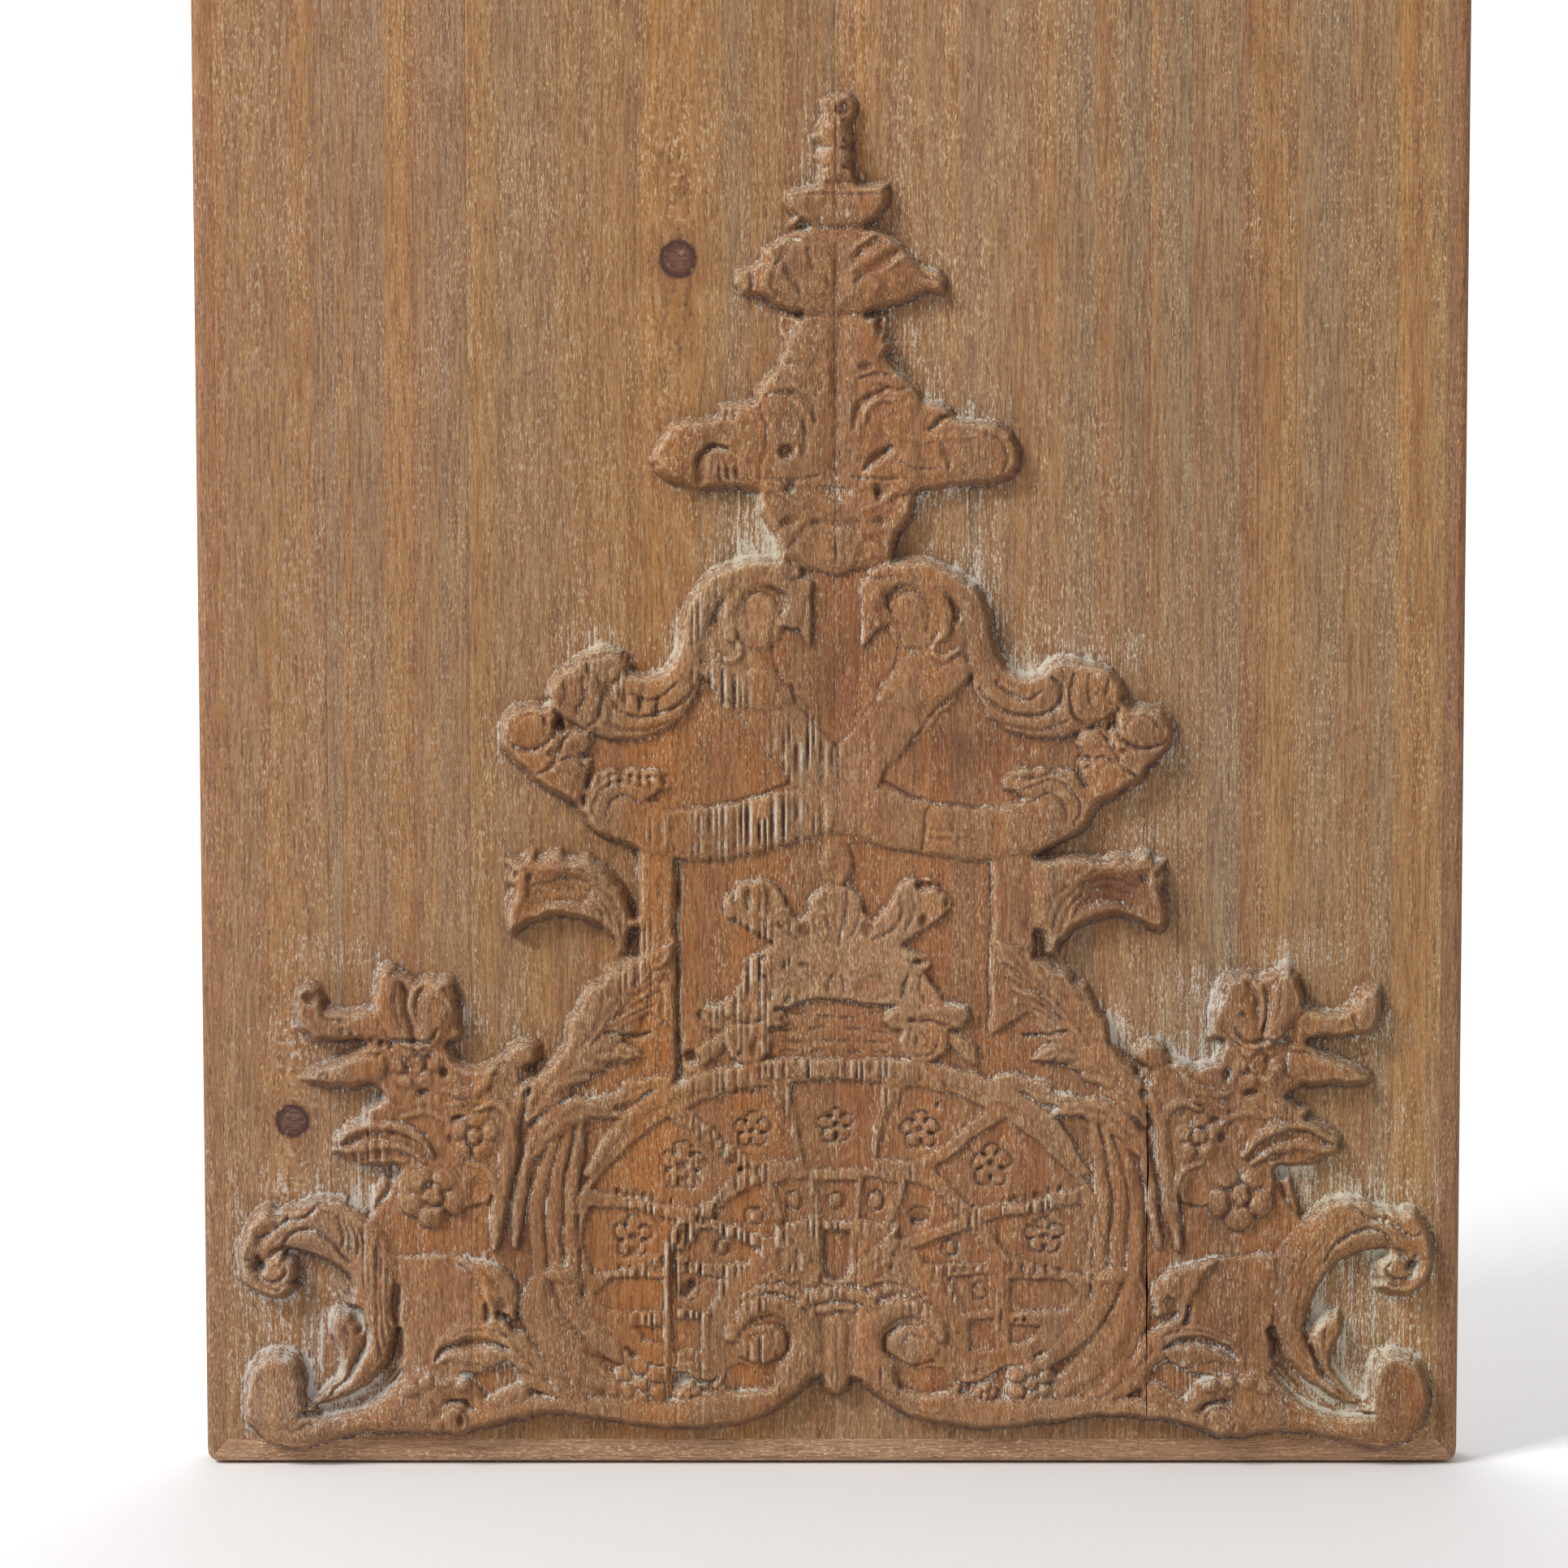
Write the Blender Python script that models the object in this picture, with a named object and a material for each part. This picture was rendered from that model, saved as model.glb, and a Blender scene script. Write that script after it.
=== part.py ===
# Carved wall panel: six fir boards glued up side by side, a mitred edging strip
# around them, and a low relief carved into the face of the boards.
# Metres, +Z up. The origin is the centre of the flat back; the face looks along -Y.
import math
import bpy
import bmesh
import numpy as np

# Boards and edging
PANEL_WIDTH = 0.4060
PANEL_HEIGHT = 1.016
BOARD_SHARES = (0.088, 0.116, 0.299, 0.256, 0.119, 0.122)
BOARD_THICKNESS = 0.020
EDGING_SIDE_WIDTH = 0.0068
EDGING_END_WIDTH = 0.0078
JOINT_GAP = 0.0003
EDGE_RADIUS = 0.0035
CORNER_RADIUS = 0.0040

# Carving: its size follows the panel's width, less a margin on each side
CARVING_MARGIN = 0.0084
CARVING_DEPTH = 0.0090
AXIS_SHIFT = 0.0016

# The carving's own drawing, in millimetres at the size of the real panel
DRAWING_REACH = 193.0
GRID_REACH = 203.0
GRID_FOOT = -2.0
GRID_TOP = 446.0
DRAWING_DEPTH = 9.0

# Tones of the wood, the boards' from left to right
BOARD_TONES = ((0.33, 0.20, 0.11), (0.35, 0.21, 0.12), (0.31, 0.18, 0.10), (0.34, 0.20, 0.11),
               (0.32, 0.19, 0.11), (0.35, 0.22, 0.13))
EDGING_TONE = (0.28, 0.17, 0.10)
WOOD_ROUGHNESS = 0.72

# Fineness of the relief
GRID_STEP = 0.0015
RELIEF_TRIANGLES = 6600
ARC_STEPS = 3

FIELD_WIDTH = PANEL_WIDTH - 2 * (EDGING_SIDE_WIDTH + JOINT_GAP)
BOARDS_WIDTH = FIELD_WIDTH - JOINT_GAP * (len(BOARD_SHARES) - 1)
FIELD_HEIGHT = PANEL_HEIGHT - 2 * (EDGING_END_WIDTH + JOINT_GAP)
CARVING_SCALE = (PANEL_WIDTH / 2 - CARVING_MARGIN - AXIS_SHIFT) / DRAWING_REACH
DEPTH_SCALE = CARVING_DEPTH / DRAWING_DEPTH

for old in list(bpy.data.objects):
    bpy.data.objects.remove(old, do_unlink=True)

def curve_through(points, closed=False, pieces=5):
    """A smooth line through a few points, as an array of close points."""
    knots = [np.array(p, float) for p in points]
    count = len(knots)
    spans = count if closed else count - 1
    line = []
    for k in range(spans):
        if closed:
            before, start, end, after = (knots[(k + j) % count] for j in (-1, 0, 1, 2))
        else:
            start, end = knots[k], knots[k + 1]
            before = knots[k - 1] if k else 2 * start - end
            after = knots[k + 2] if k + 2 < count else 2 * end - start
        for j in range(pieces):
            t = j / pieces
            line.append(0.5 * (2 * start + (end - before) * t
                               + (2 * before - 5 * start + 4 * end - after) * t ** 2
                               + (3 * (start - end) + after - before) * t ** 3))
    if not closed:
        line.append(knots[-1])
    return np.array(line)


def spiral(centre, start_radius, end_radius, start_angle, turn, count=16):
    """Points of a volute, from outside to its eye, angles in degrees."""
    line = []
    for k in range(count + 1):
        t = k / count
        angle = math.radians(start_angle + turn * t)
        radius = start_radius + (end_radius - start_radius) * t
        line.append((centre[0] + radius * math.cos(angle), centre[1] + radius * math.sin(angle)))
    return line


class Relief:
    """Heights of one half of the carving, over distance from its axis and height above its foot."""

    def __init__(self, reach, low, high, step):
        self.step = step
        self.u = np.arange(-6 * step, reach + step, step)
        self.z = np.arange(low, high + step, step)
        self.low = low
        self.h = np.zeros((len(self.z), len(self.u)))

    def window(self, line, margin):
        (left, bottom), (right, top) = line.min(0) - margin, line.max(0) + margin
        rows = slice(max(0, int((bottom - self.low) / self.step)), max(0, int((top - self.low) / self.step) + 2))
        first = self.u[0]
        columns = slice(max(0, int((left - first) / self.step)), max(0, int((right - first) / self.step) + 2))
        uu, zz = np.meshgrid(self.u[columns], self.z[rows])
        return rows, columns, uu, zz

    def near(self, uu, zz, line, widths):
        """Distance over half-width to a line, and how far along it the nearest point lies."""
        share = np.linspace(0, 1, len(line))
        half = np.interp(share, np.linspace(0, 1, len(widths)), widths)
        best = np.full(uu.shape, 9.0)
        along = np.zeros(uu.shape)
        for k in range(len(line) - 1):
            ax, az = line[k]
            dx, dz = line[k + 1] - line[k]
            t = np.clip(((uu - ax) * dx + (zz - az) * dz) / (dx * dx + dz * dz + 1e-9), 0, 1)
            ratio = np.hypot(uu - ax - t * dx, zz - az - t * dz) / (half[k] + (half[k + 1] - half[k]) * t)
            closer = ratio < best
            best = np.where(closer, ratio, best)
            along = np.where(closer, (k + t) / (len(line) - 1), along)
        return best, along

    def inside(self, uu, zz, line):
        """Distance from an outline, positive within it."""
        gap = np.full(uu.shape, 1e9)
        within = np.zeros(uu.shape, bool)
        for k in range(len(line)):
            ax, az = line[k]
            bx, bz = line[(k + 1) % len(line)]
            dx, dz = bx - ax, bz - az
            t = np.clip(((uu - ax) * dx + (zz - az) * dz) / (dx * dx + dz * dz + 1e-9), 0, 1)
            gap = np.minimum(gap, np.hypot(uu - ax - t * dx, zz - az - t * dz))
            if az != bz:
                within ^= ((az > zz) != (bz > zz)) & (uu < ax + (zz - az) * dx / dz)
        return np.where(within, gap, -gap)

    def plate(self, outline, level, curved=True, crown=0.0, reach=6.0, sunk=False):
        """A flat field with the outline given; a crown lifts its middle."""
        line = curve_through(outline, True) if curved else np.array(outline, float)
        rows, columns, uu, zz = self.window(line, 1)
        gap = self.inside(uu, zz, line)
        height = level + crown * np.clip(gap / reach, 0, 1) * (2 - np.clip(gap / reach, 0, 1))
        held = self.h[rows, columns]
        laid = height if sunk else np.maximum(held, height)
        self.h[rows, columns] = np.where(gap > 0, laid, held)

    def stroke(self, points, widths, foot, top, power=2.2, ribs=0, rib=0.6):
        """A strap or ridge with a domed section; ribs are ridges along it."""
        line = curve_through(points)
        rows, columns, uu, zz = self.window(line, max(widths) + 1)
        ratio = self.near(uu, zz, line, widths)[0]
        across = np.clip(ratio, 0, 1)
        height = foot + (top - foot) * (1 - across ** power) ** 0.7
        if ribs:
            height -= rib * 0.5 * (1 - np.cos(math.pi * ribs * across))
        held = self.h[rows, columns]
        self.h[rows, columns] = np.where(ratio < 1, np.maximum(held, height), held)

    def groove(self, points, widths, depth, curved=True):
        """A rounded cut along a line, below whatever is there."""
        line = curve_through(points) if curved else np.array(points, float)
        rows, columns, uu, zz = self.window(line, max(widths) + 1)
        ratio = self.near(uu, zz, line, widths)[0]
        self.h[rows, columns] -= depth * np.where(ratio < 1, (1 - np.clip(ratio, 0, 1) ** 2) ** 1.5, 0)

    def dome(self, centre, radii, foot, top, power=2.0, lean=0.0):
        """A ball, button or egg; lean turns it, in degrees."""
        centre = np.array(centre, float)
        ru, rz = radii if isinstance(radii, tuple) else (radii, radii)
        rows, columns, uu, zz = self.window(np.array([centre - max(ru, rz), centre + max(ru, rz)]), 1)
        c, s = math.cos(math.radians(lean)), math.sin(math.radians(lean))
        du, dz = uu - centre[0], zz - centre[1]
        ratio = np.hypot((du * c + dz * s) / ru, (dz * c - du * s) / rz)
        height = foot + (top - foot) * np.sqrt(1 - np.clip(ratio, 0, 1) ** power)
        held = self.h[rows, columns]
        self.h[rows, columns] = np.where(ratio < 1, np.maximum(held, height), held)

    def pit(self, centre, radii, depth, lean=0.0):
        """A round or oval hollow."""
        centre = np.array(centre, float)
        ru, rz = radii if isinstance(radii, tuple) else (radii, radii)
        rows, columns, uu, zz = self.window(np.array([centre - max(ru, rz), centre + max(ru, rz)]), 1)
        c, s = math.cos(math.radians(lean)), math.sin(math.radians(lean))
        du, dz = uu - centre[0], zz - centre[1]
        ratio = np.clip(np.hypot((du * c + dz * s) / ru, (dz * c - du * s) / rz), 0, 1)
        self.h[rows, columns] -= depth * (1 - ratio ** 2) ** 0.7

    def blossom(self, centre, radius, petals, foot, top, eye=0.28, turn=90.0, notch=0.22):
        """A flower seen from the front: petals with notches between and a button in the middle."""
        centre = np.array(centre, float)
        rows, columns, uu, zz = self.window(np.array([centre - radius, centre + radius]), 1)
        du, dz = uu - centre[0], zz - centre[1]
        away = np.hypot(du, dz) / radius
        swing = np.abs(np.cos(0.5 * petals * (np.arctan2(dz, du) - math.radians(turn))))
        rim = 1 - notch * (1 - swing ** 0.7)
        ratio = away / rim
        height = foot + (top - foot) * np.sqrt(1 - np.clip(ratio, 0, 1) ** 3)
        height -= (top - foot) * 0.55 * (1 - swing) ** 2 * np.clip(away / 0.5, 0, 1)
        height -= (top - foot) * 0.5 * np.exp(-((away - eye * 1.15) / 0.09) ** 2)
        held = self.h[rows, columns]
        self.h[rows, columns] = np.where(ratio < 1, np.maximum(held, height), held)

    def flower_ring(self, centre, radius, petals, width, rise, turn=90.0):
        """A flower drawn as a raised or sunk line, with a dot in the middle."""
        for k in range(petals):
            angle = math.radians(turn + 360 * k / petals)
            middle = (centre[0] + radius * 0.62 * math.cos(angle), centre[1] + radius * 0.62 * math.sin(angle))
            ring = spiral(middle, radius * 0.38, radius * 0.38, math.degrees(angle) - 125, 250, 8)
            self.groove(ring, [width], -rise)
        self.pit(centre, radius * 0.24, -rise * 1.2)

    def dome_on(self, centre, radius, rise):
        """A button raised from whatever is there."""
        self.pit(centre, radius, -rise)

    def leaf(self, spine, half, foot, top, lobes=0, cut=0.35, vein=0.7, slant=1.4):
        """A leaf along a spine, widest a third of the way up, with lobes, a mid vein and side veins."""
        line = curve_through(spine)
        rows, columns, uu, zz = self.window(line, half * 1.3 + 1)
        ratio, along = self.near(uu, zz, line, [half])
        length = np.hypot(*np.diff(line, axis=0).T).sum()
        body = np.sin(math.pi * np.clip(along, 0.02, 1) ** 0.75) ** 0.8
        if lobes:
            phase = along * lobes - ratio * half * slant / length * lobes
            body = body * (1 - cut * (0.5 - 0.5 * np.cos(2 * math.pi * phase)) * np.clip(ratio / 0.4, 0, 1))
        reach = ratio / np.maximum(body, 0.05)
        height = foot + (top - foot) * np.sqrt(1 - np.clip(reach, 0, 1) ** 2.2)
        height -= vein * np.exp(-(ratio * half / 0.9) ** 2)
        if lobes:
            height -= 0.6 * vein * np.clip(ratio / 0.2, 0, 1) * (0.5 - 0.5 * np.cos(2 * math.pi * phase)) ** 3
        held = self.h[rows, columns]
        self.h[rows, columns] = np.where(reach < 1, np.maximum(held, height), held)

    def read(self, u, z):
        """The height at one place, between the grid's own points."""
        column = min(max((u - self.u[0]) / self.step, 0), len(self.u) - 1.001)
        row = min(max((z - self.z[0]) / self.step, 0), len(self.z) - 1.001)
        i, j = int(row), int(column)
        a, b = row - i, column - j
        near = self.h[i, j] * (1 - b) + self.h[i, j + 1] * b
        far = self.h[i + 1, j] * (1 - b) + self.h[i + 1, j + 1] * b
        return near * (1 - a) + far * a

    def ease(self, slope, passes):
        """Leans every wall back to a slope, then softens the surface."""
        rise = slope * self.step
        rounds = int(10 / rise) + 1
        for _ in range(rounds):
            lowest = self.h.copy()
            for axis in (0, 1):
                for shift in (-1, 1):
                    lowest = np.minimum(lowest, np.roll(self.h, shift, axis) + rise)
            for du in (-1, 1):
                for dz in (-1, 1):
                    lowest = np.minimum(lowest, np.roll(self.h, (du, dz), (0, 1)) + rise * 1.414)
            self.h = lowest
        for _ in range(passes):
            for axis in (0, 1):
                self.h = 0.5 * self.h + 0.25 * (np.roll(self.h, 1, axis) + np.roll(self.h, -1, axis))


# Levels above the ground, in millimetres of the drawing
LOW = 3.8
FIELD = 4.5
BAND = 5.3
HIGH = 6.6
CREST = 8.4


def lay_fields(r):
    # broad fields that the ornament lies on
    r.plate([(-4, 26), (5, 29), (14, 22), (26, 15), (50, 12.5), (80, 16), (118, 14), (150, 12), (168, 14),
             (150, 24), (141, 36), (139, 52), (141, 69), (100, 72), (104, 100), (98, 127), (66, 140), (-4, 140)], LOW)
    r.plate([(-4, 125), (64, 125), (64, 199), (40, 198), (18, 202), (-4, 211)], LOW, curved=False)
    r.plate([(-4, 289), (10, 291), (30, 292), (42, 285), (50, 270), (55, 259), (62, 257), (72, 260), (88, 255),
             (92, 248), (104, 244), (106, 236), (98, 225), (86, 216), (76, 204), (62, 198.5), (46, 196.5),
             (30, 198), (12, 203.5), (-4, 209.5)], FIELD)
    r.plate([(96, 66), (146, 66), (150, 82), (146, 98), (140, 114), (118, 126), (98, 128)], LOW)
    r.plate([(113, 30), (141, 30), (141, 69), (119, 69), (114, 60)], BAND + 0.3, curved=False)


def lay_corner(r, side):
    # leaf scroll in the corner, its volute, the tongue leaf within it and the ball below
    r.stroke([(170, 18), (159, 23.5), (150.5, 32), (145.5, 43), (145, 55), (147.5, 66), (154, 75), (163, 81),
              (172, 81)], [1.6, 3.6, 6, 6.6, 6.6, 7.2, 7.8, 8, 5], 3, CREST, power=2.6)
    r.stroke([(153, 57), (157.5, 65.5), (164.5, 71.5), (171, 72.5), (176, 69.5)], [2.4, 4.2, 5.4, 5.2, 3], 3, HIGH + 0.8)
    r.stroke([(167, 83), (174, 83), (181, 80.5), (187, 74.5), (188.6, 66), (185.2, 59.3), (179, 57.6), (174, 61),
              (173.6, 66), (177, 69)], [4, 4.6, 4.4, 4, 3.8, 3.6, 3.3, 3, 2.7, 2], 3, CREST)
    r.dome((180.5, 64.6), (5, 4.6), 4, HIGH + 0.6)
    r.stroke([(156, 50), (157.6, 44), (156.6, 37), (158.6, 30), (164, 23.6), (172, 19.6)],
             [2.6, 5, 4.4, 3.4, 2.6, 1], 2.4, HIGH + 0.6)
    r.dome((180, 23), (12.6, 15.6), 3.4, CREST + 0.3, power=3.4)
    r.stroke([(182, 11.5), (168, 10.5), (155, 14.5), (143, 19), (131, 19)], [5.6, 5.6, 5.2, 5.6, 5.4], 3, CREST - 0.8,
             power=3)
    r.groove([(139, 31), (147, 24.4), (156, 19.6), (167, 17.4), (175, 18)], [1.0, 1.8, 2, 1.6, 0.8], 2.6)
    r.groove([(151.8, 47), (151.8, 40), (154.6, 32), (160, 25.6), (168, 20.6)], [0.7, 1.2, 1.3, 1.2, 0.6], 2.0)
    for k in range(3):
        r.groove([(158 + 4 * k, 71 + 3 * k), (166 + 3 * k, 74.5 + 3 * k), (174 + 2.5 * k, 72 + 3.5 * k)], [0.7, 0.9, 0.6],
                 0.6)
    if side < 0:
        for k in range(3):
            r.groove([(144 + 1.9 * k, 32 + 4 * k), (142.6 + 2 * k, 50), (145.6 + 1.9 * k, 68 - 2 * k)], [0.8], 1.0)


def lay_base(r):
    # long scroll along the foot, from the ball to the pendant in the middle
    r.stroke([(134, 15), (116, 16), (100, 19), (84, 20), (70, 19), (58, 17.5), (46, 17.8), (34, 19.6), (24, 23.4),
              (15, 29), (10.4, 36.5), (10.4, 45), (15.4, 51), (24, 52.8), (31, 49), (34, 42.5)],
             [4.6, 3.6, 3.6, 4.4, 5.2, 5.4, 6, 6.6, 7, 6.6, 6, 5.4, 4.6, 4.2, 3.8, 2.4], 3, HIGH + 0.9, power=2.6)
    r.dome((25, 40.6), (8.6, 8.2), 4.4, HIGH + 0.2, power=3)
    r.groove([(27, 46.4), (20.5, 46.4), (16.2, 43), (15.4, 39), (18, 35), (24, 33.4), (31, 35.4)],
             [0.6, 1, 1.2, 1.2, 1.1, 1, 0.6], 1.2)
    r.groove([(22, 36.5), (21, 40.5), (24, 43.5), (28, 42)], [0.8], 0.8)
    for k in range(3):
        r.groove([(21.4 + 2.7 * k, 49.2), (21.8 + 2.7 * k, 53.4)], [0.7], 1.0, curved=False)
    r.stroke([(6.4, 29), (6.6, 40), (8, 50), (13, 57), (22, 58.4), (30, 55)], [1.6, 1.8, 2.2, 2.4, 2, 1.2], 4, HIGH)
    r.plate([(-4, 24.6), (4.4, 25), (6, 33), (6.4, 50), (-4, 50)], BAND, curved=False)
    r.stroke([(0, 27), (0, 46)], [3.0, 3.6], BAND, HIGH + 0.3)
    r.dome((0, 27), (4.2, 4.6), 3.6, HIGH + 0.6)
    r.pit((5.6, 28), (2, 2.4), 3.4)
    r.stroke([(-2, 57.6), (8, 56), (12.6, 52.6)], [2.6, 2.4, 1.4], BAND, HIGH + 0.6)
    r.stroke([(-2, 52.4), (5, 52.2)], [1.6], BAND, HIGH)
    r.plate([(19, 35), (18.6, 29), (22.6, 25.4), (33, 24.4), (37, 27), (33, 33.4), (25, 32.6)], FIELD, sunk=True)
    # small scroll, crest, crescent leaf and ball on the foot
    r.dome((124.6, 15), 5.6, 3.4, HIGH + 1.3, power=3)
    r.stroke([(118.4, 11), (117, 16.6), (119.6, 21), (125.4, 21.8), (131, 18)], [1.4, 1.8, 1.8, 1.6, 1], 4, HIGH + 0.8)
    r.stroke([(112.6, 21), (116.4, 26), (123.4, 28.6), (131.4, 28.6), (138, 27), (145, 21.6)],
             [1.2, 2.8, 3.6, 4, 3.6, 1.4], 3.6, HIGH + 0.7)
    for k in range(3):
        r.pit((121.6 + 5.6 * k, 26.6 - 0.4 * k), (1.8, 1.6), 1.0)
    r.stroke([(103.6, 40), (111.6, 43), (119.4, 43.6), (126, 40.6), (130.6, 33.6)], [1, 2.8, 3.6, 3.2, 1], 4.4,
             HIGH + 0.8)
    r.pit((114, 36.4), (7.4, 2.6), 1.8, lean=-4)
    r.leaf([(104, 50), (108, 57), (114, 63), (121, 68)], 6, 4.4, HIGH + 0.4, vein=0.4)
    r.pit((109, 53), (3.2, 3), 1.2)


def lay_leaf_bands(r):
    # long leaves that sweep out from the foot to either side of the fan
    r.stroke([(72, 25), (82, 31), (90, 41), (95, 52), (95, 61)], [4, 6.6, 7.6, 7, 3.6], 4, HIGH + 0.2, ribs=2, rib=0.6,
             power=3)
    r.stroke([(66, 34), (75, 40), (83, 49), (88, 59)], [2, 4.4, 5.2, 3.2], 4.4, HIGH - 0.2, power=3)
    r.groove([(73, 34), (82, 42), (89, 52), (92, 60)], [0.8], 0.8)
    r.leaf([(78, 19), (88, 25), (98, 34), (107, 44), (112, 50)], 6.6, 4, HIGH + 0.5, lobes=4, cut=0.25)
    r.dome((88.6, 62.6), (6, 3.4), 4.2, HIGH + 0.8)
    r.blossom((63, 27.5), 8.6, 6, 4, HIGH + 0.7, notch=0.12)
    r.blossom((48, 23.6), 4.6, 5, 4.4, HIGH + 0.3)
    r.blossom((37, 26), 3.6, 5, 4.4, HIGH + 0.1)
    r.leaf([(38, 30), (46, 31.6), (54, 34)], 3.4, 4.4, BAND + 0.8)


def lay_fan(r):
    # raised lattice of the fan, with sunk cells between its bars
    r.plate([(-4, 30), (10, 30), (30, 28), (60, 34), (80, 46), (82, 60), (83, 88), (74, 104), (60, 120), (48, 126),
             (22, 131), (-4, 132.5)], BAND, curved=False)
    floor = BAND - 1.3
    cells = [
        [(-4, 97), (9.5, 97), (15.5, 125.5), (-4, 127)],
        [(12.5, 100), (25, 99), (36, 106), (48, 117), (36, 122), (22, 124.5), (16, 114)],
        [(30.5, 97), (43.5, 84.5), (60, 86), (79.5, 90.5), (72, 100), (62, 108.5), (54, 114), (42, 106)],
        [(48.5, 80), (64, 83.5), (79.5, 85.5), (81.5, 75), (79.5, 62.5), (66, 65), (54, 69.5)],
    ]
    for cell in cells:
        r.plate(cell, floor, curved=False, sunk=True)
    for centre in ((0, 111), (26.5, 109.5), (51, 98.5), (65.5, 75)):
        r.flower_ring(centre, 6.6, 5, 0.85, -0.9)
    inner = [
        [(-4, 80), (5, 80), (6.5, 93), (-4, 93.5)],
        [(7.5, 81), (16, 79), (20, 92), (8.5, 94.5)],
        [(17.5, 77), (22, 74), (40.5, 81.5), (31, 90), (23, 93)],
        [(25, 71.5), (28, 66), (49, 66), (50, 70), (43.5, 78.5)],
        [(35, 61.5), (50, 63), (51, 51.5), (42, 50.5)],
        [(56, 62), (73, 61), (78, 57), (74, 51), (56.5, 50.5)],
        [(43.5, 48), (51.5, 48.5), (52, 38), (43, 37.5)],
        [(56, 46.5), (66, 46), (62, 41), (56, 40.5)],
    ]
    for cell in inner:
        r.plate(cell, floor, curved=False, sunk=True)
    for centre in ((0, 86.5), (13, 86.5), (26.5, 81.5), (37, 71.5), (46.5, 57)):
        r.groove(spiral(centre, 2.7, 2.7, 0, 360, 12), [0.8], 0.7)
        r.dome_on(centre, 2, 0.5)
    r.plate([(-4, 61), (4, 61), (4, 77), (-4, 77)], floor - 0.6, curved=False, sunk=True)
    r.leaf([(3, 61), (11, 66), (17, 72), (20, 79)], 4.6, BAND, HIGH + 0.2, lobes=3)
    r.leaf([(6, 60), (16, 63), (27, 60)], 3, BAND, HIGH, lobes=3)
    # round band over the fan, and fluted posts beside it
    r.stroke([(-3, 130), (14, 130), (30, 128), (46, 124), (60, 118.5), (72, 108), (80, 96)],
             [3.2, 3.2, 3.2, 3, 2.6, 2.2, 1.6], BAND - 0.2, HIGH - 0.6, power=4)
    for k in range(3):
        start = 84.6 + 5.4 * k
        r.stroke([(start, 58), (start + 0.8, 88), (start - 3 - 2 * k, 116 - 2 * k)], [2.6, 2.8, 1.4], LOW,
                 BAND + 0.7 - 0.2 * k, power=3)


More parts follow.
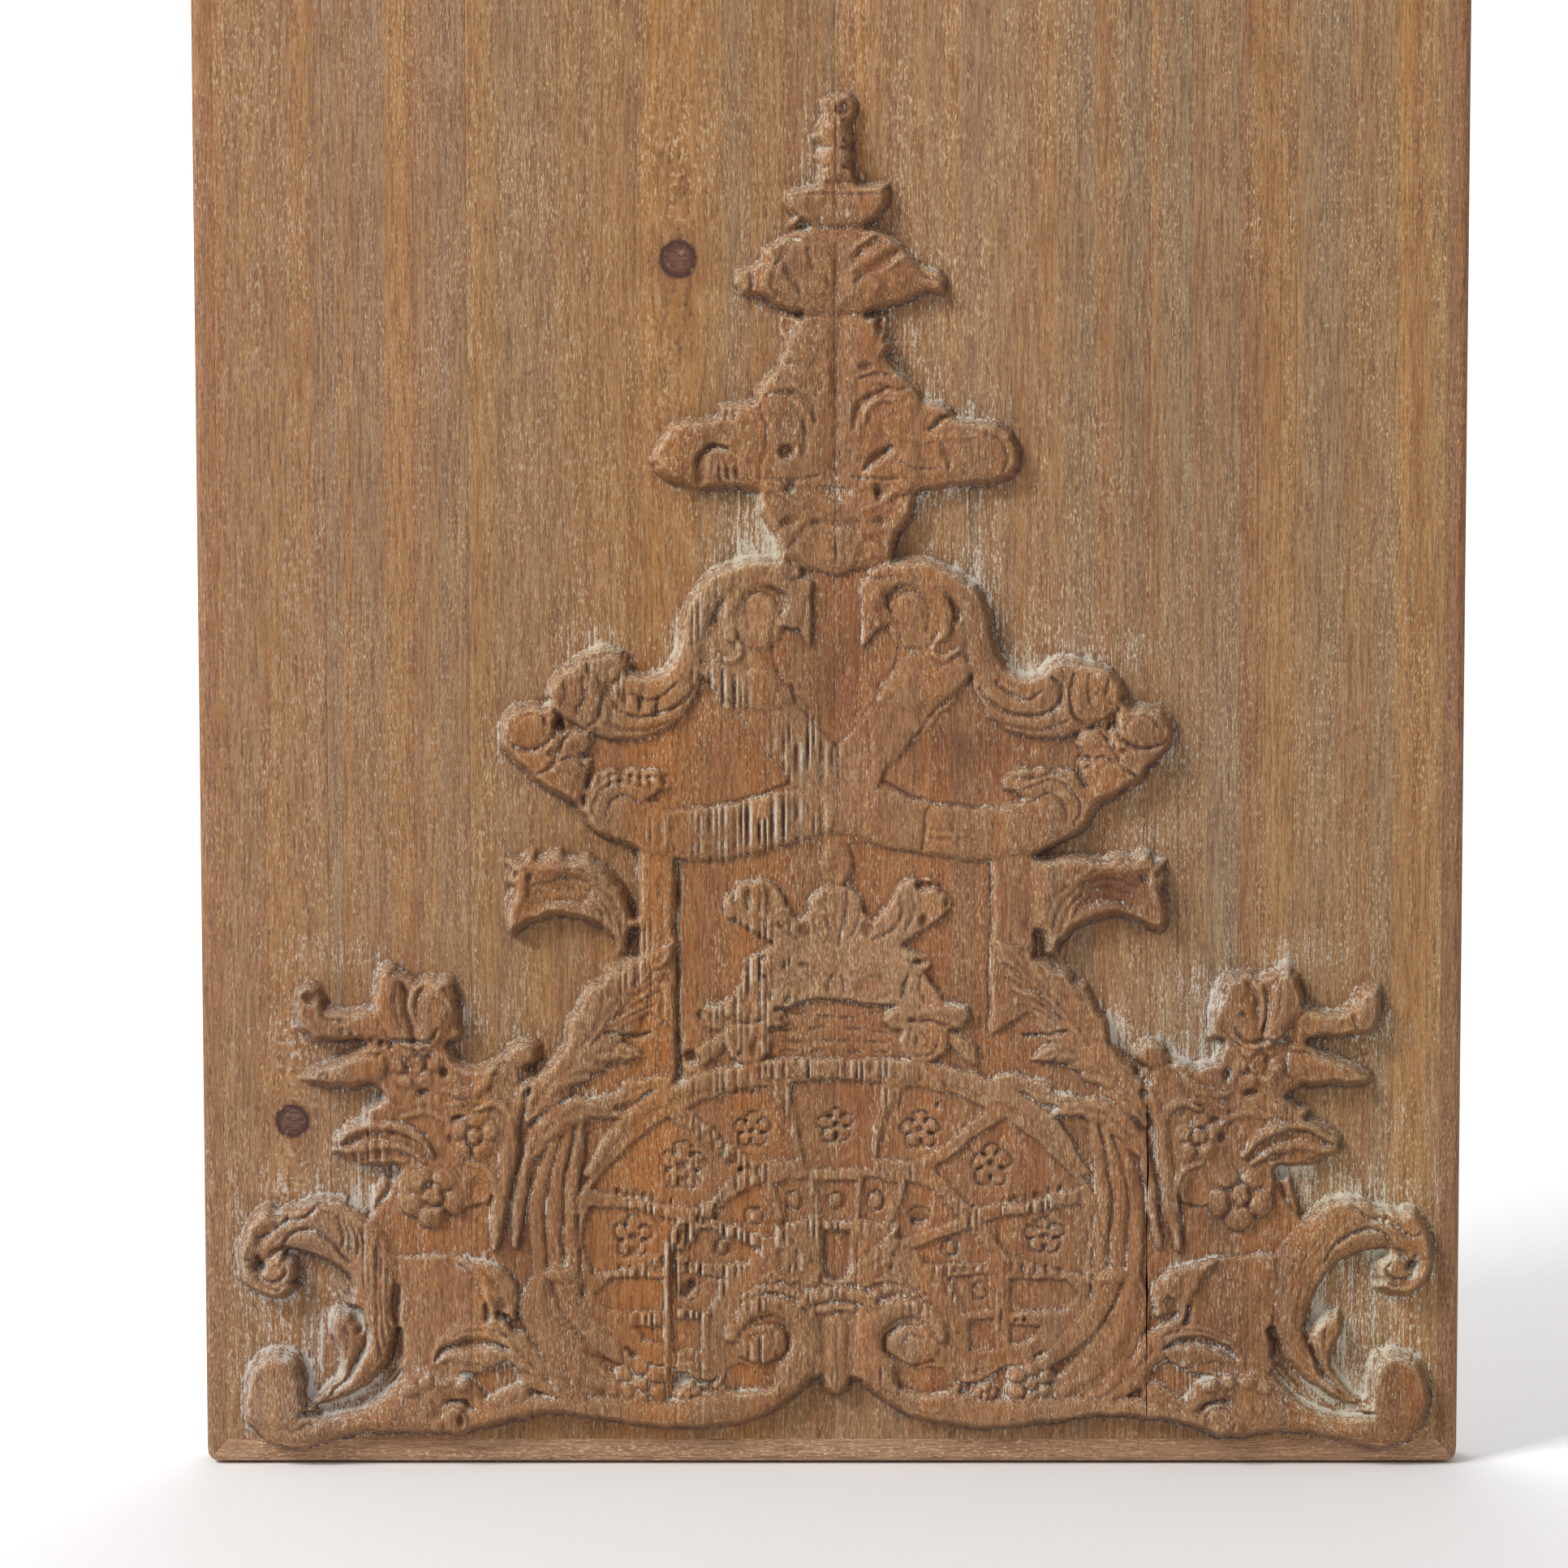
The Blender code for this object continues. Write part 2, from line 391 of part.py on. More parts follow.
def lay_stems(r, side):
    # leafy stem that climbs from the fan to the horn, one leaf over the other
    r.plate([(52, 170), (60, 168.4), (67, 165), (71.6, 162), (75, 157), (77.4, 151), (82, 146), (87, 140), (91, 135),
             (96, 128.6), (100, 124), (105, 112), (106, 96), (96, 94), (88, 106), (80, 110), (69, 112), (64, 119),
             (60, 127), (57, 133), (58, 142), (54, 152), (51.6, 162)], LOW + 0.5, curved=False)
    r.leaf([(86, 130), (79, 141), (70, 152), (61, 161), (50.6, 171.6)], 10.6, LOW + 0.4, HIGH + 0.7, lobes=5, cut=0.08,
           vein=0.7, slant=2.4)
    for k in range(4):
        r.groove([(53.6 + 1.5 * k, 164 - 4.6 * k), (61 + 2.6 * k, 157.6 - 4 * k), (70.6 + 3 * k, 148 - 3.6 * k)],
                 [0.5, 1, 0.5], 0.9)
    r.leaf([(99, 113), (92, 124), (82, 132.6), (72, 135.6), (62, 133)], 7.2, LOW, HIGH + 0.8, lobes=5, cut=0.14, vein=0.8,
           slant=2.0)
    r.leaf([(100, 100), (94, 109), (86, 115.4), (77, 117), (67, 114)], 5.4, LOW, HIGH + 0.5, lobes=4, cut=0.16, vein=0.7)
    r.stroke([(100, 122), (104, 112), (106, 98), (108, 84), (110, 72)], [2.6, 3, 3, 2.6, 1.6], LOW, HIGH + 0.2)
    r.stroke([(96, 110), (100, 98), (102, 84), (104, 72)], [1.6, 2.2, 2.2, 1.2], LOW, HIGH - 0.2)
    r.leaf([(52, 126), (62, 124), (72, 119.5), (84, 119)], 4, LOW, HIGH, lobes=3)
    r.dome((100.6, 134.4), (6, 5.6), LOW, HIGH + 0.6, power=2.6)
    r.groove([(93.6, 137), (97, 132), (99, 126)], [0.8, 1.1, 0.7], 1.6)
    r.pit((98.6, 121.4), (1.7, 2.4), 2.4, lean=30)
    r.groove([(60, 141), (66, 140.6), (74, 141.6)], [0.8, 1.1, 0.7], 1.6)
    # horn with a ragged, hollow mouth
    back = [(62.4, 198.6), (62.2, 188), (62.4, 178)] if side > 0 else [(79, 198.4), (72, 193), (66.4, 185), (63.6, 177)]
    r.plate([(66, 169), (70.4, 165.4), (71.8, 170), (76, 174.6), (83, 177), (91, 177.4), (98, 176), (102, 173.6),
             (104, 172), (106.2, 174.4), (106.8, 180), (105.2, 186), (105.6, 192), (105, 196.4), (98, 199.6),
             (88, 198.6)] + back, 4.4, curved=False, crown=1.7, reach=6)
    r.stroke([(68, 168), (70.6, 175), (76, 180), (84, 182), (93, 181.4), (101, 177)], [2.6, 3.4, 3.8, 3.2, 2.6, 1.6], 3.6,
             HIGH + 0.6)
    for k in range(4):
        r.groove([(67 + 2.6 * k, 176 - 1.2 * k), (69.4 + 2.8 * k, 183 - 0.6 * k), (74 + 3.2 * k, 188.6 - 1.1 * k)], [0.7],
                 0.5)
    r.plate([(79, 189.6), (88, 191.4), (98, 190.4), (100, 186), (98, 182.4), (90, 181.8), (82, 182.6), (77.6, 185.6)],
            3.4, sunk=True)
    r.stroke([(79, 184.8), (88, 185.6), (97, 184.4)], [0.5, 0.8, 0.5], 3.4, 4.4)
    r.plate([(75, 190), (78, 196.4), (81.6, 195.4), (84, 199.4), (88, 197), (91, 200.4), (95, 197.4), (98, 200.6),
             (101, 197.6), (105.8, 197), (103.8, 192), (98, 189.8), (88, 190.8), (80, 189)], HIGH - 0.2, curved=False,
            crown=1.2, reach=2.6)
    r.plate([(99.4, 191), (103.4, 191), (105.2, 186), (106.8, 180), (106.2, 174.4), (103.8, 172), (101, 175), (102, 181),
             (100, 186)], HIGH, curved=False, crown=1.2, reach=2.2)
    for k in range(3):
        r.pit((83.6 + 6.4 * k, 193.6 + 0.5 * k), (1.2, 1.7), 1.3)


def lay_pillars(r, side):
    r.plate([(49.5, 140), (63.5, 150), (63.5, 199), (49.5, 199)], BAND, curved=False)
    if side < 0:
        r.groove([(50.8, 120), (50.8, 197)], [1.2], 4.0, curved=False)
    r.groove([(49, 140), (49, 197)], [0.8], 0.8, curved=False)


def lay_crown(r, side):
    # flat-topped flowers, leaves and hanging curls in the middle
    lobe = BAND + 0.2
    r.dome((0, 196), (5.4, 7.6), LOW, lobe, power=5)
    r.pit((0, 196), (3, 4.4), 0.8)
    r.plate([(0, 164.6), (5, 169), (8.6, 176), (12.6, 174.6), (13.2, 179.6), (9, 182), (4.4, 183.8), (1.6, 189.4),
             (-1.6, 189.4), (-4, 183), (-4, 164.6)], lobe, curved=False, crown=0.7, reach=2.4)
    r.groove([(8.6, 181.6), (7.6, 175), (4, 168.6)], [0.9, 0.9, 0.6], 0.9)
    r.plate([(19, 169.6), (16.6, 175.6), (18, 183), (21.4, 189), (26, 191.6), (32.4, 190), (36.6, 184.4), (36.2, 178),
             (30, 173.4), (24, 170)], lobe, crown=0.9, reach=3)
    r.pit((27.6, 187.6), (3.6, 2.4), 1.5, lean=-20)
    r.pit((33, 181.6), (1.4, 2.2), 1.2)
    r.groove([(22.6, 187), (22.4, 180), (21.4, 174)], [0.8], 0.6)
    r.stroke([(0, 163.6), (8, 167.6), (16, 168.6), (24, 166.4), (30, 160), (34.6, 153), (40, 149)],
             [3.4, 4.2, 4.6, 4.8, 4.6, 4.2, 3.2], LOW, lobe + 0.7, power=5)
    r.plate([(3.6, 168), (9.4, 164), (8.6, 156), (6.4, 152), (4, 151.6), (-4, 152.4), (-4, 168)], lobe, curved=False,
            crown=0.7, reach=2)
    r.plate([(20, 163), (24.4, 156), (22.8, 151), (18.6, 149), (16.4, 145.4), (21.8, 143.4), (26.4, 145), (31, 150),
             (30, 158), (26, 164)], lobe, crown=0.7, reach=2)
    r.pit((13, 157.8), (4.6, 4.6), 1.0)
    r.pit((10.4, 160.4), (2.2, 1.8), 0.8)
    r.dome((37.4, 146.4), (5.6, 4.6), LOW, lobe + 1.2, power=3)
    r.groove([(32, 149.6), (32.6, 145), (35.6, 142)], [0.9], 1.0)
    r.dome((28, 138.4), (7.4, 6.8), LOW, lobe + 0.9, power=3.4)
    r.groove(spiral((27.6, 138.8), 4.2, 4.2, 100, 300, 12), [0.9], 0.8)
    r.pit((24, 144.6), (1.8, 1.6), 1.4)
    r.plate([(43, 143), (48, 138), (49.6, 131), (46, 128.6), (41, 133), (38.6, 139)], lobe - 0.2, crown=0.6, reach=2)
    r.plate([(-4, 150), (9, 149.6), (14, 146), (13, 139), (8, 137.4), (-4, 137.6)], LOW + 0.6, curved=False)
    r.groove([(-3, 143.4), (5, 144), (11, 142)], [0.9], 0.6)
    r.stroke([(0, 134.6), (10, 134.4), (18, 132.6)], [2.4, 2.4, 1.4], LOW, BAND + 0.3, power=5)
    if side < 0:
        r.pit((46.6, 130.4), (3.2, 3.0), 3.2)
        for k in range(4):
            r.pit((14 + 7.4 * k, 164 - 5.4 * k), (0.9, 3), 1.2)
            r.pit((20 + 6.6 * k, 146 - 3 * k), (0.9, 2.6), 1.2)


def lay_bouquet(r):
    # cluster of petals, leaves and flowers that stands out on either side, on one base
    r.plate([(99, 138), (103, 138.4), (108, 133.4), (115, 131), (121, 132.4), (124, 137), (122, 143), (131, 157),
             (140, 158), (148, 152), (151, 148.4), (162, 149), (172, 150), (173, 142), (166, 139.6), (150, 138),
             (160, 134), (171, 127), (168, 123.4), (155, 123), (149, 124), (148, 119), (153, 117), (152, 112.6),
             (163, 107), (162, 102), (153, 98), (142, 98), (143.6, 90), (141, 84), (131, 80), (112, 76), (100, 80)],
            LOW, curved=False)
    r.plate([(101, 132), (107, 130.6), (116, 129), (123, 131.4), (125.6, 138), (124.6, 146), (130, 153), (139, 154),
             (147, 148), (151, 145), (160, 146.4), (170, 150), (171.6, 144), (164, 140.6), (151, 138.6), (160, 133),
             (169, 127.4), (163, 124.6), (150, 125), (145, 121), (149, 116), (150, 112), (160, 107), (160, 103.4),
             (150, 99.4), (140, 100), (141, 90), (136, 82), (124, 84), (112, 86), (106, 100), (102, 116)], BAND + 0.2,
            curved=False)
    r.dome((128.6, 150), (7.8, 10.8), 3, CREST - 0.3, power=2.4, lean=-6)
    r.stroke([(133.6, 158.4), (137.6, 153), (137, 146), (133, 140.6)], [1, 1.8, 1.9, 1.2], 3, HIGH + 0.7)
    r.dome((143.8, 151), (5.8, 11.8), 3, CREST, power=2.6, lean=-14)
    r.groove([(139.6, 144), (140.4, 151), (144, 158.4)], [0.8, 1.2, 0.7], 0.9)
    r.groove([(147, 154), (146.6, 148), (143, 142)], [0.7], 0.5)
    r.stroke([(149, 142.4), (157, 144.4), (165, 145.4), (172, 147.4)], [3, 4.2, 5.4, 7.6], 3, HIGH + 0.5, power=3)
    r.stroke([(167, 155.4), (172, 155.6), (175, 150.6), (174.4, 144), (169.6, 139.8)], [1.8, 2.2, 2.4, 2.4, 1.8], 3,
             CREST - 0.2)
    r.stroke([(150, 141.6), (157, 143.6), (164, 146.4)], [0.6, 0.9, 0.6], 6, CREST - 0.6)
    r.pit((170.2, 148), (2.4, 4.8), 1.8)
    r.plate([(146, 136.8), (152, 136), (160, 133.8), (168, 130.4), (172.4, 126.6), (169.6, 124), (160, 123), (150, 125),
             (145, 129)], HIGH - 0.4, crown=1.4, reach=4)
    r.groove([(146, 135), (153, 134.4), (160, 131.6), (166, 127.6)], [0.8, 1.1, 1.1, 0.7], 1.1)
    r.blossom((135.4, 131), 10, 6, 3, HIGH + 1.2, eye=0.3, turn=60, notch=0.14)
    r.pit((125.6, 128), (1.8, 2.8), 1.8)
    r.pit((133, 121.6), (2.8, 1.6), 1.8)
    r.groove([(128, 143), (131, 138.6), (137, 139.4), (144, 138.4)], [0.8, 1.1, 1.1, 0.8], 1.6)
    r.pit((149, 121), (4.8, 2.5), 3.4, lean=-8)
    r.plate([(140, 119), (146, 120), (150.8, 117), (151.8, 113.6), (146, 111.8), (140.4, 114.6)], BAND + 0.4, crown=0.9,
            reach=2.4)
    r.stroke([(130, 101.6), (134, 107), (140, 110.4), (147.6, 111), (155, 109.8), (161, 106.4)],
             [1.2, 2.2, 2.7, 2.9, 2.9, 2.2], 3, HIGH + 1)
    r.stroke([(133, 99.6), (140, 103.6), (148, 104.6), (156, 103.8), (162.4, 103)], [1.2, 2.2, 2.5, 2.3, 1.3], 3, HIGH + 0.6)
    r.stroke([(139, 99.4), (147, 98.8), (153.6, 98.6)], [1.2, 1.7, 1.1], 3, HIGH)
    r.stroke([(124, 112), (131, 115.6), (139, 114.6)], [1.6, 2.4, 1.4], LOW, HIGH - 0.2)
    r.stroke([(110, 130), (113.4, 124.4), (119.4, 122), (126, 122)], [2, 2.8, 2.8, 1.6], LOW, HIGH + 0.1)
    r.stroke([(106, 103), (103.8, 109.4), (105.4, 115.6), (110, 118.4), (116, 116.6)], [1.3, 2, 2.3, 2, 1.2], LOW,
             HIGH + 0.3)
    r.blossom((116.4, 107.6), 8.6, 5, LOW, HIGH + 0.9, turn=18, notch=0.16)
    r.pit((121.6, 113), (2.4, 1.2), 1.6, lean=-20)
    r.pit((123.6, 107), (1.5, 2.2), 1.2)
    r.blossom((130, 88.6), 11.4, 5, LOW, HIGH + 1.1, turn=-18, notch=0.16)
    r.stroke([(110, 83), (109.4, 91), (112, 97.4), (118, 99.4)], [1, 1.6, 1.8, 1.2], LOW, HIGH)
    r.pit((115.4, 90), (3.4, 6.2), 1.3)
    r.pit((143.4, 95.6), (3, 2.6), 3)
    r.groove([(142.6, 94), (144.6, 89), (148, 84)], [1.4, 1.6, 1], 1.6)
    r.stroke([(112, 118.6), (118, 119.6), (126, 117)], [1.6, 2, 1.2], LOW, BAND + 0.8)


def lay_great_scroll(r, side):
    # outer band of the great scroll, with its arch of leaf inside and the crossing straps
    r.stroke([(13, 289), (24, 290), (34, 287), (42, 280.6), (46.6, 271), (49.8, 260), (55.2, 253.6), (60.9, 252.2),
              (64.8, 255.6), (68.7, 260), (74.4, 263), (80.2, 261.6), (85, 257.6)],
             [2.6, 4, 5, 5.2, 5, 4.8, 4.2, 3.8, 3.4, 3, 2.8, 2.6, 2], FIELD - 0.8, CREST - 0.6, power=3.4)
    r.stroke([(45.5, 255), (46.6, 249), (50.4, 241.4), (57, 236.6), (66.6, 235), (76, 237.4), (84, 242), (90.8, 246.4)],
             [1.4, 2, 2.8, 3, 3, 2.8, 2.4, 1.6], FIELD, CREST - 1, power=3)
    r.plate([(7.6, 287), (7.6, 268), (8.2, 264.4), (9.8, 266.4), (13, 270.4), (19, 272.4), (16, 278), (15, 288)],
            BAND + 0.5, curved=False, crown=0.8, reach=2)
    r.dome((25.6, 275.4), (9, 11), FIELD, BAND + 0.8, power=4, lean=-12)
    r.stroke([(13.4, 272), (11.6, 279), (15.4, 285), (23, 287.4), (30.6, 283.4), (34.6, 276), (34, 269.4), (30.4, 265.2)],
             [1.8, 2.4, 2.8, 2.9, 2.8, 2.6, 2.2, 1.4], FIELD, HIGH + 0.5, power=3)
    r.groove([(17.6, 276), (20, 281.4), (25.4, 282.8), (29, 278), (28, 271)], [0.9], 0.8)
    r.groove([(20, 273), (21, 266), (18, 257), (14, 249)], [0.8], 0.8)
    r.stroke([(30.2, 263.4), (34.6, 261), (39.4, 263.4)], [1.2, 1.8, 1], FIELD, HIGH + 0.2)
    r.pit((34.4, 265.6), (3.8, 2.2), 1.5)
    r.stroke([(38, 266), (29.5, 254.5), (18, 241), (7.5, 227.5), (-4, 214)], [7, 10.3, 10, 9.3, 9], FIELD,
             FIELD + 1.1, power=9)
    r.plate([(28.8, 257.8), (39.4, 260.6), (43.4, 255.8), (34.6, 248), (23, 244.2), (13.4, 248), (17.3, 253.8),
             (23, 258.7)], BAND + 0.5, crown=0.9, reach=3)
    r.stroke([(-4, 213.5), (8, 212.6), (20, 209.6), (34, 206.4), (48, 205.6), (62, 207.6), (74, 212), (80, 217)],
             [8, 8.4, 9, 9.2, 9.2, 9.2, 7.6, 3], FIELD - 0.8, HIGH - 0.5, power=7)
    # swelling leaf with a ragged top that grows out of the lower band
    r.plate([(55, 213), (59.6, 216.4), (56.6, 219.4), (53.4, 220.4), (53.8, 224.4), (56.4, 226.2), (58.8, 224.4),
             (61.4, 225.8), (64, 224.6), (67.4, 226.6), (70.4, 225), (74, 226.2), (77, 224.6), (82.6, 228.4),
             (86, 232), (94, 228), (92, 221), (84, 215), (77, 206), (66, 201), (55, 200)], HIGH - 0.5, curved=False,
            crown=1.0, reach=4)
    r.groove([(60, 216.6), (58, 219), (54.6, 220.6)], [1.2], 1.0)
    for k in range(4):
        r.groove([(60 + 5.4 * k, 225 - 0.2 * k), (61 + 5.6 * k, 219.6 - 0.6 * k)], [0.8, 0.4], 0.8)
    r.groove([(44, 256), (33, 246), (20, 229), (14.5, 221.5)], [0.8], 0.9)
    r.groove([(15, 221.5), (26, 217), (40, 214.5), (55, 213.6)], [0.8], 0.9)
    r.groove([(-3, 236), (0, 233), (12, 247), (14, 253)], [0.7], 0.7)
    if side > 0:
        r.groove([(29.6, 214), (28, 200)], [0.8], 0.9, curved=False)
        for z in (203.6, 206.6):
            r.groove([(31, z + 0.6), (45, z - 0.6)], [0.8], 0.5, curved=False)
    # worn rosettes at the shoulder: a ribbed bud in the bend of the band and a broad one outside it
    r.dome((80, 250.6), (12, 8.2), 4, CREST - 0.6, power=2.6, lean=-8)
    for k in range(4):
        r.groove([(69.6 + 5.4 * k, 256.6 - 0.6 * k), (71.6 + 5.4 * k, 250), (76 + 4.6 * k, 244.4)], [0.8], 0.9)
    r.dome((98.4, 239.4), (10.4, 11), 3.4, CREST - 0.5, power=2.8)
    r.dome((95, 245.4), (7.6, 5), 3.4, CREST - 0.7)
    r.dome((90.6, 227.4), (8, 8.4), 3.4, HIGH + 0.7, power=2.6, lean=30)
    r.stroke([(92.6, 240), (96, 244.4), (101.6, 242.6), (102, 236.6), (97.4, 233.4)], [0.9], 6, CREST + 0.1)
    r.groove([(88.4, 236), (93, 233), (99, 229.4), (104, 232)], [0.9, 1.1, 1.1, 0.8], 1.0)
    r.dome((84.6, 236.6), (5.4, 3.8), 3.8, HIGH + 0.6, lean=-25)
    r.pit((89.6, 242), (2, 3.4), 3.2)
    r.pit((83, 232), (5.4, 1.7), 2.6, lean=30)
    r.pit((79, 229.4), (1.8, 1.6), 2.0)


def lay_tower(r):
    # bell, leaf mask with its side scrolls, neck, canopy, cup and finial
    r.plate([(-4, 288), (19, 293), (22, 300), (25, 306), (28, 313), (-4, 316)], FIELD + 0.4, curved=False, crown=1.2)
    for k in range(3):
        lean = math.radians(24 + 26 * k)
        r.stroke([(2, 289), (math.sin(lean) * 16, 289 + math.cos(lean) * 16)], [1.6, 3.6], 5.2, HIGH + 0.4)
    r.dome((1, 297), (6, 7.4), 5, HIGH + 0.8)
    r.pit((14, 303.4), (3, 2.2), 1.6, lean=-30)
    r.stroke([(2, 306), (9, 307.6), (18, 305)], [1.4, 2, 1.4], 5, HIGH + 0.4)
    r.plate([(-4, 312), (27, 312.6), (44, 314.6), (52, 316), (58, 320), (59.6, 325.6), (57, 332), (51, 336), (40, 337.4),
             (38, 341), (29, 342), (27, 348), (20, 352), (16, 359), (16.6, 364), (18.6, 370), (-4, 370)], 3.8,
            curved=False)
    r.stroke([(20, 329), (33, 331.6), (45, 331), (53.6, 327), (53.4, 321), (47, 319.4)], [6.6, 6.2, 5.8, 5.6, 4.6, 2.4],
             3.4, CREST - 0.6, power=2.6)
    r.stroke([(26, 318), (36, 318.6), (43, 321.4), (42, 326)], [3.6, 3.8, 3, 1.4], 3.6, HIGH - 0.2)
    r.pit((46, 321.4), (3.2, 2), 1.6, lean=20)
    r.leaf([(20, 336), (28, 340.4), (38, 340)], 4.4, 3.8, HIGH + 0.6, vein=0.3)
    r.groove([(30, 334.6), (34, 336.6), (38.4, 338.6)], [1.0], 1.6)
    r.stroke([(4, 332), (8, 340), (15, 345), (26, 343)], [2.6, 3, 3.2, 2], 4.4, CREST - 0.9)
    r.dome((15, 332), (8.6, 6.4), 4.4, HIGH + 0.6, lean=20)
    r.pit((13.6, 325.4), (5, 2.4), 2.6, lean=32)
    r.dome((8, 318), (7.4, 4.8), 4.4, HIGH + 0.4)
    r.leaf([(8, 313), (17, 317), (25, 323)], 5, 4.4, HIGH + 0.2, lobes=3, cut=0.2)
    r.stroke([(0, 311), (0, 340)], [3.8, 4.6], 4.6, CREST - 0.8)
    r.plate([(-4, 344), (24, 346), (19, 353), (15, 360), (16, 370), (-4, 370)], FIELD + 0.3, curved=False)
    r.leaf([(4, 348), (14, 349), (26, 348)], 4.2, 4.2, HIGH + 0.4, lobes=3, cut=0.2)
    r.leaf([(3, 357), (10, 357.6), (17, 356)], 4, 4.2, HIGH, lobes=2, cut=0.2)
    r.stroke([(0, 340), (0, 368)], [6, 7], 4.6, HIGH + 0.2, power=4)
    r.pit((15, 366), (2.4, 3), 3.6)
    r.plate([(-4, 369.6), (12, 370.2), (20, 372.4), (26, 375.6), (33, 376.6), (34.6, 379), (33, 381.4), (27, 384),
             (23, 388.6), (19, 391), (14, 393), (11, 398), (-4, 398)], 4.4, curved=False, crown=2.4, reach=8)
    for k in range(3):
        r.stroke([(4 + 5 * k, 394 - 1.6 * k), (3 + 8 * k, 386 - 1.6 * k), (5 + 10 * k, 378 + 0.6 * k)], [1.8, 3, 2.2], 6,
                 CREST - 0.2)
    r.stroke([(0, 373), (12, 373.6), (22, 376.4), (31, 379)], [2.8, 2.8, 2.6, 2], 4.6, CREST - 0.6)
    r.plate([(-4, 396), (9, 397), (12.6, 399), (15.6, 403.4), (17.4, 408.6), (9, 410), (-4, 411)], 4.4, curved=False,
            crown=2.0, reach=5)
    r.stroke([(0, 407), (9, 407), (16, 407.6)], [2.6, 2.4, 1.6], 5, HIGH + 0.6)
    r.stroke([(0, 408), (0, 418), (0, 431)], [7.6, 6.6, 5.4], 3.4, HIGH + 0.6)
    r.dome((0, 431), (6.2, 6.6), 3.4, HIGH + 1.0)
    for z in (414, 420.6, 427):
        r.groove([(-3, z), (7, z - 1.6)], [1.0], 0.7)
    r.pit((3, 432.4), (3, 2.8), 2.0)


def carve(step, side, slope=2.4, passes=1):
    """The whole half relief; side is 1 for the right half and -1 for the left."""
    r = Relief(GRID_REACH, GRID_FOOT, GRID_TOP, step)
    lay_fields(r)
    lay_pillars(r, side)
    lay_great_scroll(r, side)
    lay_tower(r)
    lay_fan(r)
    lay_crown(r, side)
    lay_stems(r, side)
    lay_leaf_bands(r)
    lay_bouquet(r)
    lay_base(r)
    lay_corner(r, side)
    r.h = np.maximum(r.h, 0)
    r.ease(slope, passes)
    return r


def carved_height(x, z, halves):
    """Relief above the ground at a place on the face, in metres."""
    u = abs(x - AXIS_SHIFT) / CARVING_SCALE
    v = (z + PANEL_HEIGHT / 2) / CARVING_SCALE
    half = halves[0] if x >= AXIS_SHIFT else halves[1]
    return half.read(u, v) * DEPTH_SCALE


def edge_drop(x, z):
    """How far the rounded outer edge lies below the ground there."""
    inner_x = abs(x) - (PANEL_WIDTH / 2 - CORNER_RADIUS)
    inner_z = abs(z) - (PANEL_HEIGHT / 2 - CORNER_RADIUS)
    outside = math.hypot(max(inner_x, 0), max(inner_z, 0)) + min(max(inner_x, inner_z), 0) - CORNER_RADIUS
    short = min(max(EDGE_RADIUS + outside, 0), EDGE_RADIUS)
    return EDGE_RADIUS - math.sqrt(EDGE_RADIUS ** 2 - short ** 2)


def grid_lines(half_length, carved_low, carved_high):
    """Places of the grid's lines: even over the carving, closer along the rounded edges."""
    arc = [half_length - EDGE_RADIUS * (1 - math.cos(0.5 * math.pi * k / ARC_STEPS)) for k in range(ARC_STEPS + 1)]
    arc[0] += JOINT_GAP
    outer = [half_length + EDGE_RADIUS] + arc
    even = np.arange(max(carved_low, -arc[-1] + GRID_STEP), min(carved_high, arc[-1] - GRID_STEP), GRID_STEP)
    return np.array([-place for place in outer] + list(even) + outer[::-1])


def make_slab():
    """One carved slab, a little larger than the panel, that the pieces are cut from."""
    halves = [carve(GRID_STEP / CARVING_SCALE, side) for side in (1, -1)]
    columns = grid_lines(PANEL_WIDTH / 2, -PANEL_WIDTH, PANEL_WIDTH)
    rows = grid_lines(PANEL_HEIGHT / 2, -PANEL_HEIGHT / 2, GRID_TOP * CARVING_SCALE - PANEL_HEIGHT / 2)
    mesh_data = bmesh.new()
    bmesh.ops.create_grid(mesh_data, x_segments=len(columns) - 1, y_segments=len(rows) - 1, size=1.0)
    for vertex in mesh_data.verts:
        x = columns[round((vertex.co.x + 1) / 2 * (len(columns) - 1))]
        z = rows[round((vertex.co.y + 1) / 2 * (len(rows) - 1))]
        front = BOARD_THICKNESS + carved_height(x, z, halves) - edge_drop(x, z)
        vertex.co = (x, -front, z)
    rim = [edge for edge in mesh_data.edges if edge.is_boundary]
    walls = bmesh.ops.extrude_edge_only(mesh_data, edges=rim)["geom"]
    for vertex in walls:
        if isinstance(vertex, bmesh.types.BMVert):
            vertex.co.y = BOARD_THICKNESS / 4
    back_rim = [edge for edge in mesh_data.edges if edge.is_boundary]
    bmesh.ops.contextual_create(mesh_data, geom=back_rim)
    bmesh.ops.triangulate(mesh_data, faces=mesh_data.faces)
    bmesh.ops.recalc_face_normals(mesh_data, faces=mesh_data.faces)
    slab_mesh = bpy.data.meshes.new("slab")
    mesh_data.to_mesh(slab_mesh)
    mesh_data.free()
    slab = bpy.data.objects.new("slab", slab_mesh)
    bpy.context.scene.collection.objects.link(slab)
    thin_out = slab.modifiers.new("thin_out", "DECIMATE")
    thin_out.ratio = RELIEF_TRIANGLES / len(slab_mesh.polygons)
    evaluated = slab.evaluated_get(bpy.context.evaluated_depsgraph_get())
    carved_mesh = bpy.data.meshes.new_from_object(evaluated)
    bpy.data.objects.remove(slab, do_unlink=True)
    return carved_mesh


def wood(name, colour):
    """Limed fir: each piece has its own tone."""
    material = bpy.data.materials.new(name)
    material.use_nodes = True
    shader = material.node_tree.nodes["Principled BSDF"]
    shader.inputs["Base Color"].default_value = (*colour, 1.0)
    shader.inputs["Roughness"].default_value = WOOD_ROUGHNESS
    shader.inputs["Metallic"].default_value = 0.0
    return material


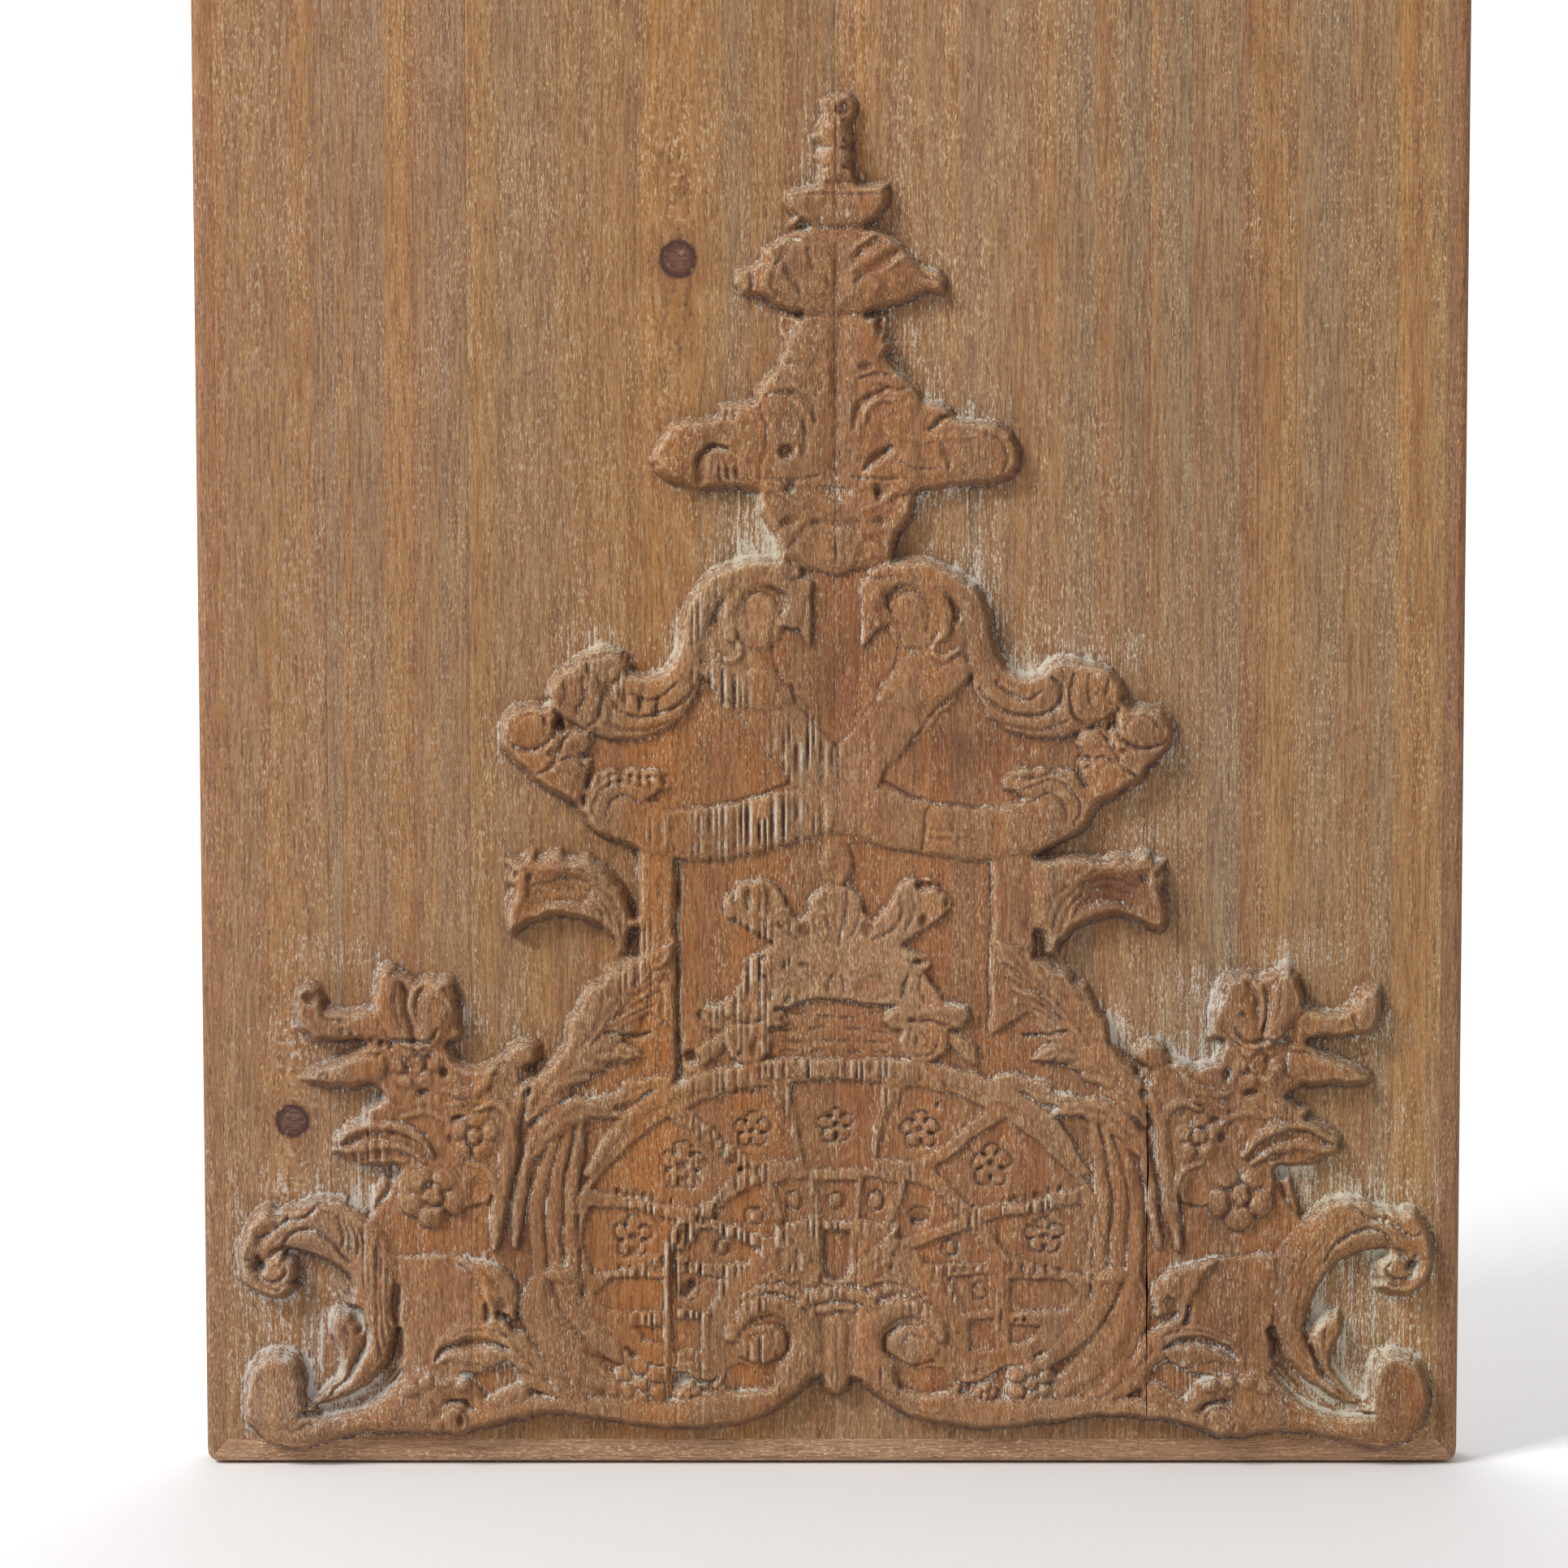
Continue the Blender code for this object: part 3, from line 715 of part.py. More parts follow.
def plan_cutter(name, outline):
    """A block over a flat outline, from the back plane to in front of the highest carving."""
    mesh_data = bmesh.new()
    corners = [mesh_data.verts.new((x, 0, z)) for x, z in outline]
    face = mesh_data.faces.new(corners)
    reach = -(BOARD_THICKNESS + 2 * CARVING_DEPTH)
    front = bmesh.ops.extrude_face_region(mesh_data, geom=[face])["geom"]
    bmesh.ops.translate(mesh_data, vec=(0, reach, 0), verts=[v for v in front if isinstance(v, bmesh.types.BMVert)])
    bmesh.ops.recalc_face_normals(mesh_data, faces=mesh_data.faces)
    cutter_mesh = bpy.data.meshes.new(name)
    mesh_data.to_mesh(cutter_mesh)
    mesh_data.free()
    cutter = bpy.data.objects.new(name, cutter_mesh)
    cutter.hide_render = True
    cutter.display_type = "WIRE"
    cutters.objects.link(cutter)
    return cutter


def make_piece(name, outline, colour):
    """A board or strip: the carved slab, kept only over its own outline."""
    piece_mesh = carved.copy()
    piece_mesh.name = name
    piece_mesh.materials.clear()
    piece_mesh.materials.append(wood(name + "_wood", colour))
    piece = bpy.data.objects.new(name, piece_mesh)
    panel.objects.link(piece)
    trim = piece.modifiers.new("trim", "BOOLEAN")
    trim.operation = "INTERSECT"
    trim.solver = "EXACT"
    trim.object = plan_cutter(name + "_cutter", outline)
    return piece


def corner_arc(start, end):
    """Points of the panel's rounded upper right corner between two angles."""
    centre_x = PANEL_WIDTH / 2 - CORNER_RADIUS
    centre_z = PANEL_HEIGHT / 2 - CORNER_RADIUS
    angles = [math.radians(start + (end - start) * k / ARC_STEPS) for k in range(ARC_STEPS + 1)]
    return [(centre_x + CORNER_RADIUS * math.cos(a), centre_z + CORNER_RADIUS * math.sin(a)) for a in angles]


def strip_outlines():
    """The four mitred strips, each worked out for the upper right corner and turned round."""
    inner_x = FIELD_WIDTH / 2 + JOINT_GAP
    inner_z = FIELD_HEIGHT / 2 + JOINT_GAP
    gap = JOINT_GAP / 2
    # the mitre runs from the field's corner to the middle of the rounded corner
    side_end = [(inner_x, inner_z - gap)] + [(x, z - gap) for x, z in corner_arc(45, 0)]
    end_end = [(inner_x - gap, inner_z)] + [(x - gap, z) for x, z in corner_arc(45, 90)]
    right = side_end + [(x, -z) for x, z in reversed(side_end)]
    top = end_end + [(-x, z) for x, z in reversed(end_end)]
    return {
        "edging_left": [(-x, z) for x, z in right],
        "edging_right": right,
        "edging_bottom": [(x, -z) for x, z in top],
        "edging_top": top,
    }


def make_boards():
    """Six boards side by side, left to right."""
    names = ("board_1_left_edge", "board_2_left", "board_3_left_of_middle", "board_4_right_of_middle",
             "board_5_right", "board_6_right_edge")
    left = -FIELD_WIDTH / 2
    half_height = FIELD_HEIGHT / 2
    for name, tone, share in zip(names, BOARD_TONES, BOARD_SHARES):
        right = left + BOARDS_WIDTH * share / sum(BOARD_SHARES)
        outline = [(left, -half_height), (right, -half_height), (right, half_height), (left, half_height)]
        make_piece(name, outline, tone)
        left = right + JOINT_GAP


def make_edging():
    """The strips around the boards."""
    for name, outline in strip_outlines().items():
        make_piece(name, outline, EDGING_TONE)


panel = bpy.data.collections.new("carved_wall_panel")
cutters = bpy.data.collections.new("cutters")
bpy.context.scene.collection.children.link(panel)
bpy.context.scene.collection.children.link(cutters)
carved = make_slab()
make_boards()
make_edging()
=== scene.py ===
import math
import bpy
import bmesh
import numpy as np
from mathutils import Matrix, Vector


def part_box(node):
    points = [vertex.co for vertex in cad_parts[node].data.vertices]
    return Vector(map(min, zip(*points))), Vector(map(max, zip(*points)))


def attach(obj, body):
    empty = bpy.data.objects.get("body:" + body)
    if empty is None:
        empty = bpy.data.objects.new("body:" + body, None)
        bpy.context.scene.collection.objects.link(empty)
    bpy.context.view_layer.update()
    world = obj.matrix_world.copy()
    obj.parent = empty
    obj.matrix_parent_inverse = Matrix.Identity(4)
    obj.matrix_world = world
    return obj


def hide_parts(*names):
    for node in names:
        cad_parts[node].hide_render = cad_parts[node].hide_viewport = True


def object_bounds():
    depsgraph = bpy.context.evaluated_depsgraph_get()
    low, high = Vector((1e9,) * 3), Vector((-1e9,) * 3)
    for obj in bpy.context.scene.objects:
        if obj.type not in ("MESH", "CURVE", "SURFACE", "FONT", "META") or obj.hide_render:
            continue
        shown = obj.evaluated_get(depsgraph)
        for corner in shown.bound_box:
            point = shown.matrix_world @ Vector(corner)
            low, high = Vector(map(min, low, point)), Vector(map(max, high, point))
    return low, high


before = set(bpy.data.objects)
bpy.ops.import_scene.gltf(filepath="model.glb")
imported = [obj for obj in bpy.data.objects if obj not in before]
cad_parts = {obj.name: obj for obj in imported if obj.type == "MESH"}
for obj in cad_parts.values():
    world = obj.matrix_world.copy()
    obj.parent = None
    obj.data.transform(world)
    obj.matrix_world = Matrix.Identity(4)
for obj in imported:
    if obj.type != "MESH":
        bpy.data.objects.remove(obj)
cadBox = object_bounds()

# Carved wall panel: six limed fir boards with a low relief, and a mitred edging strip round them.
# The relief is drawn in millimetres: u is the distance from the carving's axis, z the height above its foot.

reliefShape = {
    "axis": 1.6,            # where the carving's middle lies, in millimetres from the panel's middle
    "step": 0.4,            # grid of the drawing, in millimetres
    "reach": 203.0,         # how far out, down and up the drawing's grid runs
    "foot": -2.0,
    "top": 446.0,
    "levels": {"low": 3.8, "field": 4.5, "band": 5.3, "high": 6.6, "crest": 8.4},
}
lowLevel, fieldLevel, bandLevel, highLevel, crestLevel = reliefShape["levels"].values()

# A smooth line through a few points, as an array of close points.
def curveThrough(points, closed=False, pieces=5):
    knots = [np.array(p, float) for p in points]
    count = len(knots)
    spans = count if closed else count - 1
    line = []
    for k in range(spans):
        if closed:
            before, start, end, after = (knots[(k + j) % count] for j in (-1, 0, 1, 2))
        else:
            start, end = knots[k], knots[k + 1]
            before = knots[k - 1] if k else 2 * start - end
            after = knots[k + 2] if k + 2 < count else 2 * end - start
        for j in range(pieces):
            t = j / pieces
            line.append(0.5 * (2 * start + (end - before) * t
                               + (2 * before - 5 * start + 4 * end - after) * t ** 2
                               + (3 * (start - end) + after - before) * t ** 3))
    if not closed:
        line.append(knots[-1])
    return np.array(line)


# Points of a volute, from outside to its eye, angles in degrees.
def spiral(centre, startRadius, endRadius, startAngle, turn, count=16):
    line = []
    for k in range(count + 1):
        t = k / count
        angle = math.radians(startAngle + turn * t)
        radius = startRadius + (endRadius - startRadius) * t
        line.append((centre[0] + radius * math.cos(angle), centre[1] + radius * math.sin(angle)))
    return line


# Heights of one half of the carving, over distance from its axis and height above its foot.
class Relief:
    def __init__(self, reach, low, high, step):
        self.step = step
        self.u = np.arange(-6 * step, reach + step, step)
        self.z = np.arange(low, high + step, step)
        self.low = low
        self.h = np.zeros((len(self.z), len(self.u)))

    def window(self, line, margin):
        (left, bottom), (right, top) = line.min(0) - margin, line.max(0) + margin
        rows = slice(max(0, int((bottom - self.low) / self.step)), max(0, int((top - self.low) / self.step) + 2))
        first = self.u[0]
        columns = slice(max(0, int((left - first) / self.step)), max(0, int((right - first) / self.step) + 2))
        uu, zz = np.meshgrid(self.u[columns], self.z[rows])
        return rows, columns, uu, zz

    # Distance over half-width to a line, and how far along it the nearest point lies.
    def near(self, uu, zz, line, widths):
        share = np.linspace(0, 1, len(line))
        half = np.interp(share, np.linspace(0, 1, len(widths)), widths)
        best = np.full(uu.shape, 9.0)
        along = np.zeros(uu.shape)
        for k in range(len(line) - 1):
            ax, az = line[k]
            dx, dz = line[k + 1] - line[k]
            t = np.clip(((uu - ax) * dx + (zz - az) * dz) / (dx * dx + dz * dz + 1e-9), 0, 1)
            ratio = np.hypot(uu - ax - t * dx, zz - az - t * dz) / (half[k] + (half[k + 1] - half[k]) * t)
            closer = ratio < best
            best = np.where(closer, ratio, best)
            along = np.where(closer, (k + t) / (len(line) - 1), along)
        return best, along

    # Distance from an outline, positive within it.
    def inside(self, uu, zz, line):
        gap = np.full(uu.shape, 1e9)
        within = np.zeros(uu.shape, bool)
        for k in range(len(line)):
            ax, az = line[k]
            bx, bz = line[(k + 1) % len(line)]
            dx, dz = bx - ax, bz - az
            t = np.clip(((uu - ax) * dx + (zz - az) * dz) / (dx * dx + dz * dz + 1e-9), 0, 1)
            gap = np.minimum(gap, np.hypot(uu - ax - t * dx, zz - az - t * dz))
            if az != bz:
                within ^= ((az > zz) != (bz > zz)) & (uu < ax + (zz - az) * dx / dz)
        return np.where(within, gap, -gap)

    # A flat field with the outline given; a crown lifts its middle.
    def plate(self, outline, level, curved=True, crown=0.0, reach=6.0, sunk=False):
        line = curveThrough(outline, True) if curved else np.array(outline, float)
        rows, columns, uu, zz = self.window(line, 1)
        gap = self.inside(uu, zz, line)
        height = level + crown * np.clip(gap / reach, 0, 1) * (2 - np.clip(gap / reach, 0, 1))
        held = self.h[rows, columns]
        laid = height if sunk else np.maximum(held, height)
        self.h[rows, columns] = np.where(gap > 0, laid, held)

    # A strap or ridge with a domed section; ribs are ridges along it.
    def stroke(self, points, widths, foot, top, power=2.2, ribs=0, rib=0.6):
        line = curveThrough(points)
        rows, columns, uu, zz = self.window(line, max(widths) + 1)
        ratio = self.near(uu, zz, line, widths)[0]
        across = np.clip(ratio, 0, 1)
        height = foot + (top - foot) * (1 - across ** power) ** 0.7
        if ribs:
            height -= rib * 0.5 * (1 - np.cos(math.pi * ribs * across))
        held = self.h[rows, columns]
        self.h[rows, columns] = np.where(ratio < 1, np.maximum(held, height), held)

    # A rounded cut along a line, below whatever is there.
    def groove(self, points, widths, depth, curved=True):
        line = curveThrough(points) if curved else np.array(points, float)
        rows, columns, uu, zz = self.window(line, max(widths) + 1)
        ratio = self.near(uu, zz, line, widths)[0]
        self.h[rows, columns] -= depth * np.where(ratio < 1, (1 - np.clip(ratio, 0, 1) ** 2) ** 1.5, 0)

    # A ball, button or egg; lean turns it, in degrees.
    def dome(self, centre, radii, foot, top, power=2.0, lean=0.0):
        centre = np.array(centre, float)
        ru, rz = radii if isinstance(radii, tuple) else (radii, radii)
        rows, columns, uu, zz = self.window(np.array([centre - max(ru, rz), centre + max(ru, rz)]), 1)
        c, s = math.cos(math.radians(lean)), math.sin(math.radians(lean))
        du, dz = uu - centre[0], zz - centre[1]
        ratio = np.hypot((du * c + dz * s) / ru, (dz * c - du * s) / rz)
        height = foot + (top - foot) * np.sqrt(1 - np.clip(ratio, 0, 1) ** power)
        held = self.h[rows, columns]
        self.h[rows, columns] = np.where(ratio < 1, np.maximum(held, height), held)

    # A round or oval hollow.
    def pit(self, centre, radii, depth, lean=0.0):
        centre = np.array(centre, float)
        ru, rz = radii if isinstance(radii, tuple) else (radii, radii)
        rows, columns, uu, zz = self.window(np.array([centre - max(ru, rz), centre + max(ru, rz)]), 1)
        c, s = math.cos(math.radians(lean)), math.sin(math.radians(lean))
        du, dz = uu - centre[0], zz - centre[1]
        ratio = np.clip(np.hypot((du * c + dz * s) / ru, (dz * c - du * s) / rz), 0, 1)
        self.h[rows, columns] -= depth * (1 - ratio ** 2) ** 0.7

    # A flower seen from the front: petals with notches between and a button in the middle.
    def blossom(self, centre, radius, petals, foot, top, eye=0.28, turn=90.0, notch=0.22):
        centre = np.array(centre, float)
        rows, columns, uu, zz = self.window(np.array([centre - radius, centre + radius]), 1)
        du, dz = uu - centre[0], zz - centre[1]
        away = np.hypot(du, dz) / radius
        swing = np.abs(np.cos(0.5 * petals * (np.arctan2(dz, du) - math.radians(turn))))
        rim = 1 - notch * (1 - swing ** 0.7)
        ratio = away / rim
        height = foot + (top - foot) * np.sqrt(1 - np.clip(ratio, 0, 1) ** 3)
        height -= (top - foot) * 0.55 * (1 - swing) ** 2 * np.clip(away / 0.5, 0, 1)
        height -= (top - foot) * 0.5 * np.exp(-((away - eye * 1.15) / 0.09) ** 2)
        held = self.h[rows, columns]
        self.h[rows, columns] = np.where(ratio < 1, np.maximum(held, height), held)

    # A flower drawn as a raised or sunk line, with a dot in the middle.
    def flowerRing(self, centre, radius, petals, width, rise, turn=90.0):
        for k in range(petals):
            angle = math.radians(turn + 360 * k / petals)
            middle = (centre[0] + radius * 0.62 * math.cos(angle), centre[1] + radius * 0.62 * math.sin(angle))
            ring = spiral(middle, radius * 0.38, radius * 0.38, math.degrees(angle) - 125, 250, 8)
            self.groove(ring, [width], -rise)
        self.pit(centre, radius * 0.24, -rise * 1.2)

    # A button raised from whatever is there.
    def domeOn(self, centre, radius, rise):
        self.pit(centre, radius, -rise)

    # A leaf along a spine, widest a third of the way up, with lobes, a mid vein and side veins.
    def leaf(self, spine, half, foot, top, lobes=0, cut=0.35, vein=0.7, slant=1.4):
        line = curveThrough(spine)
        rows, columns, uu, zz = self.window(line, half * 1.3 + 1)
        ratio, along = self.near(uu, zz, line, [half])
        length = np.hypot(*np.diff(line, axis=0).T).sum()
        body = np.sin(math.pi * np.clip(along, 0.02, 1) ** 0.75) ** 0.8
        if lobes:
            phase = along * lobes - ratio * half * slant / length * lobes
            body = body * (1 - cut * (0.5 - 0.5 * np.cos(2 * math.pi * phase)) * np.clip(ratio / 0.4, 0, 1))
        reach = ratio / np.maximum(body, 0.05)
        height = foot + (top - foot) * np.sqrt(1 - np.clip(reach, 0, 1) ** 2.2)
        height -= vein * np.exp(-(ratio * half / 0.9) ** 2)
        if lobes:
            height -= 0.6 * vein * np.clip(ratio / 0.2, 0, 1) * (0.5 - 0.5 * np.cos(2 * math.pi * phase)) ** 3
        held = self.h[rows, columns]
        self.h[rows, columns] = np.where(reach < 1, np.maximum(held, height), held)

    # The height at one place, between the grid's own points.
    def read(self, u, z):
        column = min(max((u - self.u[0]) / self.step, 0), len(self.u) - 1.001)
        row = min(max((z - self.z[0]) / self.step, 0), len(self.z) - 1.001)
        i, j = int(row), int(column)
        a, b = row - i, column - j
        near = self.h[i, j] * (1 - b) + self.h[i, j + 1] * b
        far = self.h[i + 1, j] * (1 - b) + self.h[i + 1, j + 1] * b
        return near * (1 - a) + far * a

    # Leans every wall back to a slope, then softens the surface.
    def ease(self, slope, passes):
        rise = slope * self.step
        rounds = int(10 / rise) + 1
        for _ in range(rounds):
            lowest = self.h.copy()
            for axis in (0, 1):
                for shift in (-1, 1):
                    lowest = np.minimum(lowest, np.roll(self.h, shift, axis) + rise)
            for du in (-1, 1):
                for dz in (-1, 1):
                    lowest = np.minimum(lowest, np.roll(self.h, (du, dz), (0, 1)) + rise * 1.414)
            self.h = lowest
        for _ in range(passes):
            for axis in (0, 1):
                self.h = 0.5 * self.h + 0.25 * (np.roll(self.h, 1, axis) + np.roll(self.h, -1, axis))




def layFields(r):
    # broad fields that the ornament lies on
    r.plate([(-4, 26), (5, 29), (14, 22), (26, 15), (50, 12.5), (80, 16), (118, 14), (150, 12), (168, 14),
             (150, 24), (141, 36), (139, 52), (141, 69), (100, 72), (104, 100), (98, 127), (66, 140), (-4, 140)], lowLevel)
    r.plate([(-4, 125), (64, 125), (64, 199), (40, 198), (18, 202), (-4, 211)], lowLevel, curved=False)
    r.plate([(-4, 289), (10, 291), (30, 292), (42, 285), (50, 270), (55, 259), (62, 257), (72, 260), (88, 255),
             (92, 248), (104, 244), (106, 236), (98, 225), (86, 216), (76, 204), (62, 198.5), (46, 196.5),
             (30, 198), (12, 203.5), (-4, 209.5)], fieldLevel)
    r.plate([(96, 66), (146, 66), (150, 82), (146, 98), (140, 114), (118, 126), (98, 128)], lowLevel)
    r.plate([(113, 30), (141, 30), (141, 69), (119, 69), (114, 60)], bandLevel + 0.3, curved=False)


def layCorner(r, side):
    # roll along the foot that ends in a ball
    r.plate([(128, 9), (140, 10.6), (152, 10), (165, 7), (176, 5), (185, 6.6), (191, 13), (192.8, 22), (191, 31),
             (186, 37.4), (179.6, 39.2), (174, 37), (171.4, 32), (171, 24), (168, 19.4), (161, 16.4), (154, 19),
             (147, 24.6), (141.6, 29.8), (135, 32.6), (129, 31), (124, 24)], lowLevel - 0.4, curved=False, crown=3.6, reach=7)
    r.dome((181.4, 25), (11, 13), highLevel - 1, crestLevel + 0.5, power=3.6)
    if side > 0:
        r.pit((178.8, 26), (8, 6.4), 0.9, lean=10)
    else:
        r.groove([(172.6, 21), (172, 28), (174, 34.6), (179, 38)], [0.8, 1.9, 1.5, 0.6], 2.4)
        r.groove([(163, 19.6), (169, 14.6), (177, 12)], [0.6, 1.2, 0.6], 0.9)
    # great arc of the leaf, with the curl at its end
    r.plate([(140.4, 69), (139.6, 60), (139.8, 50), (141.8, 42), (145, 34), (150.6, 27.4), (158, 22), (167, 19.4),
             (174, 20), (166, 24.4), (159.4, 31), (155, 38), (152.8, 45), (153.4, 51), (155.4, 57), (159, 62.6),
             (164, 66.6), (170, 68.8), (176, 69.6), (186, 66), (191.8, 70), (189.8, 77), (185, 82), (180, 84.6),
             (175.4, 85.4), (170.6, 88), (164, 88.8), (157.6, 87.2), (152, 83), (147, 78), (143, 73)],
            lowLevel, curved=False, crown=3.6, reach=7.4)
    r.stroke([(184, 81), (189, 73.6), (189.8, 66), (186.6, 59.6), (180.8, 57), (175.6, 59)], [4.4, 4.2, 3.8, 3.4, 3, 2.4],
             lowLevel, crestLevel)
    r.dome((179.4, 63.8), (6.6, 6), fieldLevel, crestLevel, power=3)
    r.groove([(186.4, 69.6), (185, 63), (180.6, 61.2), (177.4, 64), (179, 67)], [0.6, 1.1, 1.1, 0.9, 0.5], 1.5)
    r.groove([(173.6, 70.4), (177.6, 71.6), (182.6, 70.6)], [0.6, 1.4, 0.7], 1.4)
    r.groove([(157, 67), (161.6, 73.4), (168.6, 77.6), (174.6, 77), (178.4, 72.4)], [0.6, 1.1, 1.3, 1.3, 0.7], 1.5)
    r.groove([(166, 86), (171, 81.6), (177.4, 80.6), (183, 76)], [0.6, 1.2, 1.4, 0.6], 1.4)
    r.groove([(175.6, 85.4), (177.2, 82.4), (176, 79.6)], [1.2, 0.9, 0.5], 1.2)
    r.groove([(189.4, 77.6), (186, 75.2), (183, 76)], [1.1, 0.9, 0.5], 1.0)
    r.groove([(191.6, 68.6), (188, 68.4)], [1.1, 0.7], 0.9, curved=False)
    if side > 0:
        for k in range(4):
            r.groove([(145.6 + 3 * k, 38 - 2.4 * k), (143 + 3 * k, 50), (145 + 3.2 * k, 62 + k), (151 + 3.4 * k, 72 + 2 * k)],
                     [0.5, 0.8, 0.8, 0.5], 0.45)
    else:
        for k in range(4):
            r.groove([(147.4 - 1.9 * k, 36 + 3.6 * k), (148.6 - 1.7 * k, 52), (148 - 1.8 * k, 72 - 3.4 * k)], [0.6, 0.85, 0.6], 1.2)
        r.pit((142, 53.6), (1.7, 7.6), 3.0)
        for k in range(4):
            r.groove([(153 + 2.3 * k, 78 + 1.5 * k), (151.4 + 2.4 * k, 73 + k), (152 + 2.4 * k, 69 + k)], [0.5, 0.9, 0.5], 1.3)
        r.pit((185, 76), (2.6, 4), 1.6, lean=30)
        r.plate([(153, 55), (158.6, 60.4), (156.6, 54), (161.6, 57.6), (159, 52), (153, 50)], fieldLevel, curved=False)
    r.groove([(141, 31), (146.4, 25), (154, 20), (163, 17.2), (172.6, 17.4)], [0.8, 1.8, 2.0, 1.5, 0.7], 3.0)
    # tongue leaf within the arc
    r.groove([(151.8, 46), (152.4, 39), (156.4, 30.4), (163, 23.8), (171, 20.2)], [1.0, 1.3, 1.5, 1.4, 0.8], 2.6)
    r.plate([(161.8, 51.8), (157, 50), (153.4, 46), (152.6, 40.4), (154.6, 34.6), (158.6, 28), (164, 22.8), (169, 20.6),
             (163, 26.4), (160, 31.6), (160.6, 37), (163.4, 42), (164, 47.6)], lowLevel, curved=False, crown=3.0, reach=3.6)
    r.groove([(157.6, 46), (157, 38.6), (159, 32)], [0.6, 1.0, 0.5], 0.9)


def layBase(r, side):
    # long scroll along the foot, from the ball to the pendant in the middle
    r.stroke([(128, 14), (116, 15.4), (100, 19), (84, 20), (70, 19), (58, 17.5), (46, 17.8), (34, 19.6), (24, 23.4),
              (15, 29), (10.4, 36.5), (10.4, 45), (15.4, 51), (24, 52.8), (31, 49), (34, 42.5)],
             [4.6, 3.6, 3.6, 4.4, 5.2, 5.4, 6, 6.6, 7, 6.6, 6, 5.4, 4.6, 4.2, 3.8, 2.4], 3, highLevel + 0.9, power=2.6)
    r.dome((25, 40.6), (8.6, 8.2), 4.4, highLevel + 0.2, power=3)
    r.groove([(27, 46.4), (20.5, 46.4), (16.2, 43), (15.4, 39), (18, 35), (24, 33.4), (31, 35.4)],
             [0.6, 1, 1.2, 1.2, 1.1, 1, 0.6], 1.2)
    r.groove([(22, 36.5), (21, 40.5), (24, 43.5), (28, 42)], [0.8], 0.8)
    for k in range(3):
        r.groove([(21.4 + 2.7 * k, 49.2), (21.8 + 2.7 * k, 53.4)], [0.7], 1.0, curved=False)
    r.stroke([(6.4, 29), (6.6, 40), (8, 50), (13, 57), (22, 58.4), (30, 55)], [1.6, 1.8, 2.2, 2.4, 2, 1.2], 4, highLevel)
    r.plate([(-4, 24.6), (4.4, 25), (6, 33), (6.4, 50), (-4, 50)], bandLevel, curved=False)
    r.stroke([(0, 27), (0, 46)], [3.0, 3.6], bandLevel, highLevel + 0.3)
    r.dome((0, 27), (4.2, 4.6), 3.6, highLevel + 0.6)
    r.pit((5.6, 28), (2, 2.4), 3.4)
    r.stroke([(-2, 57.6), (8, 56), (12.6, 52.6)], [2.6, 2.4, 1.4], bandLevel, highLevel + 0.6)
    r.stroke([(-2, 52.4), (5, 52.2)], [1.6], bandLevel, highLevel)
    r.plate([(19, 35), (18.6, 29), (22.6, 25.4), (33, 24.4), (37, 27), (33, 33.4), (25, 32.6)], fieldLevel, sunk=True)
    # crest of small swellings, crescent leaf and ball on the foot
    r.plate([(98, 14), (106, 14), (114, 13), (120, 22), (123, 26), (121, 30), (116, 27), (113, 21.4), (109, 24), (104, 27),
             (98, 28)], bandLevel - 0.6, curved=False, crown=1.8, reach=4)
    r.plate([(114, 20), (120, 21), (127, 22.6), (136, 21), (143, 22), (142, 28), (136, 32.8), (130.6, 32), (123, 31.4),
             (117.4, 27.4)], bandLevel, curved=False, crown=1.2, reach=3)
    for u, z in ((120.6, 27), (126.6, 28.4), (132.6, 28), (137.6, 26)):
        r.dome((u, z), (2.9, 2.7), bandLevel, crestLevel)
    r.dome((123.8, 15.2), (6.2, 6.2), 3.4, highLevel + 1.3, power=3)
    r.groove(spiral((123.8, 15.2), 4.4, 4.4, 20, 330, 12), [0.7], 0.9)
    r.plate([(100, 37), (106, 35), (111.6, 31.4), (115.6, 32.6), (122, 34), (129.6, 33.4), (131.8, 31.6), (131.4, 37),
             (129, 41.6), (124.6, 45.4), (118, 47.8), (111.6, 47.2), (106, 44.6), (101.6, 41.6)], bandLevel, curved=False,
            crown=1.4, reach=2.6)
    r.groove([(105.6, 38.6), (111.6, 40.4), (119, 40.6), (126, 38.2), (129.4, 35)], [0.7, 2.4, 2.8, 2.2, 0.6], 2.4)
    r.groove([(104.6, 42.6), (111, 44.8), (118, 45), (124.6, 42)], [0.4, 0.8, 0.8, 0.4], 0.7)
    r.leaf([(104, 50), (108, 57), (114, 63), (121, 68)], 6, 4.4, highLevel + 0.4, vein=0.4)
    r.stroke([(111, 48), (112.4, 56), (115.6, 63.6), (120.6, 67.6)], [1.2, 2.2, 2.4, 1.4], bandLevel, highLevel + 1)
    r.pit((108, 53.6), (2.2, 3), 1.8)
    if side < 0:
        r.pit((122, 15), (1.3, 2.6), 2.4)
        r.pit((126, 29.4), (2.4, 2.0), 2.2)


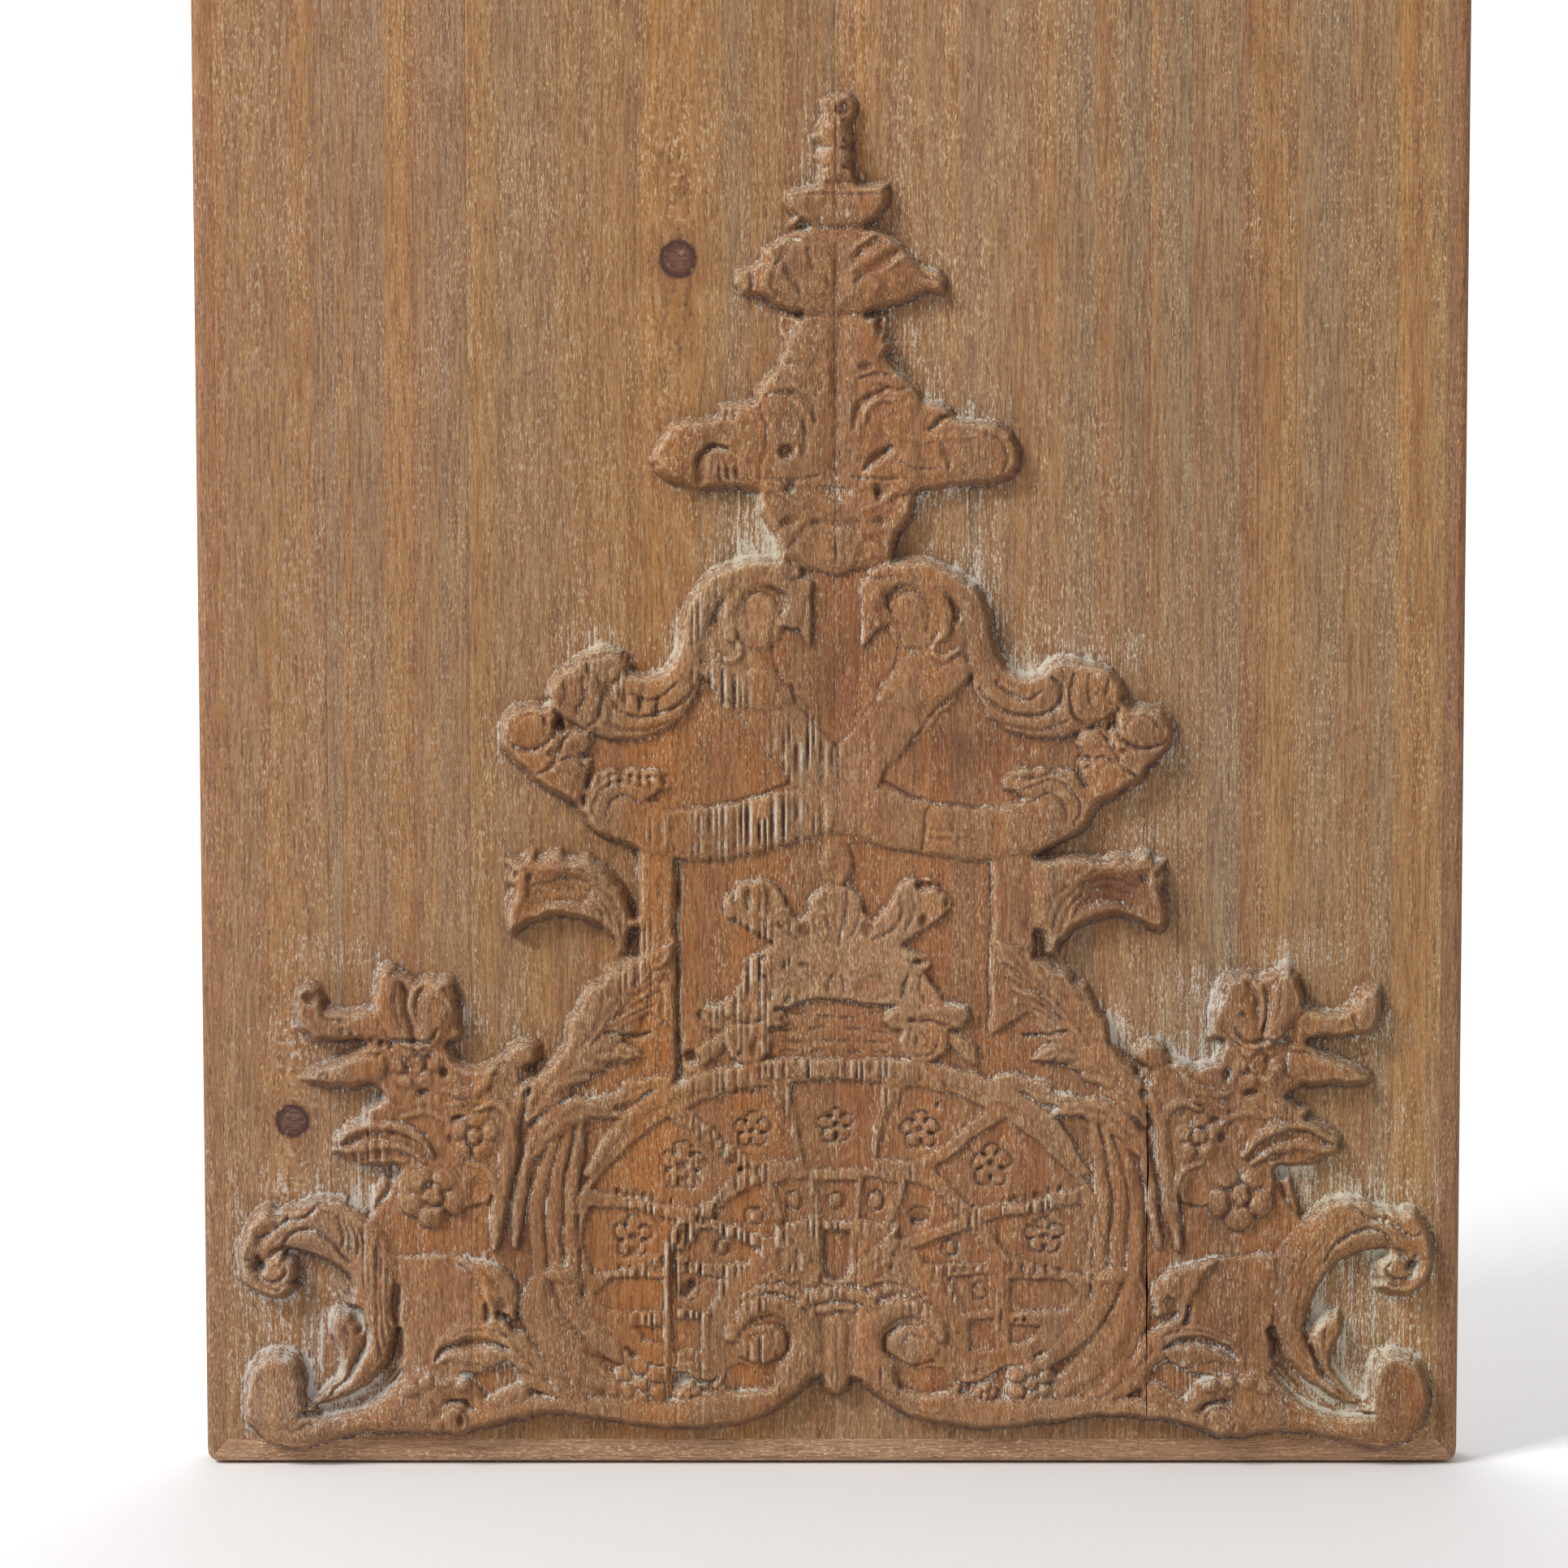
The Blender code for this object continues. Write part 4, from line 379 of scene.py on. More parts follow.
def layLeafBands(r):
    # long leaves that sweep out from the foot to either side of the fan
    r.stroke([(72, 25), (82, 31), (90, 41), (95, 52), (95, 61)], [4, 6.6, 7.6, 7, 3.6], 4, highLevel + 0.2, ribs=2, rib=0.6,
             power=3)
    r.stroke([(66, 34), (75, 40), (83, 49), (88, 59)], [2, 4.4, 5.2, 3.2], 4.4, highLevel - 0.2, power=3)
    r.groove([(73, 34), (82, 42), (89, 52), (92, 60)], [0.8], 0.8)
    r.leaf([(78, 19), (88, 25), (98, 34), (107, 44), (112, 50)], 6.6, 4, highLevel + 0.5, lobes=4, cut=0.25)
    r.dome((88.6, 62.6), (6, 3.4), 4.2, highLevel + 0.8)
    r.blossom((63, 27.5), 8.6, 6, 4, highLevel + 0.7, notch=0.12)
    r.blossom((48, 23.6), 4.6, 5, 4.4, highLevel + 0.3)
    r.blossom((37, 26), 3.6, 5, 4.4, highLevel + 0.1)
    r.leaf([(38, 30), (46, 31.6), (54, 34)], 3.4, 4.4, bandLevel + 0.8)


def layFan(r, side):
    # raised lattice of the fan, with sunk cells between its bars
    r.plate([(-4, 30), (10, 30), (30, 28), (60, 34), (80, 46), (82, 60), (83, 88), (74, 104), (60, 120), (48, 126),
             (22, 131), (-4, 132.5)], bandLevel, curved=False)
    floor = bandLevel - 1.3
    cells = [
        [(-4, 97), (9.5, 97), (15.5, 125.5), (-4, 127)],
        [(12.5, 100), (25, 99), (36, 106), (48, 117), (36, 122), (22, 124.5), (16, 114)],
        [(30.5, 97), (43.5, 84.5), (60, 86), (79.5, 90.5), (72, 100), (62, 108.5), (54, 114), (42, 106)],
        [(48.5, 80), (64, 83.5), (79.5, 85.5), (81.5, 75), (79.5, 62.5), (66, 65), (54, 69.5)],
    ]
    for cell in cells:
        r.plate(cell, floor, curved=False, sunk=True)
    rings = ((0, 111, 6), (27, 109.5, 6.4), (50, 98.4, 7), (67, 75.4, 6.4)) if side > 0 else (
        (0, 111, 6), (27, 109.5, 6.2), (49.6, 98, 7.8), (65.4, 75, 6.4))
    for u, z, radius in rings:
        r.flowerRing((u, z), radius, 5, 0.75, -1.25)
    inner = [
        [(-4, 80), (5, 80), (6.5, 93), (-4, 93.5)],
        [(7.5, 81), (16, 79), (20, 92), (8.5, 94.5)],
        [(17.5, 77), (22, 74), (40.5, 81.5), (31, 90), (23, 93)],
        [(25, 71.5), (28, 66), (49, 66), (50, 70), (43.5, 78.5)],
        [(35, 61.5), (50, 63), (51, 51.5), (42, 50.5)],
        [(56, 62), (73, 61), (78, 57), (74, 51), (56.5, 50.5)],
        [(43.5, 48), (51.5, 48.5), (52, 38), (43, 37.5)],
        [(56, 46.5), (66, 46), (62, 41), (56, 40.5)],
    ]
    for cell in inner:
        r.plate(cell, floor, curved=False, sunk=True)
    for centre in ((0, 86.5), (13, 86.5), (26.5, 81.5), (37, 71.5), (46.5, 57)):
        r.groove(spiral(centre, 2.7, 2.7, 0, 360, 12), [0.8], 1.1)
        r.domeOn(centre, 2, 0.6)
    r.plate([(-4, 61), (4, 61), (4, 77), (-4, 77)], floor - 0.6, curved=False, sunk=True)
    r.leaf([(3, 61), (11, 66), (17, 72), (20, 79)], 4.6, bandLevel, highLevel + 0.2, lobes=3)
    r.leaf([(6, 60), (16, 63), (27, 60)], 3, bandLevel, highLevel, lobes=3)
    # flutes cut across the bars, and the long split of the left half
    if side > 0:
        flutes = [(53.6 + 3.7 * k, 86.2 + 0.7 * k, 2.2) for k in range(6)] + [(57 + 3.6 * k, 65.2 - 0.4 * k, 2.0) for k in range(5)]
        flutes += [(38 + 3.2 * k, 64.6, 1.8) for k in range(3)] + [(33, 118, 1.4), (58, 47.8, 1.2), (61, 47.8, 1.2)]
        r.pit((26.6, 80.4), (2.5, 3.4), 2.2)
        r.groove([(52.6, 45), (53.4, 58), (53.8, 70)], [0.8, 1.0, 0.6], -0.8)
    else:
        flutes = [(53 + 2.9 * k, 86 + 0.45 * k, 2.3) for k in range(7)] + [(57 + 3.1 * k, 65.6 - 0.3 * k, 2.2) for k in range(5)]
        flutes += [(31 + 2.9 * k, 97.4 + 2.6 * k, 2.6) for k in range(7)] + [(40.6 + 3 * k, 65, 2) for k in range(4)]
        flutes += [(31 + 2.6 * k, 78.6 + 0.5 * k, 2.0) for k in range(6)] + [(25 + 2.8 * k, 96.4, 2.6) for k in range(3)]
        flutes += [(37 + 1.4 * k, 86 - 1.6 * k, 2.2) for k in range(3)] + [(27 + 2.7 * k, 122.6 + 0.1 * k, 2) for k in range(3)]
        r.stroke([(54.8, 28), (54.6, 48), (54.6, 66), (52.4, 75.6), (48.6, 80.8)], [0.9, 1.1, 1.2, 1.1, 0.7], bandLevel, highLevel - 0.2)
        r.groove([(52.4, 42), (52.8, 56), (52.2, 68), (49.8, 76.6)], [0.7, 0.9, 1.4, 0.9], 1.8)
        r.pit((48, 57.2), (2.5, 2.6), 2.6)
        r.pit((50.4, 27), (2.6, 3.8), 2.6, lean=20)
    for u, z, up in flutes:
        r.pit((u, z), (0.85, up), 1.5)
    # round band over the fan, and fluted posts beside it
    r.stroke([(-3, 130), (14, 130), (30, 128), (46, 124), (60, 118.5), (72, 108), (80, 96)],
             [3.2, 3.2, 3.2, 3, 2.6, 2.2, 1.6], bandLevel - 0.2, highLevel - 0.6, power=4)
    for k in range(3):
        start = 84.6 + 5.4 * k
        r.stroke([(start, 58), (start + 0.8, 88), (start - 3 - 2 * k, 116 - 2 * k)], [2.6, 2.8, 1.4], lowLevel,
                 bandLevel + 0.7 - 0.2 * k, power=3)


def layStems(r, side):
    # leafy stem that climbs from the fan to the horn, one leaf over the other
    r.plate([(52, 170), (60, 168.4), (67, 165), (71.6, 162), (75, 157), (77.4, 151), (82, 146), (87, 140), (91, 135),
             (96, 128.6), (100, 124), (105, 112), (106, 96), (96, 94), (88, 106), (80, 110), (69, 112), (64, 119),
             (60, 127), (57, 133), (58, 142), (54, 152), (51.6, 162)], lowLevel + 0.5, curved=False)
    r.leaf([(86, 130), (79, 141), (70, 152), (61, 161), (50.6, 171.6)], 10.6, lowLevel + 0.4, highLevel + 0.7, lobes=5, cut=0.08,
           vein=0.7, slant=2.4)
    for k in range(4):
        r.groove([(53.6 + 1.5 * k, 164 - 4.6 * k), (61 + 2.6 * k, 157.6 - 4 * k), (70.6 + 3 * k, 148 - 3.6 * k)],
                 [0.5, 1, 0.5], 0.9)
    r.leaf([(99, 113), (92, 124), (82, 132.6), (72, 135.6), (62, 133)], 7.2, lowLevel, highLevel + 0.8, lobes=5, cut=0.14, vein=0.8,
           slant=2.0)
    r.leaf([(100, 100), (94, 109), (86, 115.4), (77, 117), (67, 114)], 5.4, lowLevel, highLevel + 0.5, lobes=4, cut=0.16, vein=0.7)
    r.stroke([(100, 122), (104, 112), (106, 98), (108, 84), (110, 72)], [2.6, 3, 3, 2.6, 1.6], lowLevel, highLevel + 0.2)
    r.stroke([(96, 110), (100, 98), (102, 84), (104, 72)], [1.6, 2.2, 2.2, 1.2], lowLevel, highLevel - 0.2)
    r.leaf([(52, 126), (62, 124), (72, 119.5), (84, 119)], 4, lowLevel, highLevel, lobes=3)
    r.dome((100.6, 134.4), (6, 5.6), lowLevel, highLevel + 0.6, power=2.6)
    r.groove([(93.6, 137), (97, 132), (99, 126)], [0.8, 1.1, 0.7], 1.6)
    r.pit((98.6, 121.4), (1.7, 2.4), 2.4, lean=30)
    r.groove([(60, 141), (66, 140.6), (74, 141.6)], [0.8, 1.1, 0.7], 1.6)
    # horn with a ragged, hollow mouth
    back = [(62.4, 198.6), (62.2, 188), (62.4, 178)] if side > 0 else [(79, 198.4), (72, 193), (66.4, 185), (63.6, 177)]
    r.plate([(66, 169), (70.4, 165.4), (71.8, 170), (76, 174.6), (83, 177), (91, 177.4), (98, 176), (102, 173.6),
             (104, 172), (106.2, 174.4), (107.2, 179), (106.2, 184), (104.6, 187.4), (106.4, 190), (105.4, 194),
             (106.6, 197), (102.4, 196.8), (100.4, 199.4), (97, 200.8), (95, 198), (91.6, 200), (88.4, 200.4),
             (86, 197.8), (82, 198.4)] + back, bandLevel, curved=False, crown=1.5, reach=4)
    r.pit((87.6, 186.4), (13, 6.6), 2.3, lean=2)
    r.stroke([(68, 168), (70.6, 174.4), (76, 178.8), (84, 180.4), (93, 180), (101, 176.4)], [2, 2.4, 2.4, 2.2, 1.8, 1],
             bandLevel, highLevel + 0.5)
    for k in range(4):
        r.groove([(66 + 2.4 * k, 176 - 1.1 * k), (68.4 + 2.6 * k, 183 - 0.8 * k), (73 + 2.8 * k, 189 - 1.2 * k)], [0.8],
                 0.6)
    for k in range(3):
        r.groove([(78 + k, 189.6 - 3.2 * k), (87, 190.6 - 3.3 * k), (97 - k, 188.4 - 3 * k)], [0.5, 0.8, 0.5], 0.5)
    r.stroke([(100.6, 193), (100.8, 187), (102.6, 181), (103.6, 175.4)], [1.6, 2.2, 2.2, 1.2], bandLevel, crestLevel - 1)
    r.stroke([(77, 191.6), (82, 194.8), (88, 195), (94, 194), (99.6, 195)], [1, 1.5, 1.4, 1.6, 1.4], bandLevel, highLevel + 0.9)
    for u, z in ((80.4, 197.4), (86, 199), (91.6, 197.6), (96.6, 198.4), (103, 192.4), (98.4, 191.2)):
        r.pit((u, z), (1.3, 1.8), 1.7, lean=20)


def layPillars(r, side):
    r.plate([(49.5, 140), (63.5, 150), (63.5, 199), (49.5, 199)], bandLevel, curved=False)
    if side < 0:
        r.groove([(50.8, 120), (50.8, 197)], [1.2], 4.0, curved=False)
    r.groove([(49, 140), (49, 197)], [0.8], 0.8, curved=False)


def layCrown(r, side):
    # one flat-topped mass of flowers, leaves and hanging curls in the middle
    lobe = bandLevel + 0.2
    r.dome((0, 196), (5.4, 7.6), lowLevel, lobe, power=5)
    r.pit((0, 196), (3, 4.4), 0.8)
    r.plate([(-4, 189), (3, 189), (6, 187), (8.4, 184.5), (8.8, 180), (12, 177.6), (13.6, 179.6), (16.6, 182.6),
             (17.8, 186.4), (19.4, 189), (23, 190.8), (26, 190.2), (30, 191), (32.6, 189.4), (33.4, 186.4), (36.2, 184.8),
             (36.8, 181.6), (34.6, 178.8), (31.2, 177), (28.4, 174.6), (24, 171.8), (20.4, 169.7), (24.4, 167.2),
             (28.4, 165.4), (30.6, 163.4), (28.2, 160.8), (30, 157), (33.4, 153.2), (36, 150.8), (41.8, 149.4),
             (42.6, 147), (40.4, 142.4), (36.4, 142.2), (36.2, 138), (34.4, 133.8), (30.4, 131.4), (24.6, 131.6),
             (21, 134.6), (19.8, 139), (20.8, 142.4), (17.6, 142.8), (14.8, 144.8), (16.4, 147.4), (19, 149.4),
             (14, 149.6), (10, 151), (5, 152), (-4, 152)], lobe, curved=False, crown=0.8, reach=2.2)
    r.groove([(3.4, 187), (2.8, 178), (0.6, 169)], [0.7, 0.9, 0.6], 0.9)
    r.groove([(8.2, 182), (6.4, 175), (3.4, 170)], [0.7, 0.9, 0.6], 0.8)
    r.pit((9.8, 175), (2.2, 3.4), 1.5)
    r.groove([(12, 171.6), (17.6, 175), (20.6, 180), (20, 186)], [0.6, 0.9, 0.9, 0.6], 0.9)
    r.groove([(24, 186), (24.6, 180), (22, 174.6)], [0.6, 0.9, 0.6], 0.7)
    r.plate([(2, 160.4), (3.6, 165), (9, 168), (16, 168.4), (22, 166.4), (27, 162.6), (22.4, 160.2), (14, 161), (8, 159.6)],
            lobe, curved=False, crown=1.2, reach=3)
    r.pit((12.6, 155.8), (7, 4.4), 1.1, lean=8)
    r.dome((15.6, 154.6), (3.4, 3), lowLevel, lobe + 0.5)
    r.groove([(1.4, 160), (2.6, 155.6), (1, 152.6)], [0.6, 0.9, 0.5], 0.8)
    r.groove([(22.8, 159.4), (21.4, 156), (21, 152.4)], [0.5, 1.0, 0.6], 1.8)
    r.groove([(27, 159.6), (26.4, 155), (28.6, 151.4)], [0.6, 0.8, 0.5], 0.8)
    r.stroke([(26.6, 147.6), (31, 149), (37, 148.4), (41, 146.4)], [1.4, 2.4, 2.6, 1.6], lobe - 0.2, lobe + 1.6)
    r.pit((24.4, 145.4), (1.9, 1.4), 1.6)
    r.groove([(26.6, 144.8), (31, 145.2), (35.4, 143.4)], [0.6, 1.0, 0.7], 1.2)
    if side > 0:
        r.dome((28, 138.4), (7.6, 7), lowLevel, lobe + 0.9, power=4)
        r.groove([(23.6, 142.6), (22.8, 137.4), (26, 133.6), (31, 134.2), (32.8, 139.6)], [0.4, 0.8, 0.9, 0.8, 0.4], 0.9)
        r.groove([(27.2, 141.6), (29.6, 138.4), (28, 135.8)], [0.4, 0.7, 0.4], 0.7)
    r.plate([(36, 142), (42.6, 138), (46.8, 133.6), (47.4, 130.6), (43, 130.2), (39, 133), (36, 137)], lowLevel + 0.9,
            curved=False, crown=0.8, reach=2)
    r.plate([(-4, 150.4), (9, 149.8), (15, 146.4), (14.6, 143.2), (19.8, 141), (19.6, 134.4), (9, 133.4), (-4, 133.4)],
            lowLevel + 0.4, curved=False)
    for u, z, reach in ((3.4, 146.4, 2.6), (11.6, 147.4, 2.4), (6, 142.8, 3), (15, 141.8, 3), (2, 138.8, 2.4), (12.6, 138.2, 4),
                        (5.4, 135.4, 2.4), (15, 135, 3)):
        r.groove([(u - reach, z + 0.3), (u, z), (u + reach, z - 0.2)], [0.3, 0.75, 0.3], 0.9)
    r.plate([(8, 133), (19, 132.4), (19.4, 128), (8, 128)], bandLevel + 0.3, curved=False)
    if side < 0:
        r.pit((47, 132.2), (3.6, 3.0), 3.4)
        r.pit((41.6, 146.6), (2.6, 2.0), 2.4, lean=20)
        for u, z, up in ((22, 184, 5.6), (28.4, 184.6, 5.6), (32.8, 185, 3), (10.6, 163.4, 1.2), (17, 162.4, 2.2),
                         (23.6, 165, 1.4), (29, 163, 1.6), (24.6, 154, 4), (16, 152, 1.6), (17, 145.6, 2), (34, 146, 1.6),
                         (25.8, 137.4, 4.4), (31, 135, 1.6)):
            r.pit((u, z), (0.9, up), 1.9)
    else:
        r.pit((27.6, 188.4), (3.2, 2.2), 3.2)
        r.pit((32.6, 187.6), (0.9, 2.2), 1.6)
        r.pit((35.2, 183), (1.3, 2.2), 1.4)
        r.pit((27.6, 177), (2, 2.8), 1.9)
        r.pit((27, 163.8), (2.8, 1.3), 2.0)
        r.pit((25.6, 138), (1.1, 3.0), 1.0)
        r.pit((46, 133.6), (1.6, 3.0), 1.6, lean=20)
        r.pit((46, 145), (1.4, 3.6), 0.8)


def layBouquet(r, side):
    # cluster of petals, leaves and flowers that stands out on either side, on one base
    r.plate([(99, 138), (103, 138.4), (108, 133.4), (115, 131), (121, 132.4), (124, 137), (122, 143), (131, 157),
             (140, 158), (148, 152), (151, 148.4), (162, 149), (172, 150), (173, 142), (166, 139.6), (150, 138),
             (160, 134), (171, 127), (168, 123.4), (155, 123), (149, 124), (148, 119), (153, 117), (152, 112.6),
             (163, 107), (162, 102), (153, 98), (142, 98), (143.6, 90), (141, 84), (131, 80), (112, 76), (100, 80)],
            lowLevel, curved=False)
    r.plate([(101, 132), (107, 130.6), (116, 129), (123, 131.4), (125.6, 138), (124.6, 146), (130, 153), (139, 154),
             (147, 148), (151, 145), (160, 146.4), (170, 150), (171.6, 144), (164, 140.6), (151, 138.6), (160, 133),
             (169, 127.4), (163, 124.6), (150, 125), (145, 121), (149, 116), (150, 112), (160, 107), (160, 103.4),
             (150, 99.4), (140, 100), (141, 90), (136, 82), (124, 84), (112, 86), (106, 100), (102, 116)], bandLevel + 0.2,
            curved=False)
    # petals that rise from one backing, and the horn beside them
    r.plate([(119.4, 139), (120, 149), (123.6, 157.6), (130, 161), (135.4, 158.6), (140, 161.4), (144.6, 164.2), (148.8, 160),
             (150.4, 152), (150, 138), (134, 134)], bandLevel - 0.6, curved=False, crown=0.5, reach=2)
    r.stroke([(134, 137.6), (130.4, 143), (128, 149.6), (126.4, 156)], [2.4, 6.2, 7.4, 4.2], bandLevel - 0.6, crestLevel)
    r.stroke([(132, 160), (135.4, 155), (136.2, 148.6), (134.8, 142)], [0.8, 1.5, 1.6, 0.9], bandLevel, highLevel + 0.7)
    r.stroke([(137.4, 138), (141.4, 144.6), (144.2, 152), (144, 160.6)], [2.2, 4.6, 6.4, 3.4], bandLevel - 0.6, crestLevel + 0.2)
    r.groove([(139.4, 143), (141.6, 150), (141.4, 158)], [0.4, 1.0, 0.5], 0.7)
    r.pit((130, 148), (1.4, 1.6), 1.2)
    if side > 0:
        r.plate([(146, 139.6), (149, 150.4), (156, 149), (163, 149.8), (167.6, 152.8), (169.6, 156.8), (174, 156.6),
                 (176.2, 150.6), (174.8, 144), (170.6, 139.8), (160, 138.8)], lowLevel + 0.8, curved=False, crown=2.4, reach=3)
        r.stroke([(150, 144), (158, 143.6), (166, 143.4)], [4.4, 4.6, 4], bandLevel - 0.5, highLevel + 0.6)
        r.dome((170.6, 147.6), (5.6, 8.6), bandLevel - 0.5, crestLevel, power=2.6)
        r.groove([(166.6, 152), (165.6, 147), (167.6, 141.6)], [0.5, 1.2, 0.6], 1.1)
        r.groove([(151, 147), (158, 146), (164, 148.6)], [0.5, 1.0, 0.5], 0.8)
    else:
        r.plate([(146, 138.4), (150.6, 150), (158, 148.2), (164, 149.6), (166.4, 156), (170.4, 157.6), (174, 155),
                 (175.4, 149), (173, 142), (168.6, 138), (158, 139.4)], lowLevel + 0.8, curved=False, crown=2.4, reach=3)
        r.stroke([(149, 143.6), (157, 142.6), (165, 142.4)], [4.6, 4.4, 3.8], bandLevel - 0.5, highLevel + 0.6)
        r.pit((168.2, 152.6), (3.4, 3.4), 3.0)
        r.groove([(151.6, 147.6), (159, 145.4), (165, 147)], [0.7, 1.6, 0.8], 1.5)
        r.groove([(171.6, 152), (173.4, 147.6), (171.6, 143)], [0.6, 1.4, 0.7], 1.3)
        r.pit((124, 156), (3, 4.4), 2.4, lean=-30)
        r.groove([(124, 146), (126, 151), (131, 153)], [0.5, 0.9, 0.5], 0.8)
        for k in range(6):
            r.pit((143 + 3 * k, 137 + 1.1 * k), (0.8, 1.5), 1.4)
        for k in range(5):
            r.pit((152 + 4 * k, 129.4), (0.9, 4.2 - 0.3 * k), 1.3)
            r.pit((139 + 3.8 * k, 108.6 + 0.8 * math.sin(k)), (0.8, 1.8), 1.4)
    r.groove([(128, 141.6), (133, 138.6), (139, 139.6), (146, 139)], [0.6, 0.9, 0.9, 0.6], 0.9)
    r.plate([(146, 136.8), (152, 136), (160, 133.8), (168, 130.4), (172.4, 126.6), (169.6, 124), (160, 123), (150, 125),
             (145, 129)], highLevel - 0.4, crown=1.4, reach=4)
    r.groove([(146, 135), (153, 134.4), (160, 131.6), (166, 127.6)], [0.8, 1.1, 1.1, 0.7], 1.1)
    r.blossom((135.4, 131), 10, 6, 3, highLevel + 0.8, eye=0.3, turn=60, notch=0.1)
    r.pit((136, 131), (3, 2.8), 1.6)
    r.pit((125.6, 128), (1.8, 2.8), 1.8)
    r.pit((133, 121.6), (2.8, 1.6), 1.8)
    r.groove([(128, 143), (131, 138.6), (137, 139.4), (144, 138.4)], [0.8, 1.1, 1.1, 0.8], 1.6)
    r.pit((149, 121), (4.8, 3.2), 4.2, lean=-8)
    r.plate([(140, 119), (146, 120), (150.8, 117), (151.8, 113.6), (146, 111.8), (140.4, 114.6)], bandLevel + 0.4, crown=0.9,
            reach=2.4)
    r.stroke([(130, 101.6), (134, 107), (140, 110.4), (147.6, 111), (155, 109.8), (161, 106.4)],
             [1.2, 2.2, 2.7, 2.9, 2.9, 2.2], 3, highLevel + 1)
    r.stroke([(133, 99.6), (140, 103.6), (148, 104.6), (156, 103.8), (162.4, 103)], [1.2, 2.2, 2.5, 2.3, 1.3], 3, highLevel + 0.6)
    r.stroke([(139, 99.4), (147, 98.8), (153.6, 98.6)], [1.2, 1.7, 1.1], 3, highLevel)
    r.stroke([(124, 112), (131, 115.6), (139, 114.6)], [1.6, 2.4, 1.4], lowLevel, highLevel - 0.2)
    r.stroke([(110, 130), (113.4, 124.4), (119.4, 122), (126, 122)], [2, 2.8, 2.8, 1.6], lowLevel, highLevel + 0.1)
    r.stroke([(106, 103), (103.8, 109.4), (105.4, 115.6), (110, 118.4), (116, 116.6)], [1.3, 2, 2.3, 2, 1.2], lowLevel,
             highLevel + 0.3)
    r.blossom((116.4, 107.6), 8.6, 5, lowLevel, highLevel + 0.9, turn=18, notch=0.16)
    r.pit((121.6, 113), (2.4, 1.2), 1.6, lean=-20)
    r.pit((123.6, 107), (1.5, 2.2), 1.2)
    r.blossom((130, 88.6), 11.4, 5, lowLevel, highLevel + 1.1, turn=-18, notch=0.16)
    r.stroke([(110, 83), (109.4, 91), (112, 97.4), (118, 99.4)], [1, 1.6, 1.8, 1.2], lowLevel, highLevel)
    r.pit((115.4, 90), (3.4, 6.2), 1.3)
    r.pit((143.4, 96), (3.4, 3), 4)
    r.groove([(142.6, 94), (144.6, 89), (148, 84)], [1.4, 1.6, 1], 1.6)
    r.stroke([(112, 118.6), (118, 119.6), (126, 117)], [1.6, 2, 1.2], lowLevel, bandLevel + 0.8)


